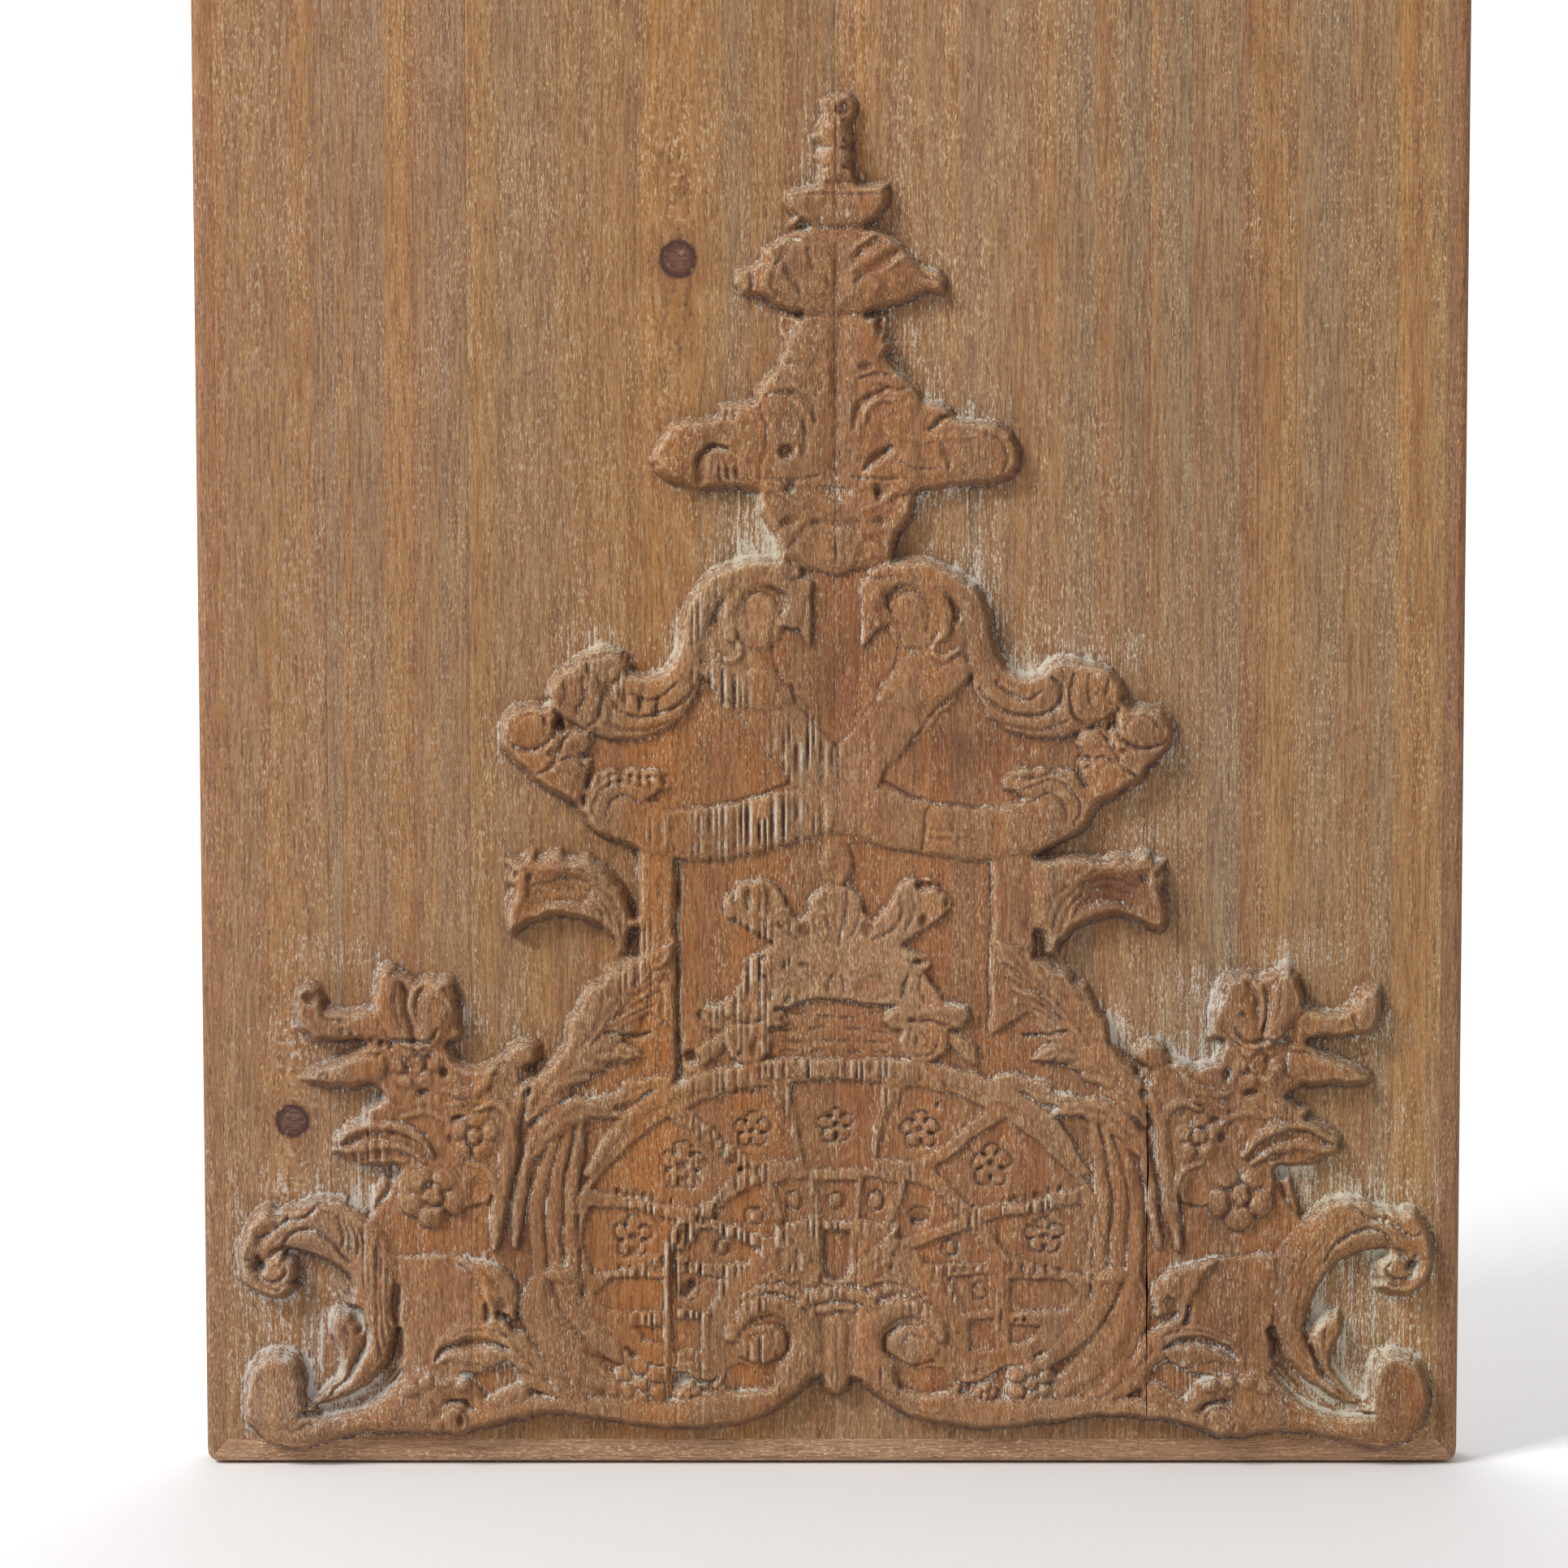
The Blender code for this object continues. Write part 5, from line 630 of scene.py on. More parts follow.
def layGreatScroll(r, side):
    # outer band of the great scroll, with its arch of leaf inside and the crossing straps
    r.stroke([(13, 289), (24, 290), (34, 287), (42, 280.6), (45.6, 272), (46.8, 262), (50, 254)],
             [2.6, 4, 5, 5.2, 5, 4.8, 4.6], fieldLevel - 0.8, crestLevel - 0.8, power=3.4)
    r.plate([(50.4, 268), (52, 262), (55.4, 257), (60, 255.6), (64, 257.4), (67, 260.8), (70.4, 262.6), (76, 262.2),
             (84, 260.2), (88.4, 258), (92, 254), (93.6, 249.6), (91, 246), (86, 242.6), (80, 239), (72, 235.6),
             (62, 236), (54, 238.4), (48.6, 242.6), (45, 249), (42.6, 258), (42, 268)], highLevel - 0.4, curved=False,
            crown=1.7, reach=6)
    r.groove([(45.6, 252), (50, 246.6), (57, 243.4), (65, 243.4), (70.6, 247), (71.6, 252), (69, 255.6)],
             [0.8, 1.1, 1.2, 1.2, 1.2, 1.1, 0.7], 1.4)
    r.groove([(50.6, 254), (55, 249.6), (61, 248.2), (65.6, 250.6)], [0.6, 1.0, 1.0, 0.6], 1.1)
    r.groove([(52, 240.8), (60, 238.8), (69, 239), (75, 242)], [0.6, 0.9, 0.9, 0.5], 0.8)
    r.groove([(76, 257), (74.6, 250), (75.4, 243.6), (79, 240.6)], [0.7, 1.0, 1.0, 0.6], 1.2)
    r.groove([(81, 256.6), (80, 250), (82.6, 244.6)], [0.6, 0.9, 0.5], 0.9)
    r.groove([(86.6, 255), (86, 250), (88, 246.6)], [0.6, 0.9, 0.5], 0.9)
    if side < 0:
        r.plate([(64, 259), (68, 264), (74, 266), (80, 264.6), (85, 261.6), (84, 257), (70, 258)], fieldLevel, curved=False)
        for u, z in ((57, 246), (62.6, 247.6), (67.6, 248.8), (73, 251), (91.6, 250.6), (79, 258)):
            r.pit((u, z), (0.9, 3.8), 1.8)
    r.plate([(7.6, 287), (7.6, 268), (8.2, 264.4), (9.8, 266.4), (13, 270.4), (19, 272.4), (16, 278), (15, 288)],
            bandLevel + 0.5, curved=False, crown=0.8, reach=2)
    r.dome((25.6, 275.4), (9, 11), fieldLevel, bandLevel + 0.8, power=4, lean=-12)
    r.stroke([(13.4, 272), (11.6, 279), (15.4, 285), (23, 287.4), (30.6, 283.4), (34.6, 276), (34, 269.4), (30.4, 265.2)],
             [1.8, 2.4, 2.8, 2.9, 2.8, 2.6, 2.2, 1.4], fieldLevel, highLevel + 0.5, power=3)
    r.groove([(17.6, 276), (20, 281.4), (25.4, 282.8), (29, 278), (28, 271)], [0.9], 0.8)
    r.groove([(20, 273), (21, 266), (18, 257), (14, 249)], [0.8], 0.8)
    r.stroke([(30.2, 263.4), (34.6, 261), (39.4, 263.4)], [1.2, 1.8, 1], fieldLevel, highLevel + 0.2)
    r.pit((34.4, 265.6), (3.8, 2.2), 1.5)
    r.stroke([(38, 266), (29.5, 254.5), (18, 241), (7.5, 227.5), (-4, 214)], [7, 10.3, 10, 9.3, 9], fieldLevel,
             fieldLevel + 1.1, power=9)
    r.plate([(28.8, 257.8), (39.4, 260.6), (43.4, 255.8), (34.6, 248), (23, 244.2), (13.4, 248), (17.3, 253.8),
             (23, 258.7)], bandLevel + 0.5, crown=0.9, reach=3)
    r.stroke([(-4, 213.5), (8, 212.6), (20, 209.6), (34, 206.4), (48, 205.6), (62, 207.6), (74, 212), (80, 217)],
             [8, 8.4, 9, 9.2, 9.2, 9.2, 7.6, 3], fieldLevel - 0.8, highLevel - 0.5, power=7)
    # swelling leaf with a ragged top that ends the lower band
    r.plate([(52, 200), (58, 199.2), (66, 201), (72, 203.6), (78, 207.4), (81.2, 212.6), (80.6, 217.6), (78.4, 221.6),
             (76, 225), (72, 226.4), (69, 225.4), (66, 227), (62.4, 225.8), (59.4, 226.4), (56, 225.6), (53.2, 222.6),
             (53.6, 219.8), (57, 219.2), (60.4, 216.6), (59.4, 214), (52, 213)], highLevel - 0.5, curved=False, crown=1.2,
            reach=5)
    r.groove([(61, 220), (68, 222.4), (75, 219.6), (78, 213.6), (76, 209)], [0.6, 0.9, 0.9, 0.9, 0.5], 0.9)
    r.groove([(61.6, 215), (67, 218), (72.6, 215.4), (73.6, 210)], [0.6, 0.9, 0.9, 0.5], 0.8)
    r.groove([(56.6, 223.6), (63, 223.2), (70, 224.8), (75, 222.6)], [0.9, 0.9, 0.9, 0.5], 1.0)
    if side < 0:
        for k in range(6):
            r.pit((59.6 + 3.2 * k, 222.6 + 0.3 * (k % 3)), (0.9, 2.8), 1.3)
        r.pit((54.8, 222), (1.6, 2.4), 2.4)
        r.pit((80.6, 216), (1.2, 2.6), 1.8)
    r.groove([(44, 256), (33, 246), (20, 229), (14.5, 221.5)], [0.8], 0.9)
    r.groove([(15, 221.5), (26, 217), (40, 214.5), (55, 213.6)], [0.8], 0.9)
    r.groove([(-3, 236), (0, 233), (12, 247), (14, 253)], [0.7], 0.7)
    if side > 0:
        r.groove([(29.6, 214), (28, 200)], [0.8], 0.9, curved=False)
        for z in (203.6, 206.6):
            r.groove([(31, z + 0.6), (45, z - 0.6)], [0.8], 0.5, curved=False)
    # worn rosette outside the shoulder, its petals folded over each other
    r.plate([(91, 246), (97, 247.8), (103, 247), (107, 243.4), (108.6, 239), (107.8, 234), (104.8, 230), (101, 226),
             (97, 221), (90, 217), (85, 214.6), (81.6, 217), (79.6, 222), (77.6, 226.6), (77.4, 230), (79, 231.4),
             (77, 234.6), (79, 238.4), (83.6, 239.6), (87.4, 238), (88, 242)], highLevel - 0.4, curved=False, crown=1.5,
            reach=6)
    r.dome((97.8, 239.8), (8.6, 7.2), highLevel - 1, crestLevel, power=3)
    r.groove([(88.6, 241.6), (91, 236), (96, 232.6), (102, 233.6), (106, 237)], [0.9, 1.2, 1.2, 1.1, 0.6], 1.4)
    r.groove([(92.4, 240), (95, 243.6), (100, 243.4), (102.4, 240)], [0.5, 0.9, 0.9, 0.5], 0.9)
    r.groove([(84, 238.6), (88, 233.6), (90, 228), (96, 223.6)], [0.7, 1.1, 1.1, 0.6], 1.3)
    r.dome((82, 235.4), (4.6, 3.4), highLevel - 1, crestLevel - 0.5, lean=-25)
    r.dome((86, 223.6), (5.2, 4.2), highLevel - 1, crestLevel - 0.4, lean=30)
    r.dome((97, 228.4), (5, 3.6), highLevel - 1, crestLevel - 0.6, lean=30)
    r.groove([(79.4, 226.4), (83.6, 229.4), (88, 228.6)], [0.7, 1.0, 0.6], 1.2)
    r.pit((88.6, 240.4), (1.9, 3.2), 2.8, lean=-20)
    r.pit((79.4, 229.6), (2.6, 1.7), 2.6)
    r.pit((91, 231.4), (1.2, 1.8), 1.4)


def layTower(r, side):
    # bell top and the mask's jaw
    r.plate([(-4, 288), (19, 292), (20.2, 299.6), (22.6, 303), (25.6, 308), (26.4, 314), (-4, 316)], bandLevel + 0.4,
            curved=False, crown=1.0, reach=4)
    for k in range(3):
        lean = math.radians(24 + 26 * k)
        r.groove([(4, 290), (math.sin(lean) * 10, 289 + math.cos(lean) * 10),
                  (math.sin(lean) * 17, 289 + math.cos(lean) * 17)], [0.9, 2.8, 1.8], 0.7)
    r.dome((0.6, 297.4), (8.4, 8.8), 5, highLevel + 0.6, power=2.6)
    r.stroke([(0, 308.6), (8, 307.6)], [2.8, 2.4], bandLevel, highLevel + 0.2)
    r.stroke([(7.6, 307.6), (13, 311), (19.4, 315.4)], [1.4, 1.7, 1.1], bandLevel, highLevel + 0.7)
    r.groove([(0, 304.6), (6, 304), (11, 301), (15.6, 296.4)], [1.6, 2.0, 2.0, 1.0], 0.7)
    r.pit((14.6, 305), (3.4, 2.2), 1.2, lean=-20)
    # the mask with its two arms, almost flat on top
    if side > 0:
        arm = [(-4, 312), (26.8, 313), (36, 314.8), (46, 315.4), (52.4, 316.2), (56.6, 318.4), (59.2, 323),
               (58.8, 329), (56.2, 333.8), (51, 336.8), (43, 338.2), (38.4, 338.8), (36.6, 341.6), (33, 343),
               (28.2, 343.8), (25.8, 347.8), (22, 351.6), (17.6, 356.2), (17, 358), (19, 360.6), (17, 363.4),
               (17.6, 370), (-4, 370)]
    else:
        arm = [(-4, 312), (27.4, 314), (37, 315), (46.6, 315.2), (53, 317), (56.4, 319.8), (59.2, 324.4), (57.2, 329.8),
               (53.8, 334.6), (48, 337.4), (41, 338), (37.2, 338.6), (36.8, 342.2), (31.6, 343.2), (26, 344),
               (26.2, 346.8), (22.8, 350), (18.4, 354.6), (17.4, 360), (18, 370), (-4, 370)]
    r.plate(arm, lowLevel + 0.6, curved=False, crown=2.5, reach=7)
    r.groove([(0, 368), (0, 348), (0, 334), (0, 321)], [3.2, 3.4, 4.6, 7], 0.9)
    r.pit((0, 313.6), (5, 3), 1.7)
    r.groove([(5, 319.4), (13, 318.2), (22, 318.6)], [0.5, 0.9, 0.5], 0.9)
    r.dome((20.4, 316.4), (4.6, 2.8), bandLevel, highLevel + 0.9)
    if side > 0:
        r.groove([(5.7, 335), (6, 339.4), (8.2, 343), (12.2, 345.4), (16.4, 347)], [0.8, 2.0, 2.2, 1.8, 0.8], 1.3)
        r.groove([(8.6, 336), (9.4, 340), (13, 343), (18, 343.6)], [0.6, 1.6, 1.6, 0.7], -0.9)
        r.groove([(13, 348.6), (18, 346.8), (23, 347.2)], [0.5, 1.1, 0.5], 1.1)
        r.groove([(30.4, 333.6), (33.4, 337), (37.4, 339)], [0.6, 1.4, 0.8], 1.8)
        r.groove([(9.6, 321.6), (12.6, 325.4), (17.2, 328.6)], [1.4, 2.8, 1.5], 2.1)
        r.groove([(19, 333), (26, 331), (34, 332), (44, 332.4)], [0.9, 1.8, 1.8, 0.9], -0.7)
        r.groove([(34, 329), (35.4, 325.4), (36.2, 321.4)], [0.8, 2.0, 0.9], 0.9)
        r.groove([(47, 333.4), (52, 331), (54.4, 326), (53, 320.4)], [0.4, 1.0, 1.0, 0.4], 0.9)
        r.groove([(20, 324), (27, 321), (33, 321.6)], [0.5, 1.0, 0.5], 0.8)
        r.pit((13, 314.1), (1.5, 3), 2.2)
        r.pit((9, 354), (2.4, 1.7), 1.6)
        r.groove([(7, 350.6), (12, 351.6), (18, 351)], [0.5, 1.2, 0.5], 1.0)
        r.dome((15.4, 360.6), (3.8, 3.2), bandLevel, highLevel + 0.9)
        r.pit((14.2, 367.4), (2.2, 3.8), 4.2)
    else:
        r.groove([(22, 344.8), (17.1, 345.5), (12.2, 345), (8.4, 341), (6.5, 336)], [0.7, 1.6, 2.1, 2.0, 0.9], 1.3)
        r.groove([(16, 341), (13, 337), (11.6, 331), (12.4, 326)], [0.6, 1.7, 1.7, 0.6], -0.8)
        for k in range(3):
            r.pit((36.2 - 2.2 * k, 339.4), (0.9, 2.8), 1.6)
            r.pit((36.6 - 2.4 * k, 320), (0.8, 4.2 - 0.6 * k), 1.4)
        r.groove([(44, 317.4), (43.6, 322.6), (42.6, 326.6), (39, 328.8), (33.6, 327.4)], [2.4, 2.8, 2.0, 1.5, 0.7], 2.0)
        r.dome((51.6, 322), (6.2, 5), bandLevel, highLevel + 1.1)
        r.pit((16.4, 327), (3.1, 2.6), 2.5)
        r.pit((10.6, 331), (1.7, 6.4), 1.1)
        r.pit((13.9, 315.8), (1.5, 2.2), 1.8)
        r.pit((14.6, 355.4), (3, 1.5), 1.0)
        r.groove([(24, 343), (22, 334), (23.6, 325), (24.6, 318)], [0.5, 1.0, 1.0, 0.5], 0.7)
        r.pit((15.2, 367), (3, 3.6), 4.2)
    # canopy: a soft dome with shallow creases, rolled along its lower edge
    if side > 0:
        roof = [(-4, 369.6), (7.6, 370), (17, 371.8), (23, 374.4), (28.8, 377.2), (34.4, 377), (35, 381.6), (32, 384.4),
                (27.2, 386.2), (23.1, 390.2), (17.4, 395), (11.8, 397.8), (-4, 398)]
    else:
        roof = [(-4, 369.8), (7.8, 370), (14.4, 370.8), (20, 373), (24.8, 376.2), (29.8, 377), (32, 380.6), (32.4, 385),
                (27.4, 385.4), (24.2, 388), (24.8, 392), (21, 393.6), (14.6, 395.8), (11.9, 397.8), (-4, 398)]
    r.plate(roof, lowLevel, curved=False, crown=3.3, reach=9.5)
    if side > 0:
        r.groove([(4.4, 384), (8.4, 386), (11.8, 388.6), (15.8, 391), (17.6, 393)], [1.0, 1.9, 2.0, 1.8, 0.9], -0.9)
        r.groove([(4, 388.6), (7.6, 392.4), (12.5, 395.1)], [0.8, 1.4, 0.8], -1.0)
        r.groove([(6, 381), (12, 384.4), (17, 387.8), (19.6, 391)], [0.8, 1.9, 1.9, 0.8], 1.0)
        r.groove([(6.6, 388), (10, 391), (14, 393.8)], [0.8, 1.9, 0.9], 1.1)
        r.groove([(16.4, 384.6), (20.6, 388), (23.1, 389)], [0.6, 1.3, 0.6], -0.9)
        r.groove([(25, 386), (28.6, 382.8), (34, 380.2)], [0.5, 1.1, 0.6], 1.3)
        r.pit((4, 399.8), (3.4, 1.6), 2.2)
    else:
        r.pit((12.7, 394.4), (2.8, 1.7), 1.8, lean=20)
        r.groove([(17.4, 392.8), (16.8, 388.8), (18.8, 385.6)], [0.9, 2.0, 0.9], 1.1)
        r.groove([(16, 386.4), (13.6, 381.4), (11.4, 377)], [0.8, 2.2, 1.0], 1.1)
        r.groove([(9, 391), (7.6, 384)], [0.7, 1.3], 0.8)
        r.groove([(28, 386), (26.2, 381), (27.4, 376.6)], [0.6, 1.2, 0.6], 1.3)
        r.groove([(21.4, 392), (20, 386), (22.4, 380), (20, 376)], [0.8, 1.7, 1.7, 0.8], -0.9)
        r.dome((13.6, 399), (1.9, 1.7), lowLevel, highLevel - 0.4)
    # cup and finial, knotty and uneven
    if side > 0:
        cup = [(-4, 397), (10, 398), (13.6, 400), (16, 403.4), (17.6, 407.4), (16.8, 411.6), (12, 411.6), (7.4, 412.6), (-4, 413)]
        knob = [(-4, 409), (7.4, 412.6), (6, 417.8), (6.6, 421), (5.6, 423), (6.6, 426), (5, 430), (6.6, 433), (6.4, 436.8),
                (3.8, 439.6), (-1, 440.4), (-4, 440)]
    else:
        cup = [(-4, 397), (9, 398), (12.2, 399.4), (15.4, 403.2), (16.6, 406.6), (16.4, 410), (9.4, 411.4), (6, 412), (-4, 413)]
        knob = [(-4, 409), (6.4, 411), (6, 417.4), (7.6, 420.6), (5.2, 422.8), (8, 425.4), (6.6, 429.4), (4.6, 433.2),
                (6, 438), (3, 439.4), (-4, 440)]
    r.plate(cup, lowLevel + 0.4, curved=False, crown=2.2, reach=4.4)
    r.groove([(0, 408.4), (8, 408.6), (16, 408)], [0.6, 0.9, 0.6], 1.0)
    r.plate(knob, lowLevel - 0.2, curved=False, crown=3.6, reach=5.4)
    for z in (431.4, 422.8, 417):
        r.groove([(2, z), (5, z - 0.3), (8, z - 0.8)], [0.5, 1.2, 1.5], 1.3)
    if side > 0:
        r.pit((2.8, 434.6), (2.8, 2.5), 2.6)
        r.pit((4.4, 428.2), (1.2, 1.4), 1.6)
        r.pit((3.2, 425.4), (1.0, 1.2), 1.2)
    else:
        r.groove([(0.4, 439.6), (2.4, 436), (1.2, 433.6)], [0.5, 0.8, 0.5], 1.4)


# The whole half relief; side is 1 for the right half and -1 for the left.
def carve(step, side, slope=2.4, passes=1):
    r = Relief(reliefShape["reach"], reliefShape["foot"], reliefShape["top"], step)
    layFields(r)
    layPillars(r, side)
    layGreatScroll(r, side)
    layTower(r, side)
    layFan(r, side)
    layCrown(r, side)
    layStems(r, side)
    layLeafBands(r)
    layBouquet(r, side)
    layBase(r, side)
    layCorner(r, side)
    # small dark knots and a hole in the carved wood
    for u, z, radius in ([(31.1, 188.7, 1.7)] if side > 0 else [(47.1, 133.1, 2.5), (47.1, 58.8, 1.9)]):
        r.pit((u, z), radius, 2.4)
    r.h = np.maximum(r.h, 0)
    r.ease(slope, passes)
    return r


# ---- the carving laid over the whole panel ----

panelShape = {
    "thickness": 20.0,       # boards without the carving, in millimetres
    "edgeRound": 3.5,        # rounding of the outer front edge
    "cornerRound": 4.0,      # rounding of the panel's corners, seen from the front
    "mapStep": 0.4,          # grid of the finished face and its colour maps
}
lowCorner, highCorner = cadBox
halfWidth = highCorner.x * 1000
halfHeight = highCorner.z * 1000
frontLimit = -lowCorner.y * 1000 - 0.05


def sampled(grid, firstX, firstZ, step, x, z):
    # value of a map at many places, between its own points
    column = np.clip((x - firstX) / step, 0, grid.shape[1] - 1.001)
    row = np.clip((z - firstZ) / step, 0, grid.shape[0] - 1.001)
    i, j = row.astype(int), column.astype(int)
    a, b = row - i, column - j
    near = grid[i, j] * (1 - b) + grid[i, j + 1] * b
    far = grid[i + 1, j] * (1 - b) + grid[i + 1, j + 1] * b
    return near * (1 - a) + far * a


def patch(x, z, centreX, centreZ, radiusX, radiusZ):
    # soft spot, 1 in its middle
    return np.exp(-((x - centreX) / radiusX) ** 2 - ((z - centreZ) / radiusZ) ** 2)


def noiseOver(x, z, sizeX, sizeZ, seed):
    # smooth noise from -0.5 to 0.5, with patches of the size given in millimetres
    lattice = np.random.RandomState(seed).rand(int(520 / sizeZ) + 4, int(440 / sizeX) + 4)
    column, row = (x + 210) / sizeX, (z + 10) / sizeZ
    i, j = np.clip(row.astype(int), 0, lattice.shape[0] - 2), np.clip(column.astype(int), 0, lattice.shape[1] - 2)
    a, b = np.clip(row - i, 0, 1), np.clip(column - j, 0, 1)
    a, b = a * a * (3 - 2 * a), b * b * (3 - 2 * b)
    near = lattice[i, j] * (1 - b) + lattice[i, j + 1] * b
    far = lattice[i + 1, j] * (1 - b) + lattice[i + 1, j + 1] * b
    return near * (1 - a) + far * a - 0.5


def blurred(field, reach, step, axes=(0, 1)):
    # mean over a box, twice
    cells = max(1, int(reach / step / 2))
    for axis in axes + axes:
        margins = [(cells + 1, cells) if side == axis else (0, 0) for side in (0, 1)]
        total = np.cumsum(np.pad(field, margins, mode="edge"), axis)
        width = 2 * cells + 1
        upper = np.take(total, np.arange(width, total.shape[axis]), axis)
        lower = np.take(total, np.arange(0, total.shape[axis] - width), axis)
        field = (upper - lower) / width
    return field


toolMarks = {
    # where the tool left upright steps on the carving: u (left is negative), z, radius across, radius up, amount
    "steps": [(-46, 72, 26, 50, 1.0), (-36, 256, 12, 34, 0.7), (-6, 225, 34, 15, 0.7), (-4, 122, 44, 14, 0.8),
              (56, 84, 30, 9, 0.8), (-160, 104, 18, 16, 0.7), (-30, 207, 30, 9, 0.9), (-27, 160, 20, 28, 0.8),
              (34, 60, 26, 14, 0.6), (-70, 250, 14, 12, 0.5), (-12, 72, 26, 24, 0.7), (-62, 160, 12, 24, 0.6),
              (-26, 40, 14, 16, 0.7), (10, 30, 40, 6, 0.4), (20, 100, 20, 24, 0.4)],
    # where broad faces are combed all over
    "combed": [(-22, 209, 22, 9, 1.0), (-9, 232, 12, 12, 0.8), (-43, 272, 5, 14, 0.6), (-34, 252, 10, 7, 0.8),
               (-27, 172, 10, 16, 0.5), (-24, 146, 14, 14, 0.5), (-49, 60, 7, 34, 0.7), (-150, 70, 6, 20, 0.5)],
    # where lower edges are toothed
    "teeth": [(-46, 72, 30, 56, 1.3), (-40, 262, 16, 40, 1.2), (-20, 208, 50, 20, 1.3), (-10, 130, 52, 18, 1.1),
              (50, 84, 36, 14, 1.1), (-27, 164, 24, 26, 1.1), (30, 70, 34, 30, 0.9), (-70, 250, 16, 14, 0.8),
              (-160, 104, 18, 16, 0.8), (-62, 170, 12, 26, 0.8), (-26, 40, 20, 20, 0.8), (30, 250, 30, 40, 0.4),
              (-100, 24, 50, 16, 0.5), (20, 200, 40, 14, 0.5)],
    # worn masses with irregular folds, on both halves
    "folded": [(26, 164, 24, 30, 0.6), (0, 176, 16, 18, 0.5), (134, 126, 44, 46, 0.9), (90, 240, 22, 22, 1.1),
               (66, 222, 22, 10, 0.6), (0, 383, 36, 15, 0.7), (0, 326, 58, 26, 0.8), (0, 352, 26, 16, 0.9),
               (78, 140, 30, 36, 0.5), (86, 186, 26, 16, 0.6), (0, 300, 26, 12, 0.8), (70, 27, 30, 10, 0.7),
               (0, 408, 18, 10, 0.9), (112, 45, 20, 26, 0.5), (125, 22, 18, 12, 0.8), (18, 66, 16, 12, 0.8),
               (24, 276, 16, 16, 0.4), (0, 428, 10, 14, 0.6), (168, 50, 24, 40, 0.35)],
    "pitch": 2.6,
    "sway": 0.65,
    "depth": 1.1,
}


def marked(u, z, spots):
    amount = np.zeros(u.shape)
    for centreU, centreZ, radiusU, radiusZ, strength in spots:
        amount = np.maximum(amount, strength * patch(u, z, centreU, centreZ, radiusU, radiusZ))
    return amount


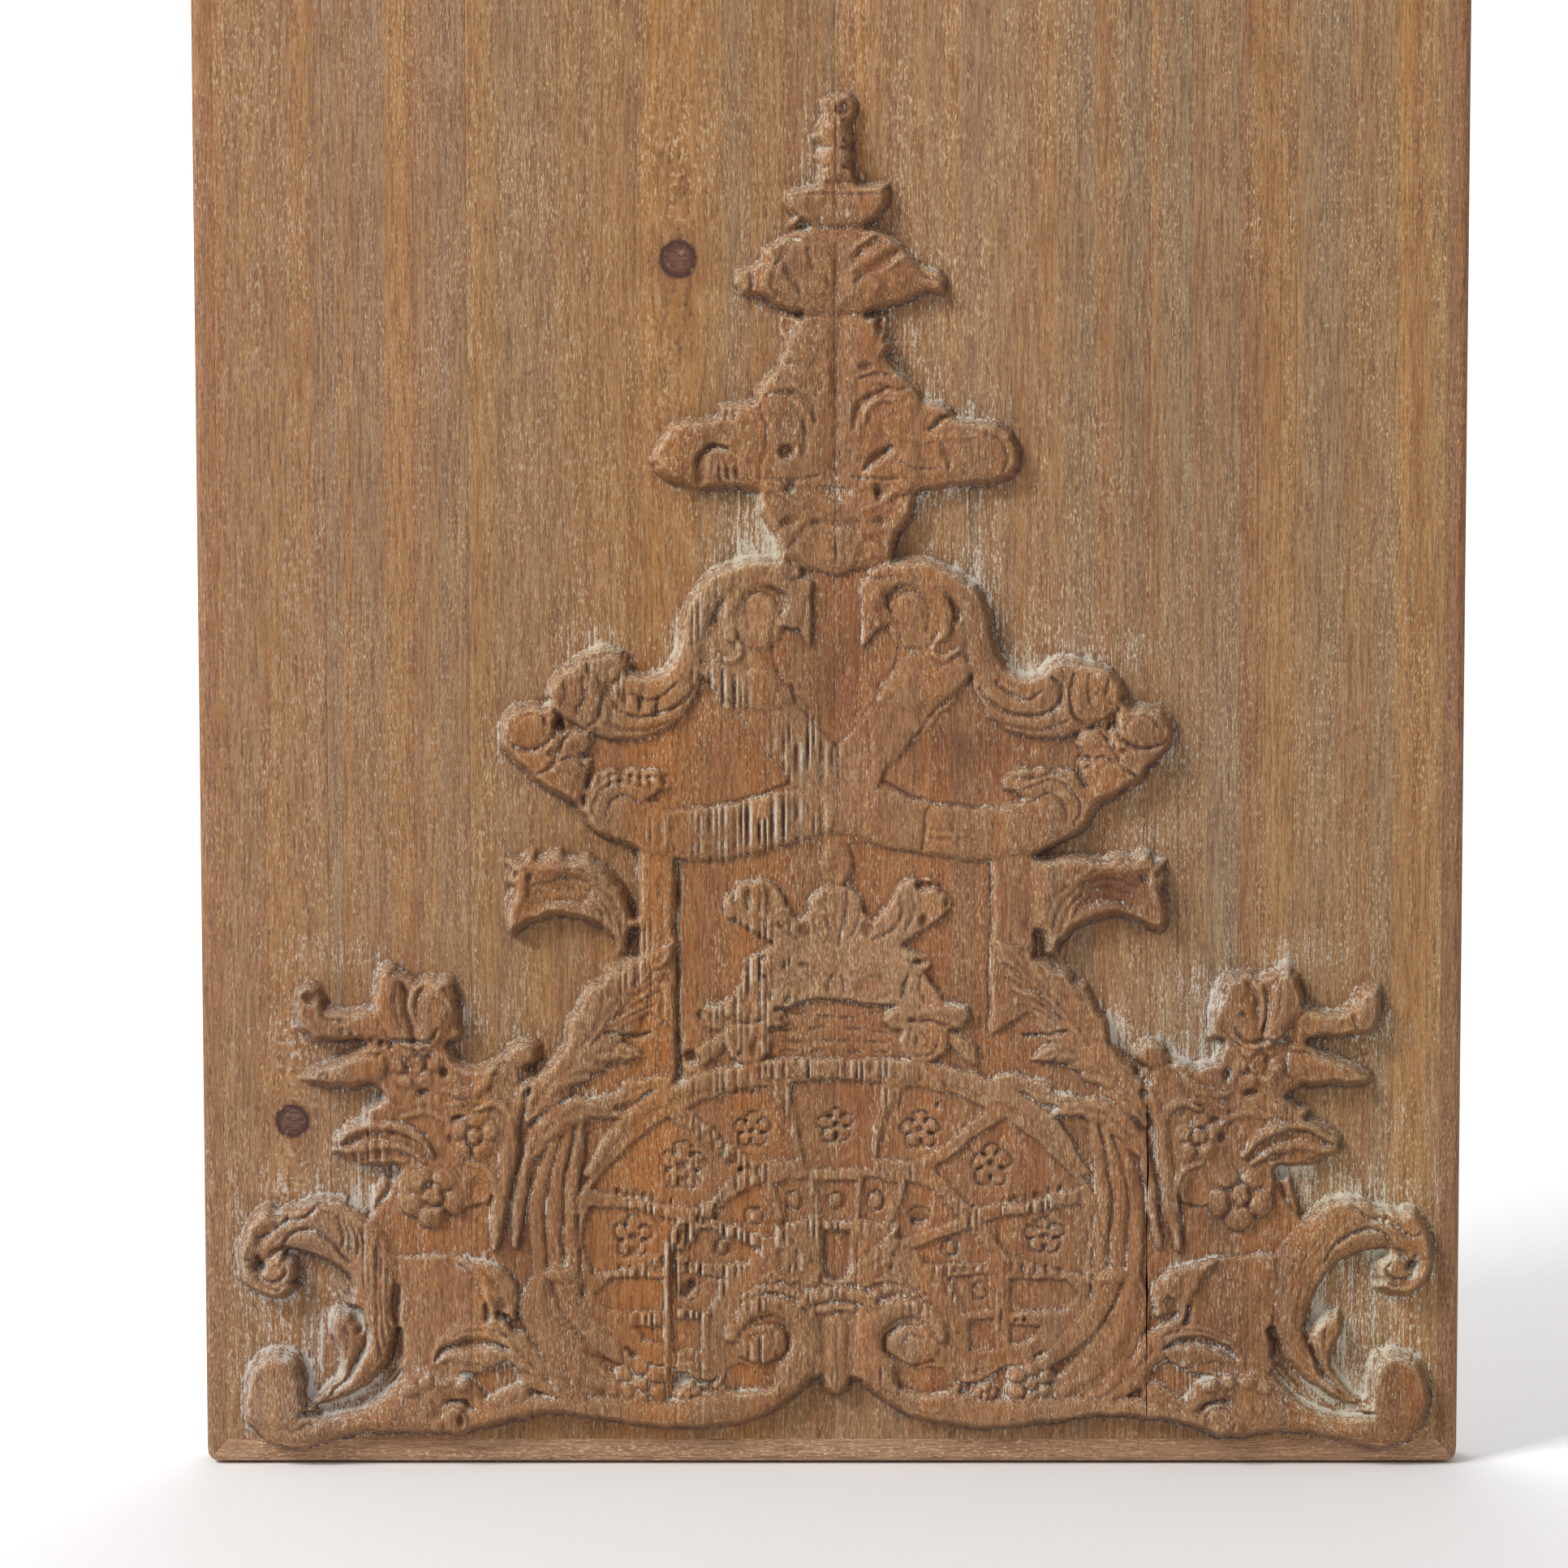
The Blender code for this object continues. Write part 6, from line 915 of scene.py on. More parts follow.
washShape = {
    # spots where much of the lime wash is left on the ground: x, z, radius across, radius up, amount
    "spots": [
        (-24, 299, 15, 14, 1.0), (30, 316, 16, 9, 0.5), (47, 286, 12, 20, 0.9), (60, 262, 10, 9, 0.9),
        (88, 266, 20, 7, 0.8), (112, 150, 15, 12, 0.9), (172, 91, 20, 6, 0.9), (26, 356, 12, 14, 0.5),
        (48, 342, 16, 5, 0.5), (-46, 262, 10, 9, 0.6), (-78, 268, 18, 6, 0.7), (-112, 146, 14, 8, 0.7),
        (-165, 93, 22, 6, 0.7), (-160, 40, 12, 16, 0.9), (165, 45, 12, 18, 1.0), (-160, 167, 18, 6, 0.6),
        (150, 167, 20, 7, 0.7), (110, 232, 7, 12, 0.5), (100, 205, 12, 10, 0.5), (182, 110, 7, 22, 0.5),
        (116, 30, 10, 9, 0.8), (-120, 32, 12, 9, 0.7), (34, 390, 12, 8, 0.3), (-30, 372, 10, 8, 0.3),
        (-8, 424, 9, 12, 0.5), (-28, 400, 9, 10, 0.4), (66, 124, 16, 6, 0.7), (40, 150, 10, 5, 0.6), (90, 142, 8, 7, 1.0),
        (190, 30, 6, 16, 0.7), (-186, 24, 6, 18, 0.6), (-96, 234, 12, 10, 0.4), (168, 48, 12, 24, 1.1), (-168, 40, 12, 18, 1.0),
        (178, 60, 14, 34, 0.9), (-178, 52, 14, 26, 0.7), (192, 90, 5, 40, 0.5), (-192, 60, 5, 50, 0.3), (64, 262, 10, 12, 0.7),
        (112, 144, 12, 20, 0.8), (-150, 110, 16, 10, 0.5), (-176, 140, 12, 8, 0.5), (176, 140, 12, 8, 0.5), (166, 92, 22, 8, 0.9), (-150, 88, 14, 6, 0.9), (150, 96, 14, 8, 0.8), (-152, 96, 12, 8, 0.7),
    ],
    # hollows of the carving that the wash fills, on both halves
    "limed": [(154, 22, 18, 9, 1.0), (166, 22, 10, 6, 0.8), (112, 32, 14, 7, 0.8), (135, 32, 8, 4, 0.7), (110, 24, 6, 5, 0.8),
              (114, 67, 10, 3, 0.7), (50, 28, 12, 8, 0.5), (70, 26, 20, 6, 0.4), (0, 314, 6, 4, 1.2), (10, 58, 24, 6, 0.5),
              (-54, 50, 2, 30, 0.6), (4, 400, 6, 3, 0.8), (75, 122, 14, 5, 0.6), (85, 65, 6, 4, 0.6), (0, 80, 30, 4, 0.3)],
    # dark stained places
    "stains": [(90, 187, 13, 9, 1.5), (131, 50, 16, 22, 0.6), (40, 234, 18, 12, 1.0), (2, 258, 12, 18, 0.9),
               (48, 272, 6, 16, 0.8), (182, 23, 10, 14, 0.8), (100, 236, 12, 14, 0.4), (116, 84, 20, 10, 0.5),
               (-92, 240, 10, 8, 0.4), (172, 60, 10, 14, 0.4), (-96, 60, 8, 30, 0.35), (100, 95, 8, 30, 0.35),
               (-24, 234, 8, 14, 0.3), (60, 160, 5, 34, 0.4), (-172, 30, 16, 8, 0.3), (-192, 60, 5, 60, 0.4),
               (134, 120, 34, 36, 0.35), (62, 234, 16, 12, 0.35)],
    # raised places rubbed pale
    "rubbed": [(0, 162, 38, 32, 0.9), (-4, 224, 42, 24, 0.5), (0, 40, 44, 22, 0.5), (-20, 92, 50, 40, 0.6),
               (-36, 272, 26, 22, 1.0), (-110, 40, 40, 20, 0.6), (60, 124, 26, 16, 0.7), (-88, 130, 26, 20, 0.3),
               (-178, 23, 14, 16, 1.6), (-176, 70, 22, 18, 0.9), (-150, 84, 12, 10, 0.9), (-44, 274, 8, 22, 1.3), (14, 168, 34, 26, 1.0), (-150, 60, 10, 26, 0.5), (60, 16, 60, 6, 0.5), (-60, 16, 60, 6, 0.4)],
}


def carvedFace():
    # the finished face over the lower panel, with tool marks and wear, and the maps that the wood's finish reads,
    # painted shade and painted highlights among them
    step = panelShape["mapStep"]
    xs = np.arange(-halfWidth - 1, halfWidth + 1, step)
    zs = np.arange(-4, 470, step)
    x, z = np.meshgrid(xs, zs)
    u = x - reliefShape["axis"]
    wander = 1.3 * noiseOver(x, z, 11, 14, 1) + 0.9 * noiseOver(x, z, 4, 5, 2)
    drift = 1.3 * noiseOver(x, z, 12, 10, 3) + 0.9 * noiseOver(x, z, 4, 4, 4)

    def laid(place):
        away = np.abs(place) + wander * np.clip(np.abs(place) / 12, 0, 1)
        heights = [sampled(half.h, half.u[0], half.low, half.step, away, z + drift) for half in halves]
        return np.where(place >= 0, heights[0], heights[1])

    plainFace = laid(u)
    pitch = toolMarks["pitch"]
    share = (u + toolMarks["sway"] * np.sin(0.83 * u)) / pitch
    part = share - np.floor(share)
    stair = (np.floor(share) + np.clip((part - 0.5) / 0.2 + 0.5, 0, 1)) * pitch
    steps = np.clip(marked(u, z, toolMarks["steps"]), 0, 1)
    h = plainFace * (1 - steps) + laid(stair) * steps
    raised = np.clip((plainFace - blurred(plainFace, 9, step) - 0.05) / 0.4, 0, 1) * np.clip(plainFace - 3, 0, 1)
    combed = np.clip(marked(u, z, toolMarks["combed"]) * np.clip((plainFace - 4.2) / 0.5, 0, 1), 0, 1)
    tooth = np.floor(share) * pitch
    uneven = np.clip(0.6 + 2.2 * noiseOver(tooth, z, pitch, 8, 5), 0, 1)
    comb = np.clip(np.maximum(steps * raised, combed), 0, 1) * uneven
    slit = np.clip((0.10 + 0.15 * uneven - np.abs(part - 0.3)) / 0.1, 0, 1)
    ridge = np.clip((0.10 - np.abs(part - 0.66)) / 0.06, 0, 1)
    # teeth: short strokes that hang over the lower edge of raised bands
    under = np.clip(np.gradient(plainFace, step, axis=0) - 0.35, 0, 1) * np.clip(plainFace - 3.2, 0, 1)
    under = np.clip(blurred(under, 2.6, step, (0,)) * 2.2, 0, 1) * np.clip(0.75 * marked(u, z, toolMarks["teeth"]), 0, 1)
    under = under * np.clip(0.6 + 2.2 * noiseOver(tooth, z, pitch, 7, 15), 0, 1)
    # the comb map, teeth included, also darkens the slits with painted shade in the finish
    comb = np.maximum(comb, under)
    h = h - toolMarks["depth"] * comb * slit + 0.15 * comb * ridge
    # wear: rough where the carving is proud, smoother on its fields
    rough = np.clip((h - 4.3) / 0.9, 0.12, 1) * np.clip(h - 0.6, 0, 1)
    lumpy = np.clip((h - 3.4) / 1.5, 0, 1) * (0.35 + 0.6 * np.clip(marked(np.abs(u), z, toolMarks["folded"]), 0, 1))
    h = h + lumpy * noiseOver(x, z, 8, 10, 20)
    h = h + rough * (0.5 * noiseOver(x, z, 4.2, 6.5, 6) + 0.4 * noiseOver(x, z, 1.9, 3.4, 7) + 0.22 * noiseOver(x, z, 0.9, 3.2, 8))
    folded = marked(np.abs(u), z, toolMarks["folded"]) * np.clip((h - 3.6) / 1.4, 0, 1)
    fold = np.abs(noiseOver(x + 3 * wander, z, 5.6, 7.2, 17)) + 0.6 * np.abs(noiseOver(x, z + 2 * drift, 3.0, 4.0, 18)) - 0.2
    h = h + 1.9 * folded * fold
    carved = np.clip((h - 0.5) / 2, 0, 1)
    near = blurred(carved, 14, step)
    h = h + 0.05 * noiseOver(x, z, 0.8, 9, 9) * np.clip(near * 4, 0, 1)
    h = np.clip(np.minimum(h, frontLimit - panelShape["thickness"]), 0, None)

    slopeZ, slopeX = np.gradient(h, step)
    steep = np.hypot(slopeX, slopeZ)
    # turned: how far a wall faces the key light at the upper left, positive towards it; it places painted highlight and
    # painted shade below
    turned = np.clip((0.6 * slopeX - 0.8 * slopeZ) / 1.0, -1, 1)
    hollow = np.clip((blurred(h, 2, step) - h - 0.05) / 0.45, 0, 1)
    # painted shade: dark lines along concave creases, weaker on walls turned to the key light
    creaseShade = np.clip((blurred(h, 1.3, step) - h - 0.04) / 0.13, 0, 1) * np.clip(near * 6, 0, 1)
    creaseShade = creaseShade * np.clip(0.75 + 1.5 * noiseOver(x, z, 3, 5, 16), 0.1, 1) * (1 - 0.8 * np.clip(turned, 0, 1))
    foot = np.clip((blurred(h, 6, step) - h - 0.4) / 2.2, 0, 1)
    proud = np.clip((h - blurred(h, 2, step) - 0.05) / 0.35, 0, 1)
    halo = blurred(carved, 12, step) * (1 - carved)
    spots = np.clip(marked(x, z, washShape["spots"]) * (0.7 + 1.2 * noiseOver(x, z, 1.6, 12, 10)), 0, 1.2)
    # lime left around the carving and at the feet of walls; the hollows' share leans to walls turned to the key light,
    # a painted highlight
    washAndHighlight = halo * (0.06 + 1.1 * spots) + (0.06 + 0.5 * spots) * np.clip(foot - 0.05, 0, 1) * (1 - carved)
    washAndHighlight += hollow * carved * (0.30 + 0.5 * np.clip(turned, 0, 1)) * np.clip(0.5 + 1.6 * noiseOver(x, z, 5, 7, 11), 0, 1)
    washAndHighlight += 0.36 * np.clip(spots, 0, 1) * (1 - carved)
    deep = np.clip((blurred(h, 3, step) - h - 0.1) / 0.8, 0, 1)
    washAndHighlight += marked(np.abs(u), z, washShape["limed"]) * np.maximum(1.3 * deep, 0.18) * np.clip(0.8 + noiseOver(x, z, 2, 5, 21), 0, 1)
    # painted highlight: steep walls turned to the key light are whitened
    washAndHighlight += np.clip(turned, 0, 1) * np.clip(steep - 0.4, 0, 1) * (0.25 + 0.75 * np.clip(spots, 0, 1))
    # grime with painted shade: darker at the feet of walls and in hollows, most on walls turned away from the key light
    # at the upper left
    grimeAndShade = foot * (0.4 + 0.6 * np.clip(-turned, 0, 1)) * (1 - 0.7 * np.clip(spots, 0, 1)) + 0.5 * hollow * carved
    grimeAndShade += 0.5 * np.clip(-turned, 0, 1) * np.clip(steep - 0.4, 0, 1)
    rubbed = marked(x, z, washShape["rubbed"]) * np.clip((h - 4.9) / 0.5, 0, 1)
    # painted highlight on proud edges, strongest where they face the key light, plus places rubbed pale by wear
    wornAndHighlight = proud * (0.55 + 0.45 * turned) + 0.55 * rubbed
    stain = marked(x, z, washShape["stains"]) * np.clip(h - 2, 0, 1) * np.clip(0.8 + 1.2 * noiseOver(x, z, 5, 9, 19), 0, 1)
    flat = carved * np.clip((5.2 - h) / 0.7, 0, 1) * np.clip(1 - 1.4 * steep, 0, 1)
    maps = {"washAndHighlight": washAndHighlight, "grimeAndShade": grimeAndShade, "carved": carved, "wornAndHighlight": wornAndHighlight, "flat": flat, "near": halo, "comb": comb,
            "creaseShade": creaseShade, "stain": stain}
    return h, {name: np.clip(field, 0, 1.3) for name, field in maps.items()}, xs[0], zs[0]


print("stage: carving the relief")
halves = [carve(reliefShape["step"], side) for side in (1, -1)]
face, maps, mapX, mapZ = carvedFace()


def carvedAt(x, z):
    # relief above the ground at many places, in millimetres; z is measured from the panel's foot
    return sampled(face, mapX, mapZ, panelShape["mapStep"], x, np.minimum(z, 465)) * (z < 460)


# ---- boards and edging ----

def edgeDrop(x, z):
    # how far the rounded outer edge lies below the ground, x and z from the panel's middle
    corner = panelShape["cornerRound"]
    innerX = np.abs(x) - (halfWidth - corner)
    innerZ = np.abs(z) - (halfHeight - corner)
    outside = np.hypot(np.maximum(innerX, 0), np.maximum(innerZ, 0)) + np.minimum(np.maximum(innerX, innerZ), 0) - corner
    radius = panelShape["edgeRound"]
    short = np.clip(radius + outside, 0, radius)
    return radius - np.sqrt(np.maximum(radius ** 2 - short ** 2, 0))


def spacing(start, end, step, ease):
    # even places between two ends, with a few close to both
    middle = np.linspace(start + ease[-1], end - ease[-1], max(2, int(round((end - start - 2 * ease[-1]) / step)) + 1))
    return np.concatenate(([start + e for e in ease[:-1]], middle, [end - e for e in reversed(ease[:-1])]))


def sheetOf(name, columns, rows, place, front, limit=0):
    # a solid with a shaped front and a flat back: the grid's lines are placed, raised, then walled in
    shape = bmesh.new()
    bmesh.ops.create_grid(shape, x_segments=len(columns) - 1, y_segments=len(rows) - 1, size=1.0)
    data = bpy.data.meshes.new(name)
    shape.to_mesh(data)
    spots = np.zeros(len(data.vertices) * 3)
    data.vertices.foreach_get("co", spots)
    spots = spots.reshape(-1, 3)
    i = np.rint((spots[:, 0] + 1) / 2 * (len(columns) - 1)).astype(int)
    j = np.rint((spots[:, 1] + 1) / 2 * (len(rows) - 1)).astype(int)
    x, z = place(np.asarray(columns)[i], np.asarray(rows)[j])
    moved = np.stack([x, -front(x, z), z], 1) / 1000
    data.vertices.foreach_set("co", moved.ravel())
    shape.free()
    shape = bmesh.new()
    shape.from_mesh(data)
    rim = [edge for edge in shape.edges if edge.is_boundary]
    walls = bmesh.ops.extrude_edge_only(shape, edges=rim)["geom"]
    for vertex in walls:
        if isinstance(vertex, bmesh.types.BMVert):
            vertex.co.y = 0
    bmesh.ops.contextual_create(shape, geom=[edge for edge in shape.edges if edge.is_boundary])
    bmesh.ops.recalc_face_normals(shape, faces=shape.faces)
    shape.to_mesh(data)
    shape.free()
    piece = bpy.data.objects.new(name, data)
    bpy.context.scene.collection.objects.link(piece)
    count = sum(len(face.vertices) - 2 for face in data.polygons)
    if limit and count > limit:
        thin = piece.modifiers.new("thin", "DECIMATE")
        thin.ratio = limit / count
        thin.use_collapse_triangulate = True
        solved = bpy.data.meshes.new_from_object(piece.evaluated_get(bpy.context.evaluated_depsgraph_get()))
        piece.modifiers.clear()
        piece.data = solved
        bpy.data.meshes.remove(data)
        solved.name = name
    return piece


def finishFront(piece):
    # smooth front, crisp walls, and the colour maps as attributes
    data = piece.data
    spots = np.zeros(len(data.vertices) * 3)
    data.vertices.foreach_get("co", spots)
    spots = spots.reshape(-1, 3) * 1000
    for name, field in maps.items():
        layer = data.attributes.new(name, "FLOAT", "POINT")
        values = sampled(field, mapX, mapZ, panelShape["mapStep"], spots[:, 0], spots[:, 2] + halfHeight)
        values = np.where(spots[:, 2] + halfHeight > 460, 0, values)
        layer.data.foreach_set("value", values.astype(np.float32))
    normals = np.zeros(len(data.polygons) * 3)
    data.polygons.foreach_get("normal", normals)
    facing = normals.reshape(-1, 3)[:, 1] < -0.15
    data.polygons.foreach_set("use_smooth", facing)
    shape = bmesh.new()
    shape.from_mesh(data)
    for edge in shape.edges:
        if len(edge.link_faces) == 2 and edge.link_faces[0].smooth != edge.link_faces[1].smooth:
            edge.smooth = False
    shape.to_mesh(data)
    shape.free()


boardShape = {
    "names": ["board_1_left_edge", "board_2_left", "board_3_left_of_middle", "board_4_right_of_middle",
              "board_5_right", "board_6_right_edge"],
    "closeJoint": 0.13,      # how far a board reaches into the joint, in millimetres
    "edgeEase": 0.12,        # fall of a board's arris along its joint
    "fine": 0.42,            # grid over the carving
    "coarse": 14.0,          # grid over the plain ground
    "mostTriangles": [95000, 125000, 198000, 198000, 135000, 135000],
    "crack": (101.4, 10, 138, 0.75),   # x, from, to and width of the open joint
}


def boardPiece(name):
    low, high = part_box(name)
    reach = boardShape["closeJoint"]
    left, right = low.x * 1000 - reach, high.x * 1000 + reach
    bottom, top = low.z * 1000 - reach, high.z * 1000 + reach
    carvedTop = min(452 - halfHeight, top)
    columns = spacing(left, right, boardShape["fine"], [0, 0.15, 0.4])
    rows = np.concatenate((spacing(bottom, carvedTop, boardShape["fine"], [0, 0.15, 0.4])[:-2],
                           spacing(carvedTop, top, boardShape["coarse"], [0, 0.15, 0.4])[2:]))
    crackX, crackLow, crackHigh, crackWidth = boardShape["crack"]

    def place(x, z):
        height = z + halfHeight
        along = np.clip((height - crackLow) / 20, 0, 1) * np.clip((crackHigh - height) / 25, 0, 1)
        wander = 0.5 + 0.3 * np.sin(height / 7) + 0.2 * np.sin(height / 2.9)
        opening = crackWidth * along * wander * np.clip(1 - np.abs(x - crackX) / 2.5, 0, 1)
        side = 0.8 if left > crackX - 2 else -0.2
        return x + opening * side, z

    def front(x, z):
        edge = np.minimum(np.minimum(x - left, right - x), np.minimum(z - bottom, top - z))
        ease = boardShape["edgeEase"] * np.clip(1 - edge / 0.4, 0, 1) ** 2
        return panelShape["thickness"] + carvedAt(x, z + halfHeight) - ease

    most = boardShape["mostTriangles"][boardShape["names"].index(name)]
    piece = sheetOf(name + "_carved", columns, rows, place, front, most)
    finishFront(piece)
    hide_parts(name)
    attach(piece, "root")
    return piece


edgingShape = {
    "names": ["edging_left", "edging_right", "edging_bottom", "edging_top"],
    "sideInner": 195.9,      # where the boards end, in millimetres from the panel's middle
    "endInner": 499.9,
    "across": 14,            # grid lines across a strip
    "along": 2.5,
    "fine": 0.5,
    "mitreGap": 0.05,
}


def edgingPiece(name):
    # a strip is drawn lying along s, from its inner edge out, then turned to its side of the panel
    upright = name in ("edging_left", "edging_right")
    outward = -1 if name in ("edging_left", "edging_bottom") else 1
    innerSide, innerEnd = edgingShape["sideInner"], edgingShape["endInner"]
    inner, outer = (innerSide, halfWidth) if upright else (innerEnd, halfHeight)
    innerLength, outerLength = (innerEnd, halfHeight) if upright else (innerSide, halfWidth)
    share = np.concatenate(([0, 0.02, 0.06], np.linspace(0.12, 0.5, 5), 1 - 0.5 * np.cos(np.linspace(0, math.pi / 2, 10))[1:]))
    step = edgingShape["fine"] if name == "edging_bottom" else edgingShape["along"]
    along = np.linspace(-1, 1, int(2 * outerLength / step))
    corner = panelShape["cornerRound"]

    def place(acrossShare, alongShare):
        length = innerLength + (outerLength - innerLength) * acrossShare - edgingShape["mitreGap"]
        a = inner + (outer - inner) * acrossShare
        b = alongShare * length
        x, z = (a * outward, b) if upright else (b, a * outward)
        overX = np.maximum(np.abs(x) - (halfWidth - corner), 0)
        overZ = np.maximum(np.abs(z) - (halfHeight - corner), 0)
        over = np.hypot(overX, overZ)
        pull = np.where(over > corner, corner / np.maximum(over, 1e-9), 1)
        x = np.where(over > corner, np.sign(x) * (halfWidth - corner + overX * pull), x)
        z = np.where(over > corner, np.sign(z) * (halfHeight - corner + overZ * pull), z)
        return x, z

    def front(x, z):
        gap = (np.abs(x) if upright else np.abs(z)) - inner
        ease = 0.15 * np.clip(1 - gap / 0.35, 0, 1) ** 2
        return panelShape["thickness"] + carvedAt(x, z + halfHeight) * (1 - edgeDrop(x, z) / 5) - edgeDrop(x, z) - ease

    piece = sheetOf(name + "_strip", share, along, place, front)
    finishFront(piece)
    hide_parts(name)
    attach(piece, "root")
    return piece


print("stage: boards")
boards = [boardPiece(name) for name in boardShape["names"]]
print("stage: edging")
strips = [edgingPiece(name) for name in edgingShape["names"]]
for piece in boards + strips:
    print(piece.name, sum(len(face.vertices) - 2 for face in piece.data.polygons))


# ---- finishes ----

def plain(red, green, blue):
    # a colour as it looks on screen, turned to the shader's own scale
    return tuple((c / 255 / 12.92) if c < 11 else ((c / 255 + 0.055) / 1.055) ** 2.4 for c in (red, green, blue)) + (1.0,)


class Finish:
    # a material whose nodes are added one at a time

    def __init__(self, name):
        self.material = bpy.data.materials.new(name)
        self.material.use_nodes = True
        self.tree = self.material.node_tree
        self.shader = self.tree.nodes["Principled BSDF"]
        self.place = self.add("ShaderNodeTexCoord").outputs["Object"]
        apart = self.add("ShaderNodeSeparateXYZ")
        self.fill(apart.inputs[0], self.place)
        self.x, self.y, self.z = apart.outputs
        # what the carved side carries fades out down the edges, so the back stays bare
        self.front = self.ramp(self.y, -0.014, -0.004, 1.0, 0.0)

    def add(self, kind, **settings):
        made = self.tree.nodes.new(kind)
        for key, value in settings.items():
            setattr(made, key, value)
        return made

    def fill(self, socket, value):
        if isinstance(value, bpy.types.NodeSocket):
            self.tree.links.new(value, socket)
        else:
            socket.default_value = value

    def math(self, operation, first, second=0.0, third=0.0, clamp=False):
        made = self.add("ShaderNodeMath", operation=operation, use_clamp=clamp)
        for socket, value in zip(made.inputs, (first, second, third)):
            self.fill(socket, value)
        return made.outputs[0]

    def mix(self, factor, first, second, blend="MIX"):
        made = self.add("ShaderNodeMix", data_type="RGBA", blend_type=blend)
        for socket, value in ((made.inputs[0], factor), (made.inputs[6], first), (made.inputs[7], second)):
            self.fill(socket, value)
        return made.outputs[2]

    def ramp(self, value, low, high, start=0.0, end=1.0):
        made = self.add("ShaderNodeMapRange", clamp=True)
        for socket, number in zip(made.inputs, (value, low, high, start, end)):
            self.fill(socket, number)
        return made.outputs[0]

    def grain(self, place, across, along, detail=3.0, roughness=0.55):
        # noise drawn out along the board
        stretched = self.add("ShaderNodeMapping")
        stretched.inputs["Scale"].default_value = (across, across, along)
        self.fill(stretched.inputs["Vector"], place)
        noise = self.add("ShaderNodeTexNoise", noise_dimensions="3D")
        self.fill(noise.inputs["Vector"], stretched.outputs[0])
        noise.inputs["Scale"].default_value = 1.0
        noise.inputs["Detail"].default_value = detail
        noise.inputs["Roughness"].default_value = roughness
        return noise.outputs["Fac"]

    def attribute(self, name):
        return self.math("MULTIPLY", self.add("ShaderNodeAttribute", attribute_name=name).outputs["Fac"], self.front)


woodLook = {
    "orange": plain(185, 128, 68),
    "grey": plain(149, 119, 91),
    "red": plain(148, 96, 60),
    "dark": plain(84, 56, 46),
    # dark of the painted shade in creases and in the tool grooves
    "line": plain(70, 50, 50),
    "cream": plain(218, 191, 154),
    "lime": plain(220, 213, 198),
    # colour of the grime and the painted shade at the feet and on the lee side of walls
    "grimeAndShade": plain(60, 42, 38),
    "carvedTint": (0.90, 0.76, 0.67, 1.0),
    "flatTint": (1.04, 0.97, 0.92, 1.0),
    "stain": plain(84, 46, 38),
    "roughness": 0.74,
}

boardLook = {
    # shift of the grain, tone, share of grey, strength of the growth lines, width of the growth lines
    "board_1_left_edge": (0.37, (0.81, 0.81, 0.86), 0.40, 0.15, 170),
    "board_2_left": (1.91, (0.84, 0.84, 0.87), 0.55, 0.3, 200),
    "board_3_left_of_middle": (3.13, (0.85, 0.83, 0.78), 0.40, 0.25, 120),
    "board_4_right_of_middle": (5.77, (0.93, 0.91, 0.89), 0.52, 0.25, 150),
    "board_5_right": (7.41, (0.88, 0.91, 0.94), 0.45, 1.0, 190),
    "board_6_right_edge": (9.29, (0.94, 0.95, 0.90), 0.50, 0.25, 170),
}

knotShape = {
    # x and z in millimetres from the panel's middle and foot, radius
    "board_3_left_of_middle": [(-48.6, 388.0, 6.2)],
    "board_1_left_edge": [(-173.9, 112.0, 5.6)],
}


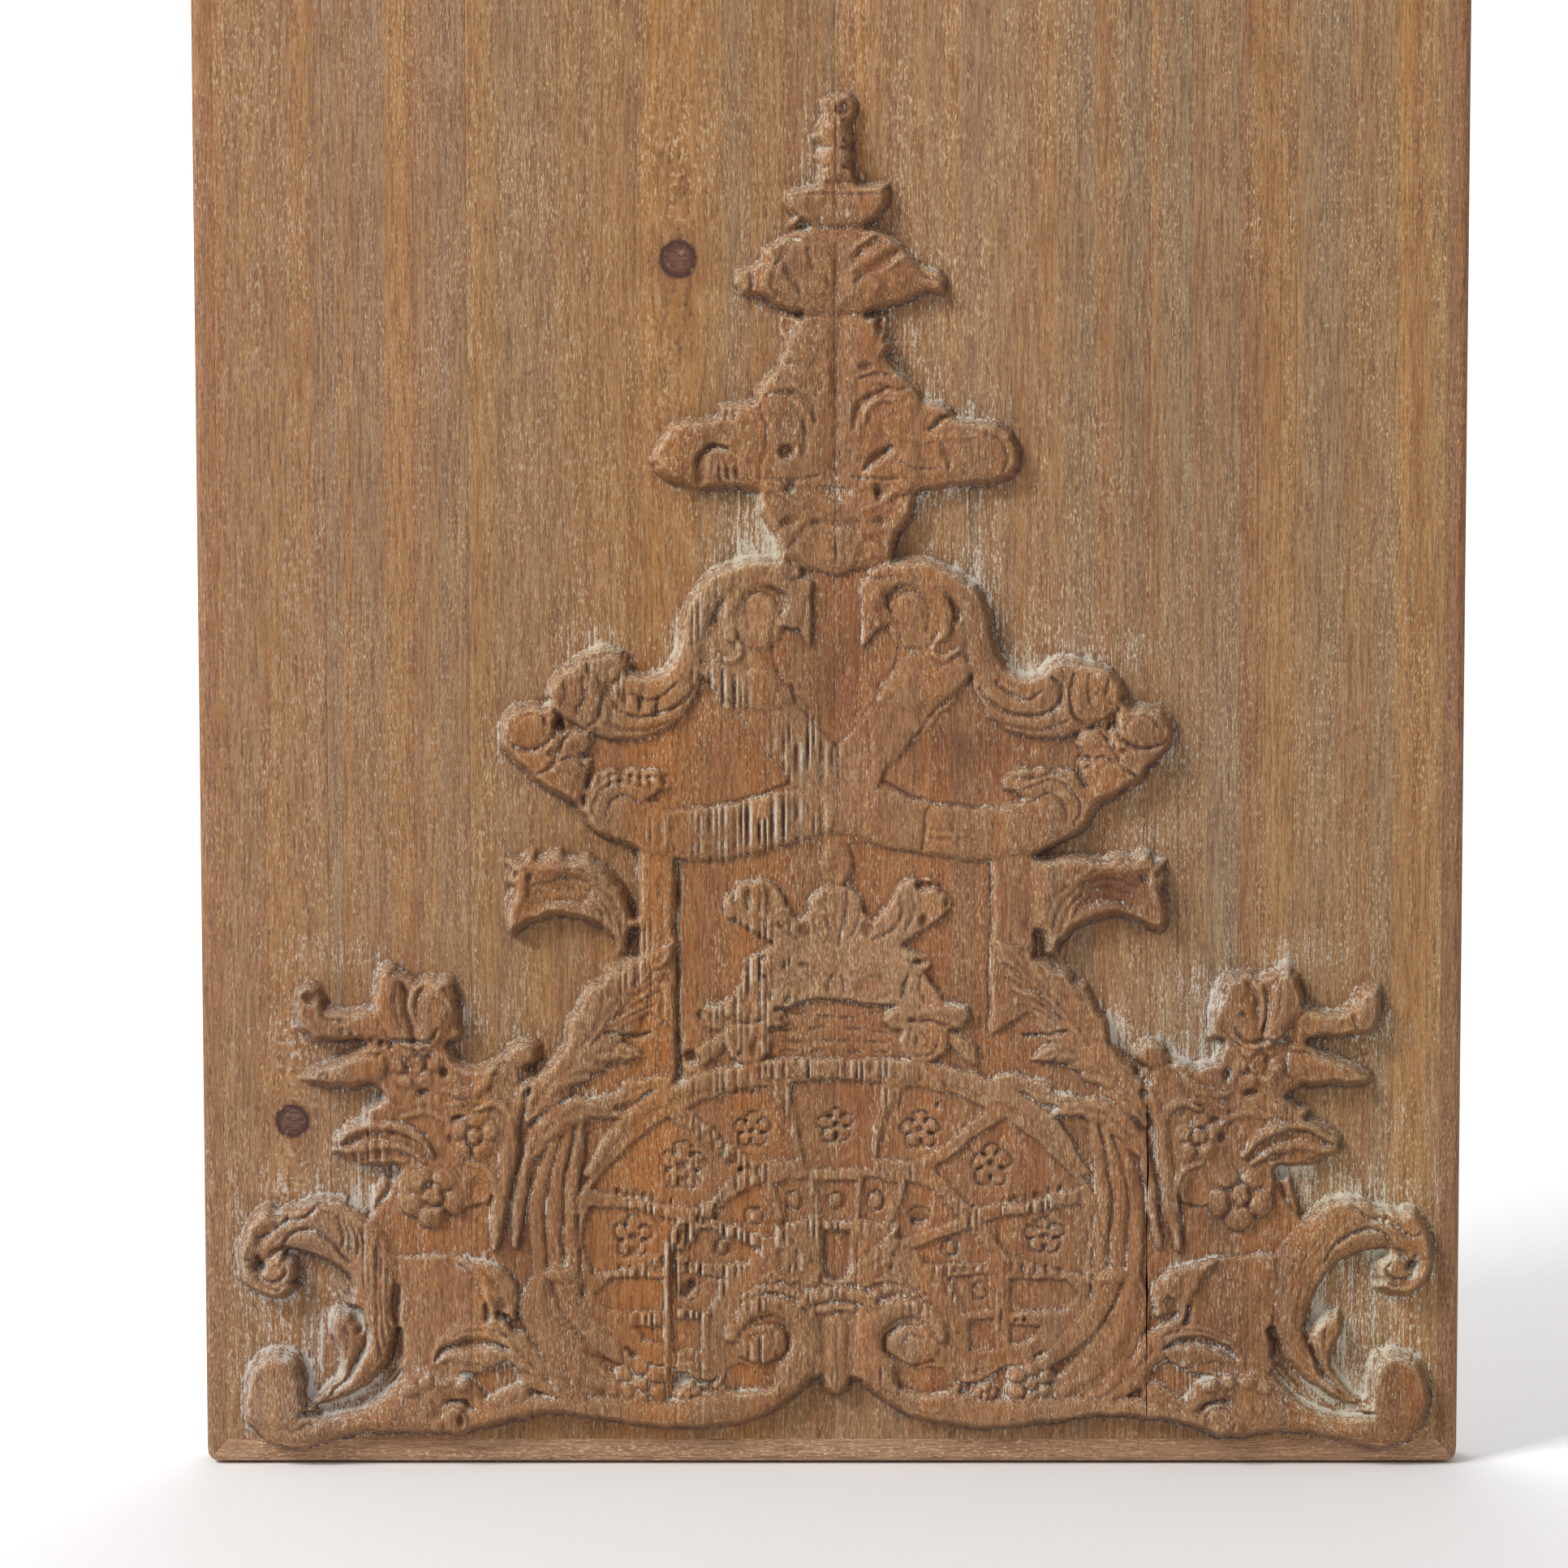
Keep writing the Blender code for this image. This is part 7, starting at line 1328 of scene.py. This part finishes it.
def woodFinish(name, shift, tone, greyShare, lines, lineWidth, knots=(), alongX=False):
    f = Finish(name)
    moved = f.add("ShaderNodeMapping")
    moved.inputs["Location"].default_value = (shift, shift * 0.7, shift * 1.3)
    if alongX:
        moved.inputs["Rotation"].default_value = (0, math.pi / 2, 0)
    f.fill(moved.inputs["Vector"], f.place)
    place = moved.outputs[0]
    # the grain swings round a knot
    knotMask = None
    for knotX, knotZ, radius in knots:
        dx = f.math("SUBTRACT", f.x, knotX / 1000)
        dz = f.math("SUBTRACT", f.z, knotZ / 1000 - halfHeight / 1000)
        across = f.math("DIVIDE", dx, radius / 1000)
        upward = f.math("DIVIDE", dz, radius / 1000)
        away = f.math("SQRT", f.math("ADD", f.math("MULTIPLY", across, across), f.math("MULTIPLY", upward, upward)))
        fall = f.math("ADD", 1.0, f.math("ADD", f.math("MULTIPLY", f.math("MULTIPLY", across, across), 0.35),
                                         f.math("MULTIPLY", f.math("MULTIPLY", upward, upward), 0.012)))
        push = f.math("DIVIDE", f.math("MULTIPLY", across, radius / 1000 * 0.9), fall)
        swung = f.add("ShaderNodeCombineXYZ")
        f.fill(swung.inputs[0], f.math("MULTIPLY", push, -1.0))
        together = f.add("ShaderNodeVectorMath", operation="ADD")
        f.fill(together.inputs[0], place)
        f.fill(together.inputs[1], swung.outputs[0])
        place = together.outputs[0]
        ragged = f.math("ADD", away, f.ramp(f.grain(f.place, 500, 500, 2), 0, 1, -0.16, 0.16))
        knotMask = ragged
    broad = f.grain(place, 75, 0.9, 2.4, 0.5)
    streak = f.grain(place, 330, 2.2, 5, 0.65)
    fibre = f.grain(place, 1500, 90, 3, 0.7)
    pores = f.grain(place, 3000, 420, 2, 0.6)
    dashes = f.grain(place, 2300, 480, 2, 0.65)
    clump = f.grain(place, 140, 16, 4, 0.65)
    ringNoise = f.grain(place, lineWidth, 0.55, 1.0, 0.4)
    warm = f.ramp(f.math("ADD", f.math("MULTIPLY", broad, 0.76), f.math("MULTIPLY", streak, 0.24)), 0.37, 0.64)
    base = f.mix(warm, woodLook["grey"], woodLook["orange"])
    base = f.mix(f.ramp(f.grain(place, 110, 1.0, 3, 0.5), 0.50, 0.68, 0, 0.7), base, woodLook["red"])
    base = f.mix(greyShare * 0.4, base, woodLook["grey"])
    # growth lines: thin dark lines along the levels of a slow noise
    ring = f.math("ABSOLUTE", f.math("SUBTRACT", f.math("FRACT", f.math("MULTIPLY", ringNoise, 5.0)), 0.5))
    ringDark = f.math("MULTIPLY", f.ramp(ring, 0.0, 0.08, 0.85, 0.0), f.ramp(streak, 0.40, 0.60, 0.3, 1.0))
    base = f.mix(f.math("MULTIPLY", ringDark, 0.75 * lines), base, woodLook["dark"])
    base = f.mix(f.ramp(fibre, 0.30, 0.52, 0.6, 0.0), base, woodLook["dark"])
    base = f.mix(f.ramp(fibre, 0.50, 0.70, 0.0, 0.25), base, woodLook["cream"])
    base = f.mix(f.ramp(pores, 0.30, 0.46, 0.7, 0.0), base, woodLook["dark"])
    tinted = f.mix(1.0, base, woodLook["carvedTint"], "MULTIPLY")
    base = f.mix(f.attribute("carved"), base, tinted)
    base = f.mix(f.attribute("flat"), base, f.mix(1.0, base, woodLook["flatTint"], "MULTIPLY"))
    base = f.mix(f.math("MULTIPLY", f.attribute("near"), 0.7, clamp=True), base, tinted)
    # cream dashes left in the brushed grain, in clusters
    fleck = f.math("MULTIPLY", f.ramp(dashes, 0.54, 0.66), f.ramp(clump, 0.38, 0.62, 0.2, 1.0))
    base = f.mix(f.math("MULTIPLY", fleck, 0.8), base, woodLook["cream"])
    # painted highlight on proud edges together with wear rubbed pale, in cream
    wornAndHighlight = f.math("MULTIPLY", f.attribute("wornAndHighlight"), f.ramp(dashes, 0.40, 0.60, 0.15, 1.0))
    base = f.mix(f.math("MULTIPLY", wornAndHighlight, 0.58), base, woodLook["cream"])
    base = f.mix(f.math("MULTIPLY", f.attribute("stain"), 0.8, clamp=True), base, f.mix(0.62, base, woodLook["stain"]))
    # painted shade with grime: darkens the feet of walls, hollows and walls turned from the light
    dirtAndShade = f.math("MULTIPLY", f.attribute("grimeAndShade"), f.ramp(f.grain(place, 500, 120, 4, 0.6), 0.3, 0.6, 0.45, 0.95))
    base = f.mix(f.math("MULTIPLY", dirtAndShade, 0.72, clamp=True), base, woodLook["grimeAndShade"])
    # painted shade: dark lines in the creases
    base = f.mix(f.math("MULTIPLY", f.attribute("creaseShade"), 0.72, clamp=True), base, woodLook["line"])
    # lime wash with painted highlight on walls turned to the light: dashes and specks, closed only where most is left
    washAndHighlight = f.attribute("washAndHighlight")
    speck = f.grain(place, 2300, 1500, 3, 0.65)
    brush = f.math("ADD", f.math("MULTIPLY", dashes, 0.8), f.math("MULTIPLY", speck, 0.6))
    brush = f.math("ADD", brush, f.math("MULTIPLY", f.grain(place, 1000, 40, 3, 0.65), 0.9))
    washedAndHighlit = f.math("ADD", washAndHighlight, f.math("MULTIPLY", f.math("SUBTRACT", brush, 1.17), 2.8))
    washedAndHighlit = f.math("MULTIPLY", f.ramp(washedAndHighlit, 0.26, 0.80, 0.0, 0.84), f.ramp(washAndHighlight, 0.02, 0.10))
    base = f.mix(washedAndHighlit, base, woodLook["lime"])
    # upright tool marks: grooves darkened with painted shade, with a pale ridge beside each
    u = f.math("SUBTRACT", f.math("MULTIPLY", f.x, 1000.0), reliefShape["axis"])
    sway = f.math("MULTIPLY", f.math("SINE", f.math("MULTIPLY", u, 0.83)), toolMarks["sway"])
    part = f.math("FRACT", f.math("DIVIDE", f.math("ADD", u, sway), toolMarks["pitch"]))
    comb = f.attribute("comb")
    slit = f.math("SUBTRACT", f.math("ABSOLUTE", f.math("SUBTRACT", part, 0.3)), f.math("MULTIPLY", comb, 0.14))
    slit = f.ramp(slit, 0.03, 0.10, 1.0, 0.0)
    ridge = f.ramp(f.math("ABSOLUTE", f.math("SUBTRACT", part, 0.66)), 0.06, 0.12, 1.0, 0.0)
    base = f.mix(f.math("MULTIPLY", f.math("MULTIPLY", slit, f.ramp(comb, 0.2, 0.8)), 0.7), base, woodLook["line"])
    pale = f.math("MULTIPLY", f.math("MULTIPLY", ridge, f.ramp(comb, 0.2, 0.8)), f.ramp(speck, 0.38, 0.52, 0.35, 0.9))
    base = f.mix(pale, base, woodLook["lime"])
    if knotMask:
        ragged = knotMask
        inner = f.mix(f.ramp(ragged, 0.45, 0.85), f.mix(f.ramp(speck, 0.42, 0.60), plain(96, 64, 54), plain(126, 92, 74)),
                      plain(72, 46, 44))
        inner = f.mix(f.ramp(dashes, 0.62, 0.70, 0.0, 0.25), inner, woodLook["cream"])
        base = f.mix(f.ramp(ragged, 1.0, 2.4, 0.35, 0.0), base, plain(124, 84, 58))
        base = f.mix(f.ramp(ragged, 0.9, 1.08, 0.95, 0.0), base, inner)
    toned = f.mix(1.0, base, (*tone, 1.0), "MULTIPLY")
    f.fill(f.shader.inputs["Base Color"], toned)
    rough = f.math("ADD", woodLook["roughness"], f.math("MULTIPLY", washedAndHighlit, 0.14))
    f.fill(f.shader.inputs["Roughness"], rough)
    f.shader.inputs["Specular IOR Level"].default_value = 0.25
    height = f.math("ADD", f.math("MULTIPLY", fibre, 0.6), f.math("MULTIPLY", pores, 0.35))
    height = f.math("ADD", height, f.math("MULTIPLY", ringDark, -0.3 * lines))
    bump = f.add("ShaderNodeBump")
    bump.inputs["Strength"].default_value = 0.35
    bump.inputs["Distance"].default_value = 0.0005
    f.fill(bump.inputs["Height"], height)
    f.fill(f.shader.inputs["Normal"], bump.outputs[0])
    return f.material


print("stage: finishes")
for piece, name in zip(boards, boardShape["names"]):
    piece.data.materials.clear()
    piece.data.materials.append(woodFinish(name + "_wood", *boardLook[name], knots=knotShape.get(name, ())))
for piece, name, shift in zip(strips, edgingShape["names"], (11.3, 13.7, 15.9, 17.1)):
    piece.data.materials.clear()
    level = name in ("edging_bottom", "edging_top")
    tone, greyShare = ((1.30, 1.24, 1.26), 1.4) if level else ((0.86, 0.77, 0.76), 0.5)
    piece.data.materials.append(woodFinish(name + "_wood", shift, tone, greyShare, 0.3, 170, alongX=level))


# ---- floor, light and camera ----

studioShape = {
    "cameraPlace": (0.010, -1.320, 0.3141 - 0.508),
    "pitch": 4.1,
    "lens": 93.35,
    "shift": -0.0502,
    # each lamp's power, size, place and the point it is turned to
    "softbox": (60.0, 0.8, (-1.7, -1.35, 1.45), (0.0, -0.02, -0.25)),
    "backlight": (7.0, 0.5, (0.0, 0.4, 0.8), (0.0, 0.9, -0.45)),
    "skyLight": 0.45,
    "floorReach": 6.0,
    "cardReach": 0.64,
    "cardFoot": 0.6,
    "cardCurve": 0.5,
    "cardRise": 0.55,
}


def studio():
    # pale floor, and a card behind the panel that curves up from it, no wider than the camera sees
    ground = -halfHeight / 1000 - 0.0005
    paper = Finish("paleFloor")
    paper.shader.inputs["Base Color"].default_value = (0.93, 0.93, 0.93, 1)
    paper.shader.inputs["Roughness"].default_value = 0.9
    for name, rows, reach in (("floor", 1, studioShape["floorReach"]), ("backdrop", 160, studioShape["cardReach"])):
        shape = bmesh.new()
        bmesh.ops.create_grid(shape, x_segments=1, y_segments=rows, size=reach)
        for vertex in shape.verts:
            vertex.co.z = ground
            if name == "backdrop":
                turn = min(1.0, (vertex.co.y / reach + 1) / 1.4) * math.pi / 2
                rise = max(0.0, vertex.co.y / reach - 0.4) * studioShape["cardRise"]
                vertex.co.y = studioShape["cardFoot"] + studioShape["cardCurve"] * math.sin(turn)
                vertex.co.z += -0.00003 + studioShape["cardCurve"] * (1 - math.cos(turn)) + rise
        data = bpy.data.meshes.new(name)
        shape.to_mesh(data)
        shape.free()
        for face in data.polygons:
            face.use_smooth = True
        data.materials.append(paper.material)
        sheet = bpy.data.objects.new(name, data)
        bpy.context.scene.collection.objects.link(sheet)

    world = bpy.data.worlds.new("studio")
    world.use_nodes = True
    world.node_tree.nodes["Background"].inputs["Color"].default_value = (1, 1, 1, 1)
    world.node_tree.nodes["Background"].inputs["Strength"].default_value = studioShape["skyLight"]
    bpy.context.scene.world = world

    for name in ("softbox", "backlight"):
        power, size, start, aim = studioShape[name]
        lamp = bpy.data.lights.new(name, "AREA")
        lamp.energy = power
        lamp.shape = "SQUARE"
        lamp.size = size
        light = bpy.data.objects.new(name, lamp)
        light.location = start
        light.rotation_mode = "QUATERNION"
        light.rotation_quaternion = (Vector(aim) - Vector(start)).to_track_quat("-Z", "Y")
        bpy.context.scene.collection.objects.link(light)

    eye = bpy.data.cameras.new("camera")
    eye.sensor_width = 36
    eye.lens = studioShape["lens"]
    eye.shift_x = studioShape["shift"]
    eye.clip_start, eye.clip_end = 0.05, 50
    camera = bpy.data.objects.new("camera", eye)
    camera.location = studioShape["cameraPlace"]
    camera.rotation_euler = (math.radians(90 - studioShape["pitch"]), 0, 0)
    bpy.context.scene.collection.objects.link(camera)
    bpy.context.scene.camera = camera
    bpy.context.scene.view_settings.view_transform = "Standard"


print("stage: studio")
studio()
